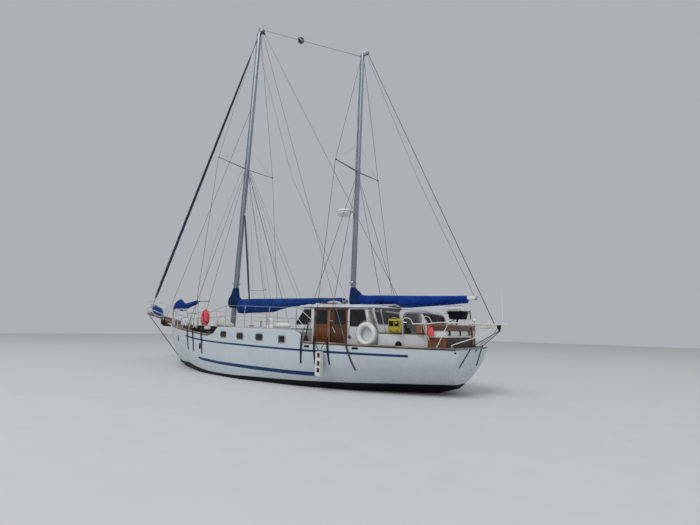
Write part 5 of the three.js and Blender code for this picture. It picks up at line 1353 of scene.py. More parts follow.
for s, w in ((1, "port"), (-1, "starboard")):
    cushion("cockpit_cushion_" + w, (-6.38, min(s * 0.50, s * 0.90), 1.329), (-5.46, max(s * 0.50, s * 0.90), 1.395), NAVY, channels=2, slot="dark_canvas")

# dodger: canvas over bows, clear panels let in, stitched seams
DROWS = [[-5.075, -5.345, 1.40, 2.17, .10], [-5.30, -5.50, 1.36, 2.165, .12], [-5.60, -5.70, 1.30, 2.15, .14], [-5.86, -5.93, 1.22, 2.12, .17], [-5.95, -5.99, 1.19, 2.03, .19]]
DR = [[r[0]] + r for r in DROWS][::-1]


def dodger_pt(u, v, inset=0.0):
    """u 0 forward to 1 aft, v 0 at the port foot over the top to 1 at the starboard foot."""
    xk = lerp(-5.082, -5.948, u)
    xf, w, zt, r = (curve_at(DR, xk, k) for k in (2, 3, 4, 5))
    w, zt, r = w - inset, zt - inset, r - inset * 0.5
    s = 1 if v <= 0.5 else -1
    q = v if v <= 0.5 else 1 - v            # 0 foot .. 0.5 centre
    hs, arc, top = zt - r - 0.02 - 1.504, r * pi / 2, w - r
    tot = hs + arc + top
    d = q * 2 * tot
    if d < hs:
        y, z = w, 1.504 + d
    elif d < hs + arc:
        a = (d - hs) / r
        y, z = w - r + r * cos(a), zt - 0.02 - r + r * sin(a)
    else:
        f = (d - hs - arc) / max(1e-6, top)
        y, z = (w - r) * (1 - f), zt - 0.02 + 0.025 * (1 - (1 - f) ** 2)
    x = xk + (xf - xk) * max(0, (zt - z)) / (zt - 1.5)
    # cloth sags a little between the bows and puckers near seams
    bow = sin(pi * min(1, abs(u * 2 - math.floor(u * 2)) if u < 1 else 0))
    z2 = z - 0.010 * bow * (1 if d > hs + arc * 0.5 else 0)
    y2 = y - 0.006 * bow * (1 if d < hs + arc * 0.5 else 0)
    x_lim = backX(z2) - 0.009
    return np.array([min(x, x_lim), s * y2, z2])


PAN = {"side": (0.34, 0.86, 0.055, 0.205), "side2": (0.10, 0.28, 0.055, 0.205)}
P = [[dodger_pt(i / 44, j / 120, 0.006) for j in range(121)] for i in range(45)]
cells = []
keep = lambda i, j: not any(a <= (i + .5) / 44 <= b and (c <= (j + .5) / 120 <= d or c <= 1 - (j + .5) / 120 <= d) for a, b, c, d in PAN.values())
A = np.array(P)
gi, gj = np.gradient(A, axis=0), np.gradient(A, axis=1)
Nn = np.cross(gi, gj)
Nn /= np.linalg.norm(Nn, axis=2, keepdims=True) + 1e-9
for i in range(45):
    for j in range(121):
        A[i, j] += Nn[i, j] * 0.0035 * noise.noise(Vector((i * 0.21, j * 0.13, 3.0)))
n_, m_ = 45, 121
top_, bot_ = (A + Nn * 0.0022).reshape(-1, 3), (A - Nn * 0.0022).reshape(-1, 3)
k_ = n_ * m_
F_, FM_, edge = [], [], {}
for i in range(n_ - 1):
    for j in range(m_ - 1):
        if not keep(i, j):
            continue
        q = (i * m_ + j, i * m_ + j + 1, (i + 1) * m_ + j + 1, (i + 1) * m_ + j)
        F_ += [q, tuple(v + k_ for v in reversed(q))]
        # inner faces and rims take the near-black copy as painted shade under the dodger
        FM_ += [0, 1] if Nn[22, 60, 2] > 0 else [1, 0]
        for a, b in zip(q, q[1:] + q[:1]):
            edge[(a, b)] = 1
for a, b in list(edge):
    if (b, a) not in edge:
        F_.append((b, a, a + k_, b + k_))
used = sorted(set(v for f in F_ for v in f))
ren = {v: i for i, v in enumerate(used)}
VV = np.vstack([top_, bot_])
dod = Piece("dodger_canvas", [GREYC, DODGER_INSIDE_SHADE], slot="grey_canvas").add(([tuple(VV[v]) for v in used], [tuple(ren[v] for v in f) for f in F_])).done(60, replaces=("dodger",))
dod.data.polygons.foreach_set("material_index", FM_ + [1] * (len(dod.data.polygons) - len(FM_)))
p = Piece("dodger_clear_panels", VINYL, slot="grey_canvas")
q = Piece("dodger_seams_and_zips", [NAVY, ROPE, TEAK], slot="dark_canvas")
for (a, b, c, d) in PAN.values():
    for sg in (0, 1):
        vv = (lambda t: t) if not sg else (lambda t: 1 - t)
        p.add(shell([[dodger_pt(lerp(a - .012, b + .012, i / 8), vv(lerp(c - .004, d + .004, j / 10)), 0.010) for j in range(11)] for i in range(9)], 0.0012))
        loop = [dodger_pt(lerp(a, b, i / 10), vv(c), 0.001) for i in range(10)] + [dodger_pt(b, vv(lerp(c, d, i / 10)), 0.001) for i in range(10)] + \
               [dodger_pt(lerp(b, a, i / 10), vv(d), 0.001) for i in range(10)] + [dodger_pt(a, vv(lerp(d, c, i / 10)), 0.001) for i in range(10)]
        q.add(tube(loop, 0.0055, 6, closed=True), 0)
for u in (0.02, 0.31, 0.62, 0.985):
    q.add(tube([dodger_pt(u, j / 80, 0.0) for j in range(81)], 0.0045 if u < 0.9 else 0.009, 6), 0)
p.done(60)
q.done(60)
p = Piece("dodger_bows", STEEL, slot="stainless")
for u in (0.31, 0.62, 0.965):
    p.add(tube([dodger_pt(u, 0.004 + 0.992 * j / 60, 0.026) for j in range(61)], 0.0115, 10))
p.done()

# ====================================================== STERN GALLERY AND SEAT
GAL = [(-6.57, 1.10), (-6.80, 1.01), (-6.96, 0.89), (-6.985, 0.45), (-6.985, -0.45), (-6.96, -0.89), (-6.80, -1.01), (-6.57, -1.10)]
GN = []
for i in range(len(GAL)):
    a, b = GAL[max(0, i - 1)], GAL[min(len(GAL) - 1, i + 1)]
    dx, dy = b[0] - a[0], b[1] - a[1]
    GN.append((-dy / math.hypot(dx, dy), dx / math.hypot(dx, dy)))


def gal_wall(o, t, z0, z1, e=0.004, crown=0.0):
    """Board following the gallery: o outward of its line, t thick, edges eased by e."""
    rings = []
    for (x, y), (nx, ny) in zip(GAL, GN):
        q = lambda k, z: (x + nx * k, y + ny * k, z)
        rings.append([q(-o, z0 + e), q(-o, z1 - e), q(-o + e, z1), q(t / 2 - o, z1 + crown), q(t - o - e, z1), q(t - o, z1 - e), q(t - o, z0 + e), q(t - o - e, z0), q(-o + e, z0)])
    return loft(rings)


p = Piece("gallery_bench", [VARN_SHADED, VARNL, RAILW, TEAK_DEEP_SHADE, VARN], slot="varnished_teak")
# boards in the darker teak copy and posts in the near-black copy: painted shade on the gallery
p.add(gal_wall(0, 0.03, 1.0005, 1.432), 0)
p.add(gal_wall(0.012, 0.055, 1.432, 1.476, 0.008), 2)
p.add(gal_wall(0, 0.025, 1.598, 1.702), 0)
p.add(gal_wall(0.018, 0.062, 1.698, 1.745, 0.010, 0.002), 1)
p.add(loft([[(x, y, 1.0005), (x, y, 1.40), (x, -y, 1.40), (x, -y, 1.0005)] for x, y in ((-6.94, .86), (-6.80, .96), (-6.62, 1.03))]), 0)
for (x, y), (nx, ny) in [q for q in zip(GAL, GN) if abs(abs(q[0][1]) - .45) > .01 and abs(abs(q[0][1]) - .95) > .07]:
    p.add(bx(x + nx * .012 - .014, x + nx * .012 + .014, y + ny * .012 - .014, y + ny * .012 + .014, 1.40, 1.72, .003), 3)
for y in (0.715, 0.11, -0.455):
    p.add(bx(-6.985, -6.955, y - .020, y + .020, 1.474, 1.60, .003), 3)
p.add(bx(-7.000, -6.955, -0.66, -0.575, 1.03, 1.735, .006), 4)
for y in (0.52, 0.30, -0.50, -0.72, -0.80):
    if y < 0:
        p.add(lathe([(.016, 0), (.020, .008), (.010, .020), (.022, .055), (.024, .070), (.010, .098), (.018, .112), (.016, .124)], (-6.975, y, 1.475), (0, 0, 1), 14), 2)
p.done(40, replaces=("stern_bench",))
p = Piece("gallery_bolster", RINGC, slot="yellow_cloth")
rings = []
for k in range(len(GAL) * 6 - 5):
    i, t = divmod(k, 6)
    i2 = min(i + 1, len(GAL) - 1)
    x, y = lerp(GAL[i][0], GAL[i2][0], t / 6), lerp(GAL[i][1], GAL[i2][1], t / 6)
    nx, ny = lerp(GN[i][0], GN[i2][0], t / 6), lerp(GN[i][1], GN[i2][1], t / 6)
    puff = 1 + 0.06 * sin(k * 1.7) - (0.30 if k % 9 == 4 else 0)
    rings.append([(x + nx * (.062 + .036 * cos(a) * puff), y + ny * (.062 + .036 * cos(a) * puff), 1.535 + .092 * sin(a) * (0.94 + .06 * puff)) for a in np.linspace(0, 2 * pi, 19)[:-1]])
p.add(loft(rings))
p.done(60)
p = Piece("gallery_planking", [VARNH, VARN_SHADED, TEAK_DEEP_SHADE], slot="varnished_teak")
for i in range(len(GAL) - 1):
    a, b = Vector((*GAL[i], 0)), Vector((*GAL[i + 1], 0))
    d = (b - a).normalized()
    nrm = Vector((d.y, -d.x, 0))
    if nrm.dot(Vector(((a.x + b.x) / 2 + 6.3, (a.y + b.y) / 2, 0))) < 0:
        nrm = -nrm
    nb = max(1, round((b - a).length / 0.11))
    for k in range(nb):
        s0, s1 = a + (b - a) * (k / nb), a + (b - a) * ((k + 1) / nb)
        s0, s1 = s0 + d * 0.0012, s1 - d * 0.0012
        q = [s0 + nrm * 0.0012, s1 + nrm * 0.0012, s1 + nrm * 0.0075, s0 + nrm * 0.0075]
        # the aft-facing boards (faces 2 to 4) take the near-black copy as painted shade
        p.add(prism([(v.x, v.y) for v in q], 1.012, 1.428, "xy", 0.0018), 2 if 2 <= i <= 4 else 0)
p.done()
for i, (y0, y1) in enumerate(((-0.82, -0.42), (-0.40, -0.01), (0.01, 0.40), (0.42, 0.82))):
    cushion("stern_cushion_%d" % i, (-6.85, y0, 1.4005), (-6.64, y1, 1.462), CREAM)
yq_ = lambda x: sheerY(x) - 0.03
zb_ = lambda x: sheerZ(x) + 0.041
p = Piece("stern_rail_tubes", [RAILW, STEEL, CHAINP], slot="stainless")
o = rounded([(-7.55, .20), (-8.18, .07), (-8.18, -.07), (-7.55, -.20)], .03, 4)
p.add(prism(o, 1.755, 1.785, "xy", .004), 0)
for s in (1, -1):
    f = lambda L: [(x, s * y, z) for x, y, z in L]
    z = sheerZ(-7.15) + .057
    p.add(tube(f([(-7.10, .90, z + .002), (-7.14, .88, z + .06), (-7.60, .40, 1.50), (-7.90, .06, 1.76)]), .0115, 12, smooth=6), 0)
    p.add(lathe([(.036, -.012), (.036, -.004), (.020, .006)], (-7.10, s * .90, z + .002), (0, 0, 1), 18), 1)
    p.add(tube(f([(-6.62, 1.18, 1.752), (-6.86, 1.05, 1.785), (-7.10, .84, 1.785), (-7.35, .45, 1.78), (-7.58, .16, 1.77)]), .0135, 12, smooth=6), 0)
    p.add(tube(f([(-6.80, 1.08, zb_(-6.80)), (-7.02, .905, 1.785)]), .0100, 12), 0)
    p.add(tube(f([(-6.10, yq_(-6.10), zb_(-6.1)), (-6.05, yq_(-6.05), 1.84)]), .0125, 12), 1)
    p.add(tube(f([(-6.05, yq_(-6.05), 1.80), (-6.12, yq_(-6.12), 1.88), (-6.24, yq_(-6.24), 1.86), (-6.30, yq_(-6.3), 1.74)]), .011, 12, smooth=5), 0)
    p.add(tube(f([(-6.28, yq_(-6.28), 1.74), (-6.45, yq_(-6.45), 1.75), (-6.64, 1.17, 1.755)]), .0135, 12, smooth=5), 0)
    p.add(tube(f([(-6.50, yq_(-6.50), 1.745), (-6.52, yq_(-6.52), 1.86), (-6.575, yq_(-6.575), 1.93), (-6.65, yq_(-6.65), 1.90), (-6.71, yq_(-6.71), 1.78)]), .009, 12, smooth=6), 0)
    for x, zz in ((-6.10, zb_(-6.1)), (-6.80, zb_(-6.8))):
        p.add(lathe([(.034, -.008), (.034, -.002), (.016, .006), (.014, .04)], (x, s * (yq_(x) - (0 if x > -6.5 else .01)), zz), (0, 0, 1), 18), 1)
    p.add(tube([(-7.44, s * .13, 1.772), (-7.60, s * .13, 1.774), (-7.67, s * .13, 1.752), (-7.685, s * .13, 1.724), (-7.67, s * .13, 1.696), (-7.60, s * .13, 1.675), (-7.44, s * .13, 1.674), (-7.40, s * .13, 1.722)], .0105, 10, closed=True), 0)
p.add(prism([(-7.85, 1.757), (-7.97, 1.757), (-7.935, 1.60), (-7.905, 1.60)], -.010, .010, "xz", .003), 2)
p.add(tube([(-7.92, -.045, 1.612), (-7.92, .045, 1.612)], .011, 10), 2)
p.done(45, replaces=("boomkin_and_stern_rail",))
thicken(refine("pulpit", RAILW, 0, 60), 0.006)
for n in ("guard_rail_port", "guard_rail_starboard"):
    refine(n, STEEL, 0, 60)

# ====================================================== SAILS UNDER COVERS
MAINC = [[2.36, 2.665, 2.12, 0.10], [2.10, 2.66, 2.095, 0.13], [1.40, 2.655, 2.125, 0.15], [0.75, 2.64, 2.13, 0.155], [0.30, 2.63, 2.14, 0.16],
         [0.00, 2.625, 2.205, 0.155], [-0.40, 2.615, 2.28, 0.15], [-0.62, 2.61, 2.315, 0.145], [-2.00, 2.585, 2.335, 0.13], [-3.05, 2.555, 2.345, 0.10]]
MIZC = [[-3.64, 2.70, 2.36, 0.08], [-3.80, 2.62, 2.335, 0.11], [-4.43, 2.59, 2.325, 0.13], [-5.02, 2.565, 2.31, 0.135], [-5.20, 2.555, 2.225, 0.14],
        [-5.45, 2.545, 2.215, 0.14], [-5.90, 2.53, 2.235, 0.13], [-6.60, 2.505, 2.27, 0.11], [-7.14, 2.492, 2.305, 0.085]]
STAYC = [[7.24, 2.60, 2.32, 0.07], [7.00, 2.72, 2.30, 0.12], [6.78, 2.78, 2.27, 0.13], [6.60, 2.67, 2.24, 0.13], [6.40, 2.585, 2.25, 0.12],
         [6.12, 2.605, 2.35, 0.10], [5.80, 2.645, 2.44, 0.085], [5.40, 2.705, 2.54, 0.065]]


def cover_surface(rows, seed, n=150, m=48, tuck=0.02, fold=1.0):
    """Sail cover as rings: flaked sail inside, drawn in at the ties, pinched along the lacing below."""
    R = [[-r[0]] + r for r in rows]
    xa, xb = rows[0][0], rows[-1][0]
    L = abs(xb - xa)
    ties = [xa + (xb - xa) * (k + 0.5) / max(2, round(L / 0.62)) for k in range(max(2, round(L / 0.62)))]
    rings = []
    for i in range(n):
        x = lerp(xa, xb, i / (n - 1))
        zt, zb, w = (curve_at(R, -x, k) for k in (2, 3, 4))
        zm, h = (zt + zb) / 2, (zt - zb) / 2
        tie = max(math.exp(-((x - t) / 0.045) ** 2) for t in ties)
        end = min(1, min(abs(x - xa), abs(x - xb)) / 0.05)
        ring = []
        for j in range(m):
            a = 2 * pi * j / m
            c, s = cos(a), sin(a)
            # egg section: broad over the boom, narrow at the lacing
            wy = w * math.copysign(abs(c) ** 0.78, c) * (1.0 - 0.24 * max(0, -s) ** 1.4 - 0.10 * max(0, s) ** 2)
            y, z = wy, zm + h * math.copysign(abs(s) ** 0.92, s)
            q = Vector((x * 3.1 + z * 2.2, y * 6, z * 7.0 - x * 0.9)) + Vector((seed, 0, 0))
            f = noise.noise(q) * 0.020 + noise.noise(q * 2.7) * 0.008
            # hanging folds run down and aft from each tie
            f += 0.007 * sin(19 * (x + 0.55 * (zt - z)) + 3 * noise.noise(q * 0.6)) * abs(c) * (0.4 + 0.6 * (zt - z) / (2 * h))
            f *= fold * (0.35 + 0.65 * abs(c)) * (0.3 + 0.7 * end)
            k = 1 - tuck * tie
            nx_, nz_ = c, s
            ring.append((x, (y + nx_ * f) * k, zm + (z - zm) * k + nz_ * f * 0.55))
        rings.append(ring)
    return rings, ties, R


def sail_cover(name, node, body, rows, mat, trim, seed, boom, lace=0.20):
    rings, ties, R = cover_surface(rows, seed)
    p = Piece(name, [mat, trim, ROPE, STEEL], body=body, slot="blue_canvas")
    p.add(loft(rings), 0)
    o = p.done(60, replaces=(node,))
    q = Piece(name + "_trim", [trim, mat, ROPE, STEEL], body=body, slot="blue_canvas")
    xa, xb = rows[0][0], rows[-1][0]
    # stitched ridge along the top, hem tapes beside the lacing
    n = len(rings)
    top = [ring[12] for ring in rings[2:-2]]
    q.add(tube([(a[0], a[1], a[2] + 0.001) for a in top], 0.010, 8, flat=(2.0, 0.5)), 0)
    for jj in (32, 40):
        q.add(tube([Vector(ring[jj]) + Vector((0, 0, -0.0005)) for ring in rings[3:-3:2]], 0.006, 6), 1)
    for t in ties:
        i = max(2, min(n - 3, round((t - xa) / (xb - xa) * (n - 1))))
        c0 = Vector((rings[i][0][0], 0, (rings[i][12][2] + rings[i][36][2]) / 2))
        loop = [c0 + (Vector(v) - c0) * 1.012 for v in rings[i][::2]]
        q.add(tube(loop, 0.006, 6, closed=True, flat=(1.0, 1.0)), 1)
    # turn buttons and short lacing along the foot
    k = 0
    x = xa - 0.16 if xa > xb else xa + 0.16
    while x > xb + 0.1:
        i = max(1, min(n - 2, round((x - xa) / (xb - xa) * (n - 1))))
        a, b = Vector(rings[i][31]), Vector(rings[i][41])
        q.add(tube([a + Vector((0, 0.002, -0.002)), (a + b) / 2 + Vector((0, 0, -0.014)), b + Vector((0, -0.002, -0.002))], 0.0035, 6, smooth=4), 1)
        for v in (a, b):
            q.add(lathe([(0.008, -0.002), (0.008, 0.003), (0.004, 0.0045)], v, (0, 1 if v.y > 0 else -1, -0.25), 10), 3)
        x -= lace
        k += 1
    q.done(55)
    return o


# the main cover's top ridge uses the lighter teal blue as a painted highlight along the top
sail_cover("mainsail_cover_cloth", "mainsail_cover", "main_boom", MAINC, BLUE, BLUE_TOP_HIGHLIGHT, 3, None)
sail_cover("mizzen_cover_cloth", "mizzen_sail_cover", "mizzen_boom", MIZC, BLUEM, BLUE, 8, None)
sail_cover("staysail_cover_cloth", "staysail_cover", "club_boom", STAYC, BLUEM, NAVY, 15, None, 0.16)


def collar(name, mast, rows, mat, a, seed):
    """Cover wrapped round the mast: rows are height, front, back, half width."""
    rr = []
    R = [[r[0]] + r for r in rows]
    N = 34
    for i in range(N):
        z = lerp(rows[0][0], rows[-1][0], i / (N - 1))
        xf, xb, w = (curve_at(R, z, k) for k in (2, 3, 4))
        xm = mast(z)
        ring = []
        for j in range(40):
            t = 2 * pi * j / 40
            c, s = cos(t), sin(t)
            x = xm + (xf - xm) * max(0, c) ** 0.9 - (xm - xb) * max(0, -c) ** 0.85
            y = w * math.copysign(abs(s) ** 0.8, s) * (1 - 0.25 * max(0, -c) ** 3)
            q = Vector((x * 5, y * 7, z * 4 + seed))
            f = 1 + 0.06 * noise.noise(q) + 0.035 * sin(7 * t + 9 * z + seed) * (1 - i / (N - 1)) * abs(s)
            ring.append((xm + (x - xm) * f, y * f, z))
        rr.append(ring)
    p = Piece(name, [mat, NAVY], body=a, slot="blue_canvas")
    p.add(loft(rr), 0)
    for zz in (0.10, 0.5, 0.93):
        i = int(zz * (N - 1))
        ctr = Vector((mast(rr[i][0][2]), 0, rr[i][0][2]))
        p.add(tube([ctr + (Vector(v) - ctr) * 1.015 for v in rr[i]], 0.0055, 6, closed=True), 1)
    o = p.done(60, ride=False)
    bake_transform(o)
    return o


collar("main_cover_collar", mx, [[2.33, 2.86, 2.42, .125], [2.42, 2.98, 2.32, .15], [2.55, 3.02, 2.26, .165], [2.66, 3.00, 2.28, .165], [2.76, 2.93, 2.40, .155],
       [2.90, 2.83, 2.46, .140], [3.03, 2.765, 2.50, .126], [3.12, 2.738, 2.502, .118]], NAVYB, YACHT, 2.0)
collar("mizzen_cover_collar", zx, [[2.33, -3.312, -3.66, .092], [2.42, -3.30, -3.76, .112], [2.54, -3.30, -3.80, .115], [2.62, -3.303, -3.77, .112], [2.70, -3.308, -3.70, .105],
       [2.78, -3.316, -3.60, .094], [2.84, -3.324, -3.52, .087], [2.872, -3.328, -3.498, .083]], NAVYB, YACHT, 5.0)

refine("main_boom", ALLOY, 0.003, 40)
refine("mizzen_boom", PLASTIC, 0.003, 40)
refine("club_boom", ALLOY, 0.002, 40)

# ------------------------------------------------------------ masts and wires
refine("main_mast", ALLOY, 0.002, 50)
refine("mizzen_mast", ALLOY, 0.002, 50)
for n in ("main_shrouds_port", "main_shrouds_starboard", "mizzen_shrouds_port", "mizzen_shrouds_starboard", "main_backstays", "inner_forestay", "mizzen_backstay"):
    o = refine(n, WIRE, 0, 60)
    if "shrouds" in n:
        strap_paint(o, 1.50, CHAINP)
thicken(refine("bobstay", CHAINP, 0, 60), 0.005)
thicken(NODES["mizzen_backstay"], 0.005)
refine("triatic_stay", WIRE, 0, 20)

TACK, HEAD = Vector((9.62, 0, 2.30)), Vector((mx(14.2) + 0.15, 0, 14.15))
SAXIS = (HEAD - TACK).normalized()
SL = (HEAD - TACK).length
SN = Vector((0, 1, 0))
SB = SAXIS.cross(SN)
GR = [[.052, .030], [.060, .045], [.075, .055], [.20, .062], [.42, .058], [.66, .050], [.86, .038], [.945, .024], [.952, .012], [1.0, .012]]
rr = []
for i in range(420):
    f = lerp(0.0525, 0.9995, i / 419)
    r = curve_at(GR, f)
    sail = 1.0 if f < 0.945 else 0.0
    ring = []
    for j in range(24):
        a = 2 * pi * j / 24
        ph = (a / (2 * pi) - f * 17.0) % 1.0            # the rolled edge climbs as a spiral
        k = 1 + sail * (0.13 * (ph - 0.5) + 0.05 * noise.noise(Vector((cos(a) * 1.5, sin(a) * 1.5, f * 70))))
        ring.append(TACK + SAXIS * (SL * f) + (SN * cos(a) + SB * sin(a)) * r * k)
    rr.append(ring)
p = Piece("furled_genoa_roll", [GENOA, SAILC, ROPE], body="headsail_roll", slot="dark_canvas").add(loft(rr), 0)
loop = []
for i in range(220):
    f, a = lerp(0.060, 0.084, i / 219), 2 * pi * 6 * i / 219
    loop.append(TACK + SAXIS * (SL * f) + (SN * cos(a) + SB * sin(a)) * (curve_at(GR, f) * 1.06 + 0.006))
p.add(tube(loop, 0.0065, 6), 2)
p.done(60, replaces=("furled_genoa",))
refine("furler_drum", STEEL, 0.002, 40)
p = Piece("furler_swivel", [STEEL, BLACKP], body="headsail_roll", slot="stainless")
p.add(lathe([(0.020, 0), (0.034, 0.004), (0.034, 0.085), (0.020, 0.09)], TACK + SAXIS * (SL * 0.958), SAXIS, 20), 0)
p.add(lathe([(0.026, 0), (0.030, 0.02), (0.026, 0.05)], TACK + SAXIS * (SL * 0.050), SAXIS, 20), 0)
p.done()


def bottlescrew(p, a, b, r=0.015, L=0.34, m=0):
    """Rigging screw on the line from a towards b: fork, barrel with a flat, threaded ends."""
    a, b = Vector(a), Vector(b)
    d = (b - a).normalized()
    p.add(lathe([(0.004, 0.0), (r * 0.6, 0.02), (r * 0.6, 0.075), (r, 0.085), (r, L - 0.085), (r * 0.6, L - 0.075), (r * 0.6, L - 0.03), (r * 0.75, L - 0.025), (r * 0.6, L + 0.02), (0.009, L + 0.045)], a, d, 12), m)
    side = d.cross(Vector((1, 0, 0))).normalized()
    for s in (1, -1):
        c = a + d * 0.005 + Vector((s * r * 0.9, 0, 0))
        p.add(tube([c - d * 0.018, c + d * 0.05], 0.0055, 6), m)
    p.add(tube([a - Vector((0.026, 0, 0)), a + Vector((0.026, 0, 0))], 0.0065, 8), m)


MAINSH = [((2.76, 1.50), (mx(7.95) + .03, .115, 7.95)), ((2.24, 1.48), (mx(8.2), 1.392, 8.20)), ((1.54, 1.44), (mx(7.92) - .03, .115, 7.92))]
MIZSH = [((-3.33, 1.40), (zx(6.45) + .02, .082, 6.45)), ((-3.74, 1.36), (zx(6.7), 1.146, 6.72)), ((-4.16, 1.36), (zx(6.4) - .02, .082, 6.40)), ((-4.66, 1.34), (mx(14.38) - .25, .052, 14.30))]
for s, w in ((1, "port"), (-1, "starboard")):
    p = Piece("rigging_screws_" + w, [GALV, BRONZE, ROPE, BLACKP], slot="stainless")
    for (x, z), b in MAINSH + MIZSH:
        a = Vector((x, s * (sheerY(x) + 0.037), z))
        b = Vector((b[0], s * b[1], b[2]))
        bottlescrew(p, a, b, 0.012, 0.30, 0)
        d = (b - a).normalized()
        # bolt heads on the chainplate strap
    for (x0, z0, x1, z1) in ((2.64, .74, 2.76, 1.52), (2.12, .71, 2.24, 1.50), (1.43, .68, 1.54, 1.46), (-3.27, .65, -3.33, 1.42), (-3.74, .66, -3.74, 1.38), (-4.18, .67, -4.16, 1.38), (-4.87, .57, -4.66, 1.36)):
        for k in range(5):
            u = 0.06 + 0.16 * k
            x, z = lerp(x0, x1, u), lerp(z0, z1, u)
            y = hullY(x, z) + 0.004 + 0.028 * max(0, min(1, (z - sheerZ(x) + 0.30) / 0.20)) + 0.012
            p.add(lathe([(0.011, -0.001), (0.011, 0.005), (0.006, 0.008)], (x, s * y, z), (0, s, 0), 6), 3)
    p.done(40)

# mast tracks, halyards and fittings
p = Piece("mast_fittings", [ALLOY, STEEL, ROPE, ROPED, BLACKP, PLASTIC, LED], slot="mast_alloy")
for f, r0, r1, z0, z1, top in ((mx, .105, .085, 3.16, 14.2, 14.40), (zx, .075, .062, 2.92, 10.6, 10.86)):
    rz = lambda z: r0 + (r1 - r0) * z / top
    p.add(loft([[(f(z) - rz(z) - 0.013, -0.012, z), (f(z) - rz(z) - 0.013, 0.012, z), (f(z) - rz(z) + 0.010, 0.016, z), (f(z) - rz(z) + 0.010, -0.016, z)] for z in (z0, z1)]), 0)
    for yy, k in ((0.035, 0), (-0.035, 1), (0.055, 1)):
        zz = np.linspace(z0, z1, 14)
        p.add(tube([(f(z) + rz(z) * 0.93 + 0.006 + 0.006 * sin(i * 1.9 + k), yy + 0.008 * sin(i * 2.3 + yy * 90), z) for i, z in enumerate(zz)], 0.0052, 6), 2 + k)
    # halyard winches low on both sides, cleats below them
for f, r0, zc in ((mx, .103, 3.30), (zx, .075, 3.02)):
    for s in (1, -1):
        c = (f(zc) + 0.02, s * (r0 - 0.004), zc)
        p.add(lathe([(0.040, 0), (0.042, 0.010), (0.030, 0.018), (0.028, 0.06), (0.036, 0.068), (0.034, 0.076), (0.012, 0.080)], c, (0, s, 0), 22), 1)
        c2 = Vector((f(zc + .35) + 0.0, s * (r0 + 0.002), zc + 0.35))
        p.add(tube([c2 + Vector((0, s * .02, -.07)), c2 + Vector((0, s * .026, 0)), c2 + Vector((0, s * .02, .07))], 0.008, 8, smooth=4), 1)
        p.add(tube([c2, c2 + Vector((0, s * .026, 0))], 0.012, 8), 1)
# steaming light, deck light, masthead gear
zc = 8.95
p.add(lathe([(0.010, -0.05), (0.040, -0.045), (0.042, 0.0), (0.036, 0.055), (0.010, 0.06)], (mx(zc) + 0.14, 0, zc), (0, 0, 1), 18), 5)
p.add(bx(mx(zc) + .08, mx(zc) + .13, -.02, .02, zc - .03, zc + .02, .004), 4)
for (x, z) in ((mx(14.38) - 0.10, 14.44), (zx(10.8) - 0.10, 10.87)):
    p.add(lathe([(0.028, 0), (0.030, 0.03), (0.030, 0.085), (0.020, 0.10), (0.004, 0.104)], (x, 0, z), (0, 0, 1), 18), 5)
p.add(tube([(mx(14.38) + .06, .03, 14.44), (mx(14.38) + .06, .03, 14.80)], 0.0035, 6), 4)
p.add(tube([(mx(14.38) - .22, 0, 14.44), (mx(14.38) - .22, 0, 14.62), (mx(14.38) - .40, 0, 14.64)], 0.0035, 6), 4)
for k in range(3):
    a = 2 * pi * k / 3
    c = Vector((mx(14.38) + 0.02, -0.03, 14.62))
    p.add(tube([c, c + Vector((0.07 * cos(a), 0.07 * sin(a), 0))], 0.0025, 6), 4)
    p.add(blob(c + Vector((0.08 * cos(a), 0.08 * sin(a), 0)), .018, .018, .018, 10, 6), 4)
p.add(tube([(mx(14.38) + 0.02, -0.03, 14.44), (mx(14.38) + 0.02, -0.03, 14.63)], 0.004, 6), 4)
# spreader tips and the wires from the mast to them
for f, z, half in ((mx, 8.13, 1.365), (zx, 6.66, 1.12)):
    for s in (1, -1):
        p.add(blob((f(z), s * (half + 0.005), z + 0.05 * half + 0.0), .035, .028, .022, 14, 8), 4)
        p.add(tube([(f(z + .9), s * 0.09, z + 0.9), (f(z), s * half * 0.96, z + 0.05 * half + .02)], 0.0035, 5), 1)
p.done(45)

# spar stowed against the mast, its heel on the boom cover
p = Piece("stowed_pole", [DARKAL, STEEL], body="main_boom", slot="mast_alloy")
p.add(tube([(1.735, 0.0, 2.66), (1.86, 0, 3.4), (2.20, 0, 5.3), (2.345, 0.0, 6.12)], [0.026, 0.036, 0.036, 0.024], 16), 0)
p.add(tube([(2.345, 0, 6.12), (2.363, 0, 6.23)], [0.016, 0.010], 10), 1)
p.add(tube([(1.730, 0, 2.625), (1.735, 0, 2.67)], [0.020, 0.020], 10), 1)
p.done()
# running rigging that rides on the booms
p = Piece("main_topping_lift", [ROPED, STEEL], body="main_boom", slot="wire")
p.add(tube([(-3.15, 0, 2.52), (-0.40, 0, 7.15), (1.94, 0, 13.2), (mx(14.3) - .20, 0, 14.30)], 0.0045, 6), 0)
for (x0, z0), (x1, z1) in (((1.62, 2.66), (2.30, 8.0)), ((0.58, 2.64), (2.28, 8.0)), ((-0.25, 2.62), (2.26, 8.02)), ((-1.05, 2.60), (2.24, 8.04))):
    for s in (1, -1):
        p.add(tube([(x0, s * 0.10, z0 - 0.04), (lerp(x0, x1, .5), s * 0.085, lerp(z0, z1, .5)), (x1, s * 0.05, z1)], 0.0035, 5), 0)
p.add(tube([(1.60, 0.10, 3.005), (1.35, .08, 2.965), (0.95, 0.05, 2.955), (0.60, 0.10, 2.995)], 0.006, 6, smooth=6), 0)
p.done()
p = Piece("mizzen_topping_lift", [ROPED, STEEL], body="mizzen_boom", slot="wire")
p.add(tube([(-7.32, 0, 2.475), (-5.70, 0, 6.0), (zx(10.8) - .16, 0, 10.80)], 0.004, 6), 0)
p.add(tube([(-7.345, 0, 2.43), (-7.39, 0, 2.43)], [0.052, 0.050], 20), 1)
p.done()
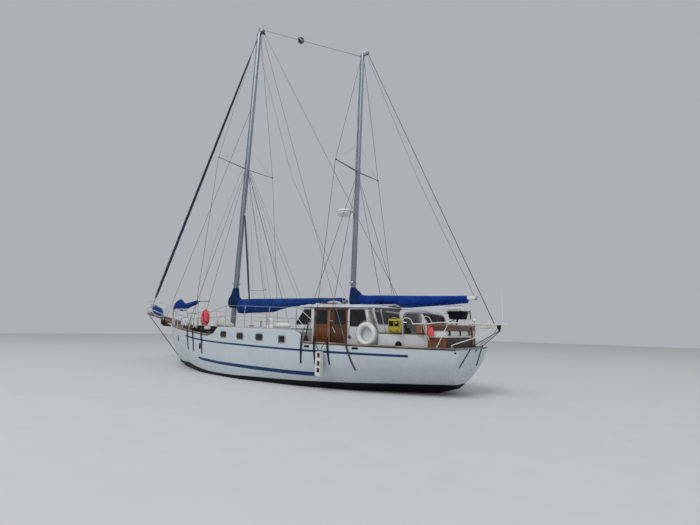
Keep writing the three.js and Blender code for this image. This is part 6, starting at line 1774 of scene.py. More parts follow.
p = Piece("club_topping_lift", [ROPED], body="club_boom", slot="wire")
p.add(tube([(5.26, 0, 2.67), (4.3, 0, 5.6), (mx(8.6) + .12, 0, 8.6)], 0.0035, 6))
p.add(tube([(5.26, 0, 2.63), (5.28, 0.02, 2.40), (5.20, 0.05, 2.22), (5.12, .06, 2.12)], 0.006, 6, smooth=5))
p.done()

# ------------------------------------------------------------- radar
refine("radar", PLASTIC, 0.004, 30)
p = Piece("radar_seams", [RUBBER, STEEL, LED], slot="white_plastic")
p.add(lathe([(0.2862, -0.004), (0.2875, 0.0), (0.2862, 0.004)], (-3.02, 0, 5.365), (0, 0, 1), 48, wrap=True), 0)
p.done()

# ------------------------------------------------------------ deck hatches
refine("fore_hatch", HOUSE, 0.006, 30)
refine("deck_hatch", HOUSE, 0.006, 30)
p = Piece("fore_hatch_pane", [DGLASS, STEEL], body="fore_hatch", slot="gelcoat")
p.add(bx(3.36, 3.84, -0.235, 0.235, 1.2588, 1.2625, 0.0015), 0)
p.add(tube([(3.36, -0.06, 1.262), (3.36, -0.06, 1.285), (3.36, 0.06, 1.285), (3.36, 0.06, 1.262)], 0.007, 8, smooth=3), 1)
p.done()
p = Piece("deck_hatch_pane", [DGLASS, STEEL], body="deck_hatch", slot="gelcoat")
p.add(bx(-1.40, -0.90, -0.24, 0.24, 1.6295, 1.6335, 0.0015), 0)
p.add(tube([(-1.39, -0.06, 1.632), (-1.39, -0.06, 1.655), (-1.39, 0.06, 1.655), (-1.39, 0.06, 1.632)], 0.007, 8, smooth=3), 1)
p.done()

# --------------------------------------------------------- bow and foredeck
refine("bowsprit_platform", TEAKDK, 0.006, 40)
refine("windlass", GALV, 0.010, 30, 3)
RUSTY = metal("rusted_galvanising", (0.16, 0.115, 0.075), (0.55, 0.75), 0.3, rust=((0.20, 0.085, 0.030), 0.75))
refine("anchor", RUSTY, 0.006, 30)
for s, w in ((1, "port"), (-1, "starboard")):
    p = Piece("bow_rail_" + w, [RAILW, WIRE], slot="stainless")
    top = [(6.96, .42, 2.165), (6.60, .495, 2.158), (6.30, .56, 2.170), (6.0, .685, 2.238), (5.76, .80, 2.258), (5.0, 1.14, 2.246), (4.04, 1.49, 2.220), (3.3, 1.70, 2.20), (2.92, 1.785, 2.19), (2.83, 1.805, 2.155), (2.80, 1.815, 2.06), (2.80, 1.82, 1.46)]
    mid = [(6.96, .42, 1.95), (6.25, .57, 1.93), (5.76, .80, 1.915), (5.0, 1.14, 1.895), (4.04, 1.49, 1.865), (3.3, 1.70, 1.84), (2.80, 1.82, 1.825)]
    f = lambda L: [(x, s * y, z) for x, y, z in L]
    p.add(tube(f(top), 0.017, 12, smooth=5), 0).add(tube(f(mid), 0.011, 10, smooth=5), 0)
    for x in (6.25, 5.35, 4.45, 3.60):
        y = sheerY(x) - 0.055
        zt = curve_at([[q[0], q[2]] for q in top[:9]], x)
        yt = curve_at([[q[0], q[1]] for q in top[:9]], x)
        p.add(tube([(x, s * y, sheerZ(x) + 0.02), (x, s * yt, zt)], 0.0145, 12), 0)
        p.add(lathe([(0.036, 0), (0.036, 0.006), (0.018, 0.014), (0.014, 0.05)], (x, s * y, sheerZ(x) + 0.018), (0, 0, 1), 18), 0)
    p.done(45)
    # lifelines between the rail's end, the shrouds and the stanchions
    p = Piece("lifelines_" + w, [WIRE, STEEL, ROPE], slot="wire")
    for a, b in (((2.80, 1.815, 2.06), (2.33, 1.985, 2.03)), ((2.33, 1.985, 2.03), (1.57, 2.03, 1.965)), ((1.57, 2.03, 1.965), (0.20, 2.085, 2.262)),
                 ((2.80, 1.82, 1.825), (0.20, 2.085, 1.92)), ((-4.10, 1.915, 1.79), (-6.05, 1.405, 1.782)), ((-6.05, 1.405, 1.782), (-6.86, 1.06, 1.735)),
                 ((-3.02, 2.045, 2.155), (-3.36, 2.02, 2.02)), ((-3.02, 2.045, 1.86), (-3.35, 2.03, 1.78))):
        a, b = Vector((a[0], s * a[1], a[2])), Vector((b[0], s * b[1], b[2]))
        p.add(tube([a, (a + b) / 2 - Vector((0, 0, 0.006 * (a - b).length)), b], 0.0045, 6, smooth=4), 0)
        p.add(tube([a + (b - a) * 0.02, a + (b - a) * 0.02 + (b - a).normalized() * 0.09], 0.008, 8), 1)
    p.done()
# anchor chain along the platform to the windlass, links laid alternately
p = Piece("anchor_chain", GALV, slot="galvanised")
path = [(6.05, 0.20, WELL_DECK(6.1) + 0.29), (6.25, 0.17, WELL_DECK(6.25) + 0.285), (6.62, 0.09, 1.745), (6.90, 0.06, spritZ(6.9) + 0.085), (7.6, 0.05, spritZ(7.6) + 0.085), (8.5, 0.04, spritZ(8.5) + 0.085), (9.35, 0.02, spritZ(9.35) + 0.09)]
C_ = catmull(path, 14)
acc, last, k = 0.0, np.array(C_[0], float), 0
for q in C_[1:]:
    q = np.array(q, float)
    seg = np.linalg.norm(q - last)
    while acc + seg >= 0.038:
        t = (0.038 - acc) / seg
        last = last + (q - last) * t
        seg = np.linalg.norm(q - last)
        acc = 0
        d = (q - last) / (np.linalg.norm(q - last) + 1e-9)
        up_ = np.array([0, 0, 1.0]) if k % 2 else np.cross(d, [0, 0, 1.0])
        link = [last + d * 0.026 * cos(a) + up_ * 0.015 * sin(a) for a in np.linspace(0, 2 * pi, 11)[:-1]]
        p.add(tube(link, 0.0048, 5, closed=True))
        k += 1
    acc += seg
    last = q
p.done(60)
p = Piece("bow_roller_and_cleats", [STEEL, BLACKP, BRONZE], slot="stainless")
p.add(bx(9.45, 9.86, -0.060, -0.052, 2.10, 2.245, 0.003), 0).add(bx(9.45, 9.86, 0.052, 0.060, 2.10, 2.245, 0.003), 0)
p.add(lathe([(0.020, -0.05), (0.045, -0.048), (0.030, 0), (0.045, 0.048), (0.020, 0.05)], (9.76, 0, 2.19), (0, 1, 0), 22), 1)


def cleat(p, c, d, L=0.24, h=0.055, m=0, up=(0, 0, 1)):
    c, d, up = Vector(c), Vector(d).normalized(), Vector(up)
    p.add(tube([c + d * (-L / 2) + up * (h * 0.98), c - d * (L * .3) + up * h, c + up * (h * 0.94), c + d * (L * .3) + up * h, c + d * (L / 2) + up * (h * 0.98)], [0.006, .012, .014, .012, .006], 10, smooth=3), m)
    for k in (-1, 1):
        p.add(tube([c + d * (k * L * 0.13), c + d * (k * L * 0.11) + up * h], [0.016, 0.011], 10), m)
    p.add(lathe([(0.05, 0), (0.05, 0.005), (0.02, 0.010)], c, up, 16), m)


for s in (1, -1):
    cleat(p, (5.30, s * 0.62, WELL_DECK(5.3) + 0.008), (1, 0, 0), 0.28, 0.07)
    cleat(p, (1.75, s * 1.70, WELL_DECK(1.75) + 0.008), (1, 0, 0), 0.26, 0.06)
    cleat(p, (-3.55, s * 1.93, 1.008), (1, -0.1, 0), 0.24, 0.055)
    cleat(p, (-6.60, s * (coamY(-6.60) + 0.0), 1.008), (1, -0.3 * s, 0), 0.24, 0.055)
p.done(40)
# quilted dark cloth lashed inside the pulpit's port side, in its white frame
p = Piece("pulpit_bag", [BLUE, RAILW], slot="dark_canvas")
PB = [(8.92, 2.38), (8.72, 2.55), (7.66, 2.30), (7.57, 2.02), (8.02, 2.00), (8.72, 2.14)]
cx_, cz_ = sum(q[0] for q in PB) / 6, sum(q[1] for q in PB) / 6
rim = rounded(PB, 0.06, 4)
yp = lambda x: 0.30 + (8.6 - x) * 0.055
for sg in (1,):
    rings = []
    for k, (f_, dy) in enumerate(((0.02, 0.055), (0.35, 0.052), (0.62, 0.046), (0.82, 0.034), (0.95, 0.016), (1.0, 0.0), (0.95, -0.016), (0.82, -0.030), (0.5, -0.040), (0.02, -0.044))):
        ring = []
        for (x, z) in rim:
            xx, zz = cx_ + (x - cx_) * f_, cz_ + (z - cz_) * f_
            w = 1 + 0.4 * noise.noise(Vector((xx * 9, zz * 9, 2)))
            ring.append((xx, yp(xx) + dy * w, zz))
        rings.append(ring)
    p.add(loft(rings), 0)
p.add(tube([(x, yp(x), z) for x, z in rounded(poly_offset(PB, 0.020), 0.07, 4)], 0.019, 8, closed=True), 1)
for (x, z, zt) in ((8.70, 2.545, 2.61), (7.72, 2.32, 2.44), (8.66, 2.14, 2.12), (7.62, 2.03, 2.08)):
    p.add(tube([(x, yp(x), z), (x + 0.01, yp(x) + 0.02, (z + zt) / 2), (x, 0.355, zt)], 0.005, 6, smooth=4), 1)
p.done(60)

# gear lashed along the port side of the well deck
def soft(name, mats, slot=None, body=YACHT):
    return Piece(name, mats, body, slot)


# white fender standing by the shrouds
def fender(p, a, b, r, m=0, rope=1):
    a, b = Vector(a), Vector(b)
    L = (b - a).length
    prof = [(0.010, -0.03), (0.022, -0.025), (0.024, 0.0), (r * .55, 0.012), (r * .9, 0.04), (r, 0.085), (r * 1.0, L * .5), (r, L - .085), (r * .9, L - .04), (r * .55, L - .012), (0.024, L), (0.022, L + .03), (0.010, L + .035)]
    p.add(lathe(prof, a, b - a, 28), m)
    for k in range(7):
        h = 0.11 + (L - 0.22) * k / 6
        p.add(lathe([(r - .001, h - .005), (r + .0022, h), (r - .001, h + .005)], a, b - a, 28, wrap=True), m)


p = Piece("fender_by_shrouds", [RINGC, ROPE, STEEL], slot="white_plastic")
fender(p, (2.455, 1.74, 1.53), (2.445, 1.75, 1.965), 0.070)
fender(p, (2.615, 1.75, 1.545), (2.625, 1.755, 1.77), 0.046)
p.add(tube([(2.445, 1.75, 1.995), (2.42, 1.83, 2.03), (2.36, 1.96, 2.03)], 0.006, 6, smooth=4), 1)
p.add(tube([(2.625, 1.755, 1.80), (2.62, 1.80, 1.83), (2.60, 1.83, 1.84)], 0.006, 6, smooth=4), 1)
for x, w, h in ((3.10, .070, .125), (2.845, .055, .125), (3.33, .06, .10)):      # thick white lines hung in bights
    for k, dy in enumerate((0, .035)):
        p.add(tube([(x + w * cos(a) * (1 - .12 * k), 1.745 + dy, 1.715 + h * sin(a)) for a in np.linspace(0, 2 * pi, 17)[:-1]], .021, 10, closed=True), 0)
    p.add(tube([(x, 1.76, 1.83), (x, 1.775, 1.865)], .008, 8), 1)
fender(p, (-1.28, 1.22, 1.655), (-1.90, 1.20, 1.655), 0.068)
fender(p, (2.95, -1.55, 1.24), (2.30, -1.62, 1.24), 0.078)
p.done(50)
p = Piece("rope_coils", [ROPE, ROPED], slot="white_plastic")
for (x, y, z, r, seed) in ((3.62, 1.66, 1.72, .070, 1), (-3.42, 1.93, 1.60, .08, 3), (-3.42, -1.93, 1.60, .08, 4), (3.05, -1.74, 1.72, .075, 5)):
    loop = []
    for i in range(150):
        a = 2 * pi * 6 * i / 150
        k = 1 + 0.06 * noise.noise(Vector((i * .11, seed, 0)))
        loop.append((x + r * .62 * cos(a) * k, y + 0.016 * noise.noise(Vector((i * .05, seed, 5))) + (i / 150 - .5) * 0.035, z + r * 1.7 * sin(a) * k))
    p.add(tube(loop, 0.0068, 6), 0)
    p.add(tube([(x + 0.035 * cos(a), y + 0.028 * sin(a), z + 0.05) for a in np.linspace(0, 2 * pi, 13)[:-1]], 0.008, 6, closed=True), 0)
    p.add(tube([(x, y, z + r * 1.7), (x, y + .01 * (1 if y > 0 else -1), z + r * 2.5)], 0.006, 6), 0)
for (x, y, z, r) in ((1.45, -1.2, WELL_DECK(1.45) + .02, .16), (-5.1, 1.6, 1.02, .12)):
    for i in range(5):
        rr_ = r - 0.016 * (i % 3)
        p.add(tube([(x + rr_ * cos(a), y + rr_ * sin(a), z + 0.012 * i + .004 * sin(3 * a)) for a in np.linspace(0, 2 * pi, 29)[:-1]], 0.0075, 6, closed=True), 0)
p.done(60)

# horseshoe buoy in a coral cover, hung on the shrouds
p = Piece("horseshoe_buoy", [CORAL, NAVY, ROPE, SAILC], slot="ring_cover")
hb = []
for i in range(61):
    a = rad(-74 + 328 * i / 60)
    hb.append((1.71 - 0.132 * cos(a), 1.875 + 0.02 * cos(a), 1.853 + 0.178 * sin(a)))
hb[0] = (hb[0][0] + .005, hb[0][1], hb[0][2] - .03)
hb[-1] = (hb[-1][0] - .005, hb[-1][1], hb[-1][2] - .03)
rads = []
N = len(hb)
ringsH = []
for i in range(N):
    prev, nxt = Vector(hb[max(0, i - 1)]), Vector(hb[min(N - 1, i + 1)])
    T = (nxt - prev).normalized()
    B_ = Vector((0.12, 1, 0)).normalized()
    Nn_ = T.cross(B_).normalized()
    e = min(i, N - 1 - i) / 3
    r = 0.110 * (1 if e >= 1 else sqrt(max(0.02, 1 - (1 - e) ** 2)))
    ring = []
    for j in range(20):
        t = 2 * pi * j / 20
        w = 1 + 0.07 * noise.noise(Vector((i * .22, cos(t) * 1.4, sin(t) * 1.4))) + 0.025 * sin(i * 1.35)
        ring.append(Vector(hb[i]) + (Nn_ * cos(t) * r + B_ * sin(t) * r * 0.78) * w)
    ringsH.append(ring)
p.add(loft(ringsH), 0)
for i in (8, 30, 52):
    c0 = Vector(hb[i])
    p.add(tube([c0 + (Vector(v) - c0) * 1.03 for v in ringsH[i]], 0.012, 6, closed=True, flat=(1, 1)), 1)
p.add(tube([(1.71, 1.875, 2.13), (1.68, 1.90, 2.19), (1.60, 1.95, 2.22)], 0.006, 6, smooth=4), 2)
p.add(tube([hb[2], (1.71, 1.84, 1.66), hb[-3]], 0.008, 6, smooth=5), 1)
p.add(blob((1.47, 1.905, 1.52), .15, .07, .062, 22, 12, 2.4, .25, 7), 3)
p.add(blob((1.60, 1.885, 1.50), .09, .06, .045, 18, 10, 2.2, .3, 9), 3)
p.done(60)

# folded tarpaulin lashed at the break of the raised deck
p = Piece("folded_tarpaulin", [SAILC, ROPE, OAK], slot="gelcoat")
rr = []
for i in range(34):
    u = i / 33
    x = lerp(1.02, 0.26, u)
    h = 0.30 * (1 - u) ** 0.8 + 0.075
    zb = RAISED(x) + 0.012
    ring = []
    for j in range(30):
        t = 2 * pi * j / 30
        c, s = cos(t), sin(t)
        y = 1.80 + (0.15 - 0.02 * u) * math.copysign(abs(c) ** .6, c)
        z = zb + h * (0.5 + 0.5 * math.copysign(abs(s) ** .75, s))
        n = noise.noise(Vector((x * 6, y * 9, z * 11)))
        f = 0.018 * n + 0.008 * sin(34 * z + 5 * x)
        e = min(1, min(u, 1 - u) / 0.08) ** .5
        ring.append((x + 0.01 * n, 1.80 + (y - 1.80) * (0.75 + .25 * e) + c * f, max(zb, zb + (z - zb) * (0.7 + .3 * e) + s * f * .7)))
    rr.append(ring)
p.add(loft(rr), 0)
for i in (8, 21):
    c0 = Vector((rr[i][0][0], 1.80, sum(v[2] for v in rr[i]) / 30))
    p.add(tube([c0 + (Vector(v) - c0) * 1.03 for v in rr[i]], 0.006, 6, closed=True), 1)
p.done(60)

# cowl vent and box on the raised deck, mushroom vents
p = Piece("deck_vents", [PLASTIC, STEEL, BLACKP], slot="white_plastic")
for s in (1, -1):
    x, y = -1.05, s * 1.2
    z = RAISED(x)
    p.add(bx(x - .15, x + .15, y - .10, y + .10, z - .002, z + .11, .02, 3), 0)
    pts = [(x, y, z + .11), (x, y, z + .18), (x + .01, y, z + .235), (x + .05, y, z + .275), (x + .105, y, z + .285)]
    p.add(tube(pts, [0.046, 0.048, 0.055, 0.070, 0.088], 20, smooth=4), 0)
    p.add(lathe([(.070, 0), (.088, .002), (.090, .008), (.078, .010), (.060, -.02), (.002, -.05)], (x + .105, y, z + .285), (1, 0, .1), 22), 2)
    x, y = 0.55, s * 0.75
    p.add(lathe([(.05, 0), (.052, .03), (.095, .045), (.10, .055), (.07, .075), (.02, .083)], (x, y, RAISED(x) + .006), (0, 0, 1), 24), 1)
    p.add(lathe([(.04, 0), (.042, .02), (.08, .032), (.085, .04), (.06, .055), (.01, .06)], (-2.02, s * 1.20, RAISED(-2.0) + .006), (0, 0, 1), 24), 0)
p.done(45)
# side fittings: clam vents, fillers and the small plates on the topsides
p = Piece("side_fittings", [BLACKP, STEEL, PLASTIC], slot="dark_canvas")
for s in (1, -1):
    for (x, z) in ((-0.98, 1.28), (-1.10, 1.33), (-1.16, 1.255)):
        y = sheerY(x) + 0.001
        p.add(lathe([(.020, 0), (.020, .006), (.012, .010), (.012, .004), (.002, .004)], (x, s * y, z), (0, s, 0), 14), 1)
    for (c, r) in (((-2.82, 1.4515, 1.235), .105), ((-5.87, coamY(-5.87) + .0015, 1.215), .098)):
        rr = []
        for i in range(9):
            a = pi / 2 * i / 8
            rr.append([(c[0] + r * cos(a) * cos(t), s * (c[1] + 0.055 * sin(a)), c[2] + r * 1.05 * cos(a) * max(0, sin(t)) - (0 if sin(t) >= 0 else 0.004)) for t in np.linspace(-0.12, pi + .12, 22)])
        p.add(loft(rr), 0)
        p.add(bx(c[0] - r, c[0] + r, s * (c[1] - .0008), s * (c[1] + 0.008), c[2] - .012, c[2] + .004, .002), 0)
    p.add(lathe([(.056, 0), (.056, .010), (.048, .018), (.040, .016), (.038, .008), (.002, .008)], (-4.458, s * 1.4515, 1.384), (0, s, 0), 26), 1)
    p.add(lathe([(.026, .008), (.026, .016), (.012, .022), (.002, .023)], (-4.458, s * 1.4515, 1.384), (0, s, 0), 20), 0)
p.done(45)

# deck mop standing on the rail's forward end, its handle against the side
p = Piece("deck_mop", [BLACKP, ROPED], slot="dark_canvas")
rings = []
for i in range(15):
    z = lerp(1.241, 1.402, i / 14)
    r = curve_at([[1.241, .070], [1.262, .074], [1.32, .062], [1.37, .044], [1.395, .026], [1.402, .016]], z)
    rings.append([(-3.362 + r * cos(a) * (1 + .10 * sin(9 * a)), 1.985 + r * .62 * sin(a) * (1 + .10 * sin(9 * a)), z) for a in np.linspace(0, 2 * pi, 37)[:-1]])
p.add(loft(rings), 1)
p.add(tube([(-3.358, 1.985, 1.39), (-3.40, 1.965, 1.69)], .0125, 10), 0)
p.done(50)

# -------------------------------------------------------------- roof gear
p = Piece("roof_gear", [GREYC, VARNL, PLASTIC, STEEL, ROPE, BLACKP], slot="grey_canvas")
for k, (y, w, t, x0, x1) in enumerate(((0.80, .14, .022, -2.76, -3.40), (0.80, .10, .020, -2.80, -3.36))):
    z = zr(-3.05, .8) + 0.036 + 0.012 + k * 0.022
    p.add(bx(x1, x0, y - w / 2, y + w / 2, z, z + t, .003), 1)
for x in (-2.86, -3.28):
    p.add(tube([(x, 0.80 + .085 * cos(a), zr(-3.05, .8) + .064 + .034 * sin(a)) for a in np.linspace(0, 2 * pi, 17)[:-1]], .005, 6, closed=True), 4)
rr = []
for i in range(40):
    u = i / 39
    x = lerp(-2.92, -3.44, u)
    r = 0.075 * sqrt(max(0.03, 1 - (2 * u - 1) ** 4))
    c = (x, 0.62 + .02 * sin(4 * u), zr(x, .62) + 0.036 + r * 0.82)
    rr.append([(c[0], c[1] + r * 1.5 * cos(t) * (1 + .10 * noise.noise(Vector((u * 7, cos(t), sin(t))))), c[2] + r * .85 * sin(t) * (1 + .16 * noise.noise(Vector((u * 9, sin(t), 4))))) for t in np.linspace(0, 2 * pi, 25)[:-1]])
p.add(loft(rr), 0)
for i in (7, 19, 32):
    c0 = Vector((rr[i][0][0], .62, sum(v[2] for v in rr[i]) / 24))
    p.add(tube([c0 + (Vector(v) - c0) * 1.03 for v in rr[i]], .005, 6, closed=True), 4)
for (x, y) in ((-2.66, 0.80), (-2.66, -0.80)):
    p.add(lathe([(.03, 0), (.032, .035), (.070, .045), (.074, .060), (.05, .085), (.01, .092)], (x, y, zr(x, .8) + 0.0), (0, 0, 1), 24), 2)
p.add(tube([(-3.42, 0.50, zr(-3.4, .5) + .03), (-3.41, .505, 2.75), (-3.36, .51, 3.08)], [.006, .004, .002], 6), 2)
p.add(lathe([(.020, 0), (.022, .03), (.010, .05)], (-3.42, .50, zr(-3.4, .5) + .034), (0, 0, 1), 12), 3)
# horn and a deck light on the roof's forward edge
p.add(lathe([(.012, 0), (.014, .16), (.020, .24), (.045, .30), (.046, .303), (.030, .26)], (-2.98, -0.52, zr(-2.98, .52) + .085), (1, 0, 0), 18), 3)
p.add(bx(-2.90, -2.86, -.54, -.50, zr(-2.9, .5) + .03, zr(-2.9, .5) + .09, .004), 3)
p.done(50)

# ------------------------------------------------------------------- stern
p = Piece("life_ring_cover", [RINGC, ROPE, CORAL], slot="ring_cover")
RC = Vector((-5.065, 1.535, 1.467))
ringT = []
for i in range(72):
    a = 2 * pi * i / 72
    ringT.append((RC.x + .245 * cos(a), RC.y, RC.z + .245 * sin(a)))
rr = []
for i in range(72):
    a = 2 * pi * i / 72
    d = Vector((cos(a), 0, sin(a)))
    c = RC + d * .245
    pinch = max(math.exp(-(((a - b + pi) % (2 * pi) - pi) / .05) ** 2) for b in (pi / 4, 3 * pi / 4, 5 * pi / 4, 7 * pi / 4))
    rr.append([c + (d * cos(t) + Vector((0, sin(t), 0))) * .0625 * (1 - .05 * pinch + .02 * noise.noise(Vector((cos(a) * 3, sin(a) * 3, cos(t) * 1.5 + sin(t))))) for t in np.linspace(0, 2 * pi, 21)[:-1]])
p.add(loft(rr, wrap=True), 0)
for b in (pi / 4, 3 * pi / 4, 5 * pi / 4, 7 * pi / 4):
    seg_ = []
    for db in np.linspace(-.085, .085, 5):
        a = b + db
        d = Vector((cos(a), 0, sin(a)))
        c = RC + d * .245
        seg_.append([c + (d * cos(t) + Vector((0, sin(t), 0))) * .0645 for t in np.linspace(0, 2 * pi, 21)[:-1]])
    p.add(loft(seg_), 0)
rope_ = []
for k in range(4):
    a0, a1 = pi / 4 + k * pi / 2, pi / 4 + (k + 1) * pi / 2
    for i in range(14):
        a = lerp(a0, a1, i / 14)
        rope_.append(RC + Vector((cos(a), 0, sin(a))) * (.314 + .022 * sin(pi * i / 14)) + Vector((0, .012, 0)))
p.add(tube(rope_, .0062, 6, closed=True), 1)
p.add(tube([RC + Vector((0.02, 0, .315)), RC + Vector((0.0, -.04, .40)), RC + Vector((-.03, -.083, .44))], .006, 6, smooth=4), 1)
p.done(60, replaces=("life_ring",))

# soft rescue bag with piped edges and mesh pockets
p = Piece("rescue_bag_soft", [YELLOW, BLACKP, ROPE], slot="yellow_cloth")
x0, x1, z0, z1, yb, yf = -5.985, -5.615, 1.53, 1.865, 1.325, 1.392
nx_, nz_ = 22, 22
front, back = [], []
for i in range(nx_ + 1):
    fr_, bk_ = [], []
    for j in range(nz_ + 1):
        u, v = i / nx_, j / nz_
        e = (min(1, min(u, 1 - u) / .16) * min(1, min(v, 1 - v) / .16))
        e = sqrt(max(0, e))
        x, z = lerp(x0, x1, u), lerp(z0, z1, v)
        cx = 1 - 0.03 * (1 - e)
        n = noise.noise(Vector((x * 9, z * 9, 3))) * .008
        fr_.append((lerp((x0 + x1) / 2, x, cx), yb + .030 + (yf - yb - .030) * e + n * e, lerp((z0 + z1) / 2, z, cx)))
        bk_.append((lerp((x0 + x1) / 2, x, cx), yb + .018 - .018 * e, lerp((z0 + z1) / 2, z, cx)))
    front.append(fr_)
    back.append(bk_)
V_ = [v for r in front for v in r] + [v for r in back for v in r]
k_ = (nx_ + 1) * (nz_ + 1)
F_ = []
for i in range(nx_):
    for j in range(nz_):
        a = i * (nz_ + 1) + j
        q = (a, a + 1, a + nz_ + 2, a + nz_ + 1)
        F_ += [q, tuple(k_ + t for t in reversed(q))]
for i in range(nx_):
    for j in (0, nz_):
        a = i * (nz_ + 1) + j
        F_.append((a, a + nz_ + 1, k_ + a + nz_ + 1, k_ + a))
for j in range(nz_):
    for i in (0, nx_):
        a = i * (nz_ + 1) + j
        F_.append((a, a + 1, k_ + a + 1, k_ + a))
p.add((V_, F_), 0)
for (a0, b0, a1, b1) in ((-5.945, 1.675, -5.812, 1.812), (-5.790, 1.675, -5.655, 1.812), (-5.93, 1.560, -5.875, 1.590), (-5.745, 1.560, -5.690, 1.590)):
    o = rounded([(a0, b0), (a1, b0), (a1, b1), (a0, b1)], .018, 4)
    p.add(prism(o, yf - .004, yf + .0065, "xz", .003), 1)
    p.add(tube([(x, yf + .007, z) for x, z in o], .0035, 6, closed=True), 0)
p.add(tube([(x, (yb + yf) / 2 - .006, z) for x, z in rounded([(x0 + .004, z0 + .004), (x1 - .004, z0 + .004), (x1 - .004, z1 - .004), (x0 + .004, z1 - .004)], .03, 5)], .006, 8, closed=True), 0)
p.add(bx(-5.96, -5.645, yf + .000, yf + .0045, 1.632, 1.650, .001), 0)
p.add(bx(-5.90, -5.835, yf + .006, yf + .0095, 1.745, 1.790, .001), 2)
p.add(tube([(-5.88, 1.36, 1.862), (-5.86, 1.385, 1.890), (-5.74, 1.385, 1.890), (-5.72, 1.36, 1.862)], .006, 6, smooth=4), 2)
p.done(60, replaces=("rescue_bag",))

# step fender: moulded steps in a long white fender, hung on two ropes
p = Piece("step_fender_moulded", [FEND, TEAK_DEEP_SHADE, ROPED, STEEL], slot="fender_cloth")
STEPS = [(0.849, 0.961), (0.643, 0.761), (0.480, 0.587)]
p.add(bx(-4.088, -3.907, 2.052, 2.147, .382, .998, .022, 3), 0)
p.add(bx(-4.088, -4.064, 2.125, 2.178, .384, .996, .009, 3), 0).add(bx(-3.968, -3.907, 2.125, 2.178, .384, .996, .016, 3), 0)
edges_ = [.384] + [v for a, b in reversed(STEPS) for v in (a, b)] + [.996]
for k in range(0, len(edges_), 2):
    p.add(bx(-4.074, -3.955, 2.125, 2.1772, edges_[k], edges_[k + 1], .008, 3), 0)
# the step recesses are near black: painted shade in the hollows
for a, b in STEPS:
    p.add(bx(-4.066, -3.966, 2.143, 2.151, a - .004, b + .004, .002), 1)
    p.add(bx(-4.066, -3.966, 2.146, 2.173, a - .002, a + .016, .005), 1)
    p.add(bx(-4.066, -3.966, 2.146, 2.160, b - .020, b + .002, .004), 1)
for x, xr, yr in ((-3.965, -3.80, 2.065), (-4.03, -4.145, 2.045)):
    p.add(lathe([(.013, -.004), (.013, .016), (.007, .020)], (x, 2.115, .996), (0, 0, 1), 14), 3)
    p.add(tube([(x, 2.115, 1.012), (lerp(x, xr, .5), 2.105, 1.13), (xr, yr, 1.242), (xr, yr - .06, 1.252), (xr, yr - .085, 1.215)], .0085, 8, smooth=4), 2)
p.done(40, replaces=("step_fender",))

p = Piece("stern_grill_unit", [PLASTIC, BLACKP, STEEL, RAILW], slot="white_plastic")
p.add(prism(rounded([(-7.235, 2.078), (-6.735, 2.078), (-6.745, 2.195), (-6.80, 2.212), (-7.17, 2.212), (-7.225, 2.195)], .025, 4), .055, .445, "xz", .014, 3), 0)
p.add(bx(-7.20, -6.765, .085, .425, 2.030, 2.068, .006), 1)
p.add(bx(-7.205, -6.765, .4435, .4485, 2.130, 2.146, .002), 2)
p.add(bx(-7.236, -6.734, .054, .4465, 2.080, 2.090, .002), 1)
p.add(tube([(-7.232, .447, 2.198), (-7.17, .447, 2.2125), (-6.80, .447, 2.2125), (-6.742, .447, 2.198)], .0045, 6), 1)
p.add(bx(-7.175, -6.795, .10, .42, 2.064, 2.082, .003), 1)
p.add(prism(rounded([(-7.185, 2.032), (-6.785, 2.032), (-6.815, 1.885), (-7.155, 1.885)], .02, 4), .105, .415, "xz", .008), 1)
p.add(tube([(-6.83, .455, 2.10), (-6.84, .475, 2.115), (-7.12, .475, 2.115), (-7.13, .455, 2.10)], .008, 8, smooth=4), 2)
p.add(tube([(-6.95, .86, 1.765), (-6.93, .26, 1.90)], .013, 10), 2)
p.add(tube([(-6.96, .30, 1.74), (-6.96, .27, 1.90)], .016, 12), 1).add(tube([(-6.90, .16, 1.76), (-6.99, .26, 1.89)], .011, 10), 1)
p.add(tube([(-7.235, .10, 2.10), (-7.245, .10, 1.885)], .014, 12), 1)
p.add(tube([(-6.61, .43, 2.135), (-6.74, .42, 2.13)], .011, 10), 3)
p.done(40, replaces=("stern_grill",))
p = Piece("stern_gear", [PLASTIC, STEEL, BLACKP, ORANGE, CORAL, VARNL, ROPE, LED, ROPED], slot="white_plastic")
# rope loops over the rail
p.add(tube([(-6.66, 1.19, 1.36), (-6.55, 1.22, 1.60), (-6.495, 1.21, 1.74)], .0085, 8, smooth=6), 6)
p.add(tube([(-6.60, 1.17, 1.78), (-6.555, 1.17, 1.87), (-6.57, 1.16, 1.80), (-6.63, 1.15, 1.745)], .0075, 8, smooth=6), 6)
for s in (1, -1):
    # winches on the coaming
    c = (-6.06, s * (coamY(-6.06) - .07), 1.5225)
    p.add(lathe([(.062, 0), (.065, .012), (.045, .022), (.040, .085), (.055, .10), (.052, .118), (.020, .122)], c, (0, 0, 1), 26), 1 if s < 0 else 2)
    cleat(p, (-6.33, s * (coamY(-6.33) - .07), 1.522), (1, -.35 * s, 0), .20, .045, 1)
p.add(tube([(-6.06 + .068 * cos(a) * (1 + .04 * sin(5 * a)), coamY(-6.06) - .07 + .068 * sin(a), 1.545 + .010 * (a / (2 * pi))) for a in np.linspace(0, 2 * pi * 4, 70)], .006, 6), 8)
p.add(bx(-6.46, -6.29, 1.02, 1.16, 1.5235, 1.715, .010), 5)
# float bag hung at the gallery's port end: two-tone
p.add(blob((-6.625, 1.135, 1.585), .034, .032, .145, 18, 14, 3.2, .05, 4), 3)
p.add(blob((-6.685, 1.125, 1.560), .050, .036, .110, 18, 14, 3.2, .05, 6), 4)
p.add(tube([(-6.66, 1.135, 1.70), (-6.66, 1.13, 1.735)], .006, 6), 6)
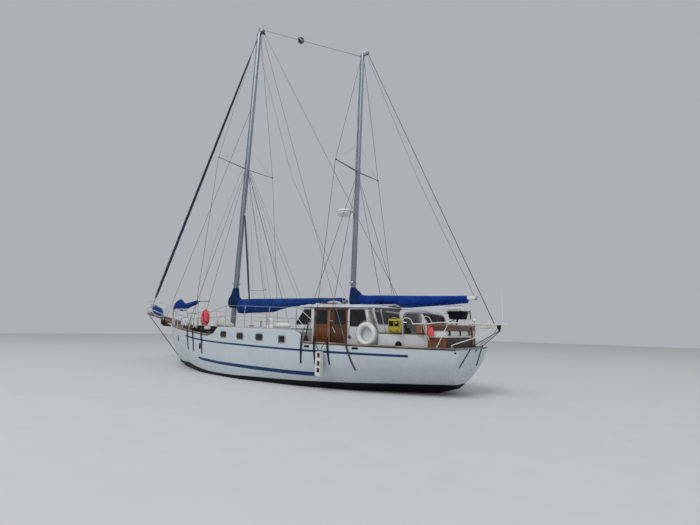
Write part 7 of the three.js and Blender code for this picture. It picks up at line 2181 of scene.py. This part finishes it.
# lamps beside the grill
for k, x in enumerate((-6.66, -6.70)):
    p.add(lathe([(.011, 0), (.013, .012), (.008, .020)], (x, .46, 2.02), (-.3, 1, 0), 12), 7)
p.add(tube([(-6.68, .42, 2.02), (-6.80, .35, 2.04)], .010, 8), 1)
# satellite receiver on its post, tall whip aerial, stern light
p.add(tube([(-7.33, .06, 1.74), (-7.33, .06, 1.84)], .013, 12), 1)
p.add(lathe([(.02, 0), (.052, .008), (.058, .030), (.050, .060), (.022, .078), (.003, .080)], (-7.33, .06, 1.835), (0, 0, 1), 26), 0)
p.add(tube([(-8.0, -.04, 1.786), (-8.0, -.04, 1.86), (-8.005, -.04, 2.62)], [.014, .010, .004], 10), 0)
p.add(lathe([(.03, 0), (.032, .02), (.03, .06), (.01, .066)], (-7.62, -.16, 1.79), (0, 0, 1), 18), 7)
p.done(45)
# straps on the transom and the boomkin's stays
p = Piece("boomkin_stays", [CHAINP, STEEL], slot="wire")
for s in (1, -1):
    yt = .262 if s > 0 else .41
    a, b = Vector((-7.331, s * yt, 1.236)), Vector((-7.116, s * .535, .735))
    nrm = Vector((-1, 0, -.43)).normalized()
    d = (b - a).normalized()
    w = d.cross(nrm).normalized() * .019
    rings = [[c - w - nrm * .003, c + w - nrm * .003, c + w + nrm * h, c + w * .5 + nrm * (h + .003), c - w * .5 + nrm * (h + .003), c - w + nrm * h] for c, h in ((a - d * .02, .010), (a, .012), (b, .012), (b + d * .02, .006))]
    p.add(loft(rings), 0)
    p.add(tube([a + nrm * .012, Vector((-7.92, s * .035, 1.612))], .0085, 8), 0)
    for u in (.12, .38, .64, .9):
        p.add(lathe([(.011, 0), (.011, .004), (.005, .007)], a + (b - a) * u + nrm * .014, nrm, 8), 1)
p.done()
p = Piece("transom_fittings", [STEEL, BLACKP], slot="stainless")
for (y, z, r) in ((-.108, 1.122, .034), (-.30, .62, .026)):
    p.add(lathe([(r, 0), (r, .008), (r * .8, .012), (r * .7, .004), (.002, .004)], (TRANSOM(z) - .001, y, z), (-1, 0, -.43), 20), 1 if z > 1 else 0)
for s in (1, -1):
    p.add(lathe([(.024, -.006), (.024, .006), (.016, .010), (.014, .003), (.002, .003)], (-7.19, s * hullY(-7.19, 1.084), 1.084), (-.35, s, -.2), 18), 1)
p.done()

# ------------------------------------------------------------ stage and light
floor = bpy.data.meshes.new("floor")
ext = 60.0
G = np.linspace(-ext, ext, 41)
V_, F_ = [(x, y, 0.0) for x in G for y in G], []
for i in range(40):
    for j in range(40):
        a = i * 41 + j
        F_.append((a, a + 41, a + 42, a + 1))
floor.from_pydata(V_, [], F_)
floor.materials.append(FLOORM)
floor_o = bpy.data.objects.new("floor", floor)
bpy.context.scene.collection.objects.link(floor_o)


def area(name, loc, target, size, power, color):
    d = bpy.data.lights.new(name, "AREA")
    d.shape, d.size, d.size_y, d.energy, d.color = "RECTANGLE", size[0], size[1], power, color
    o = bpy.data.objects.new(name, d)
    bpy.context.scene.collection.objects.link(o)
    o.location = loc
    o.rotation_euler = (Vector(target) - Vector(loc)).to_track_quat("-Z", "Y").to_euler()
    return o


area("key", (-6, 34, 44), (0, 0, 3), (26, 26), 12000, (1.0, 0.99, 0.97))
area("fill", (-40, -10, 26), (-2, 0, 2), (26, 26), 1700, (0.93, 0.96, 1.0))
w = bpy.data.worlds.new("sky")
bpy.context.scene.world = w
w.use_nodes = True
w.node_tree.nodes["Background"].inputs["Color"].default_value = (0.80, 0.845, 0.89, 1)
w.node_tree.nodes["Background"].inputs["Strength"].default_value = 0.52
bpy.context.scene.view_settings.view_transform = "Standard"
bpy.context.scene.view_settings.look = "None"
bpy.context.scene.view_settings.exposure = 0.0
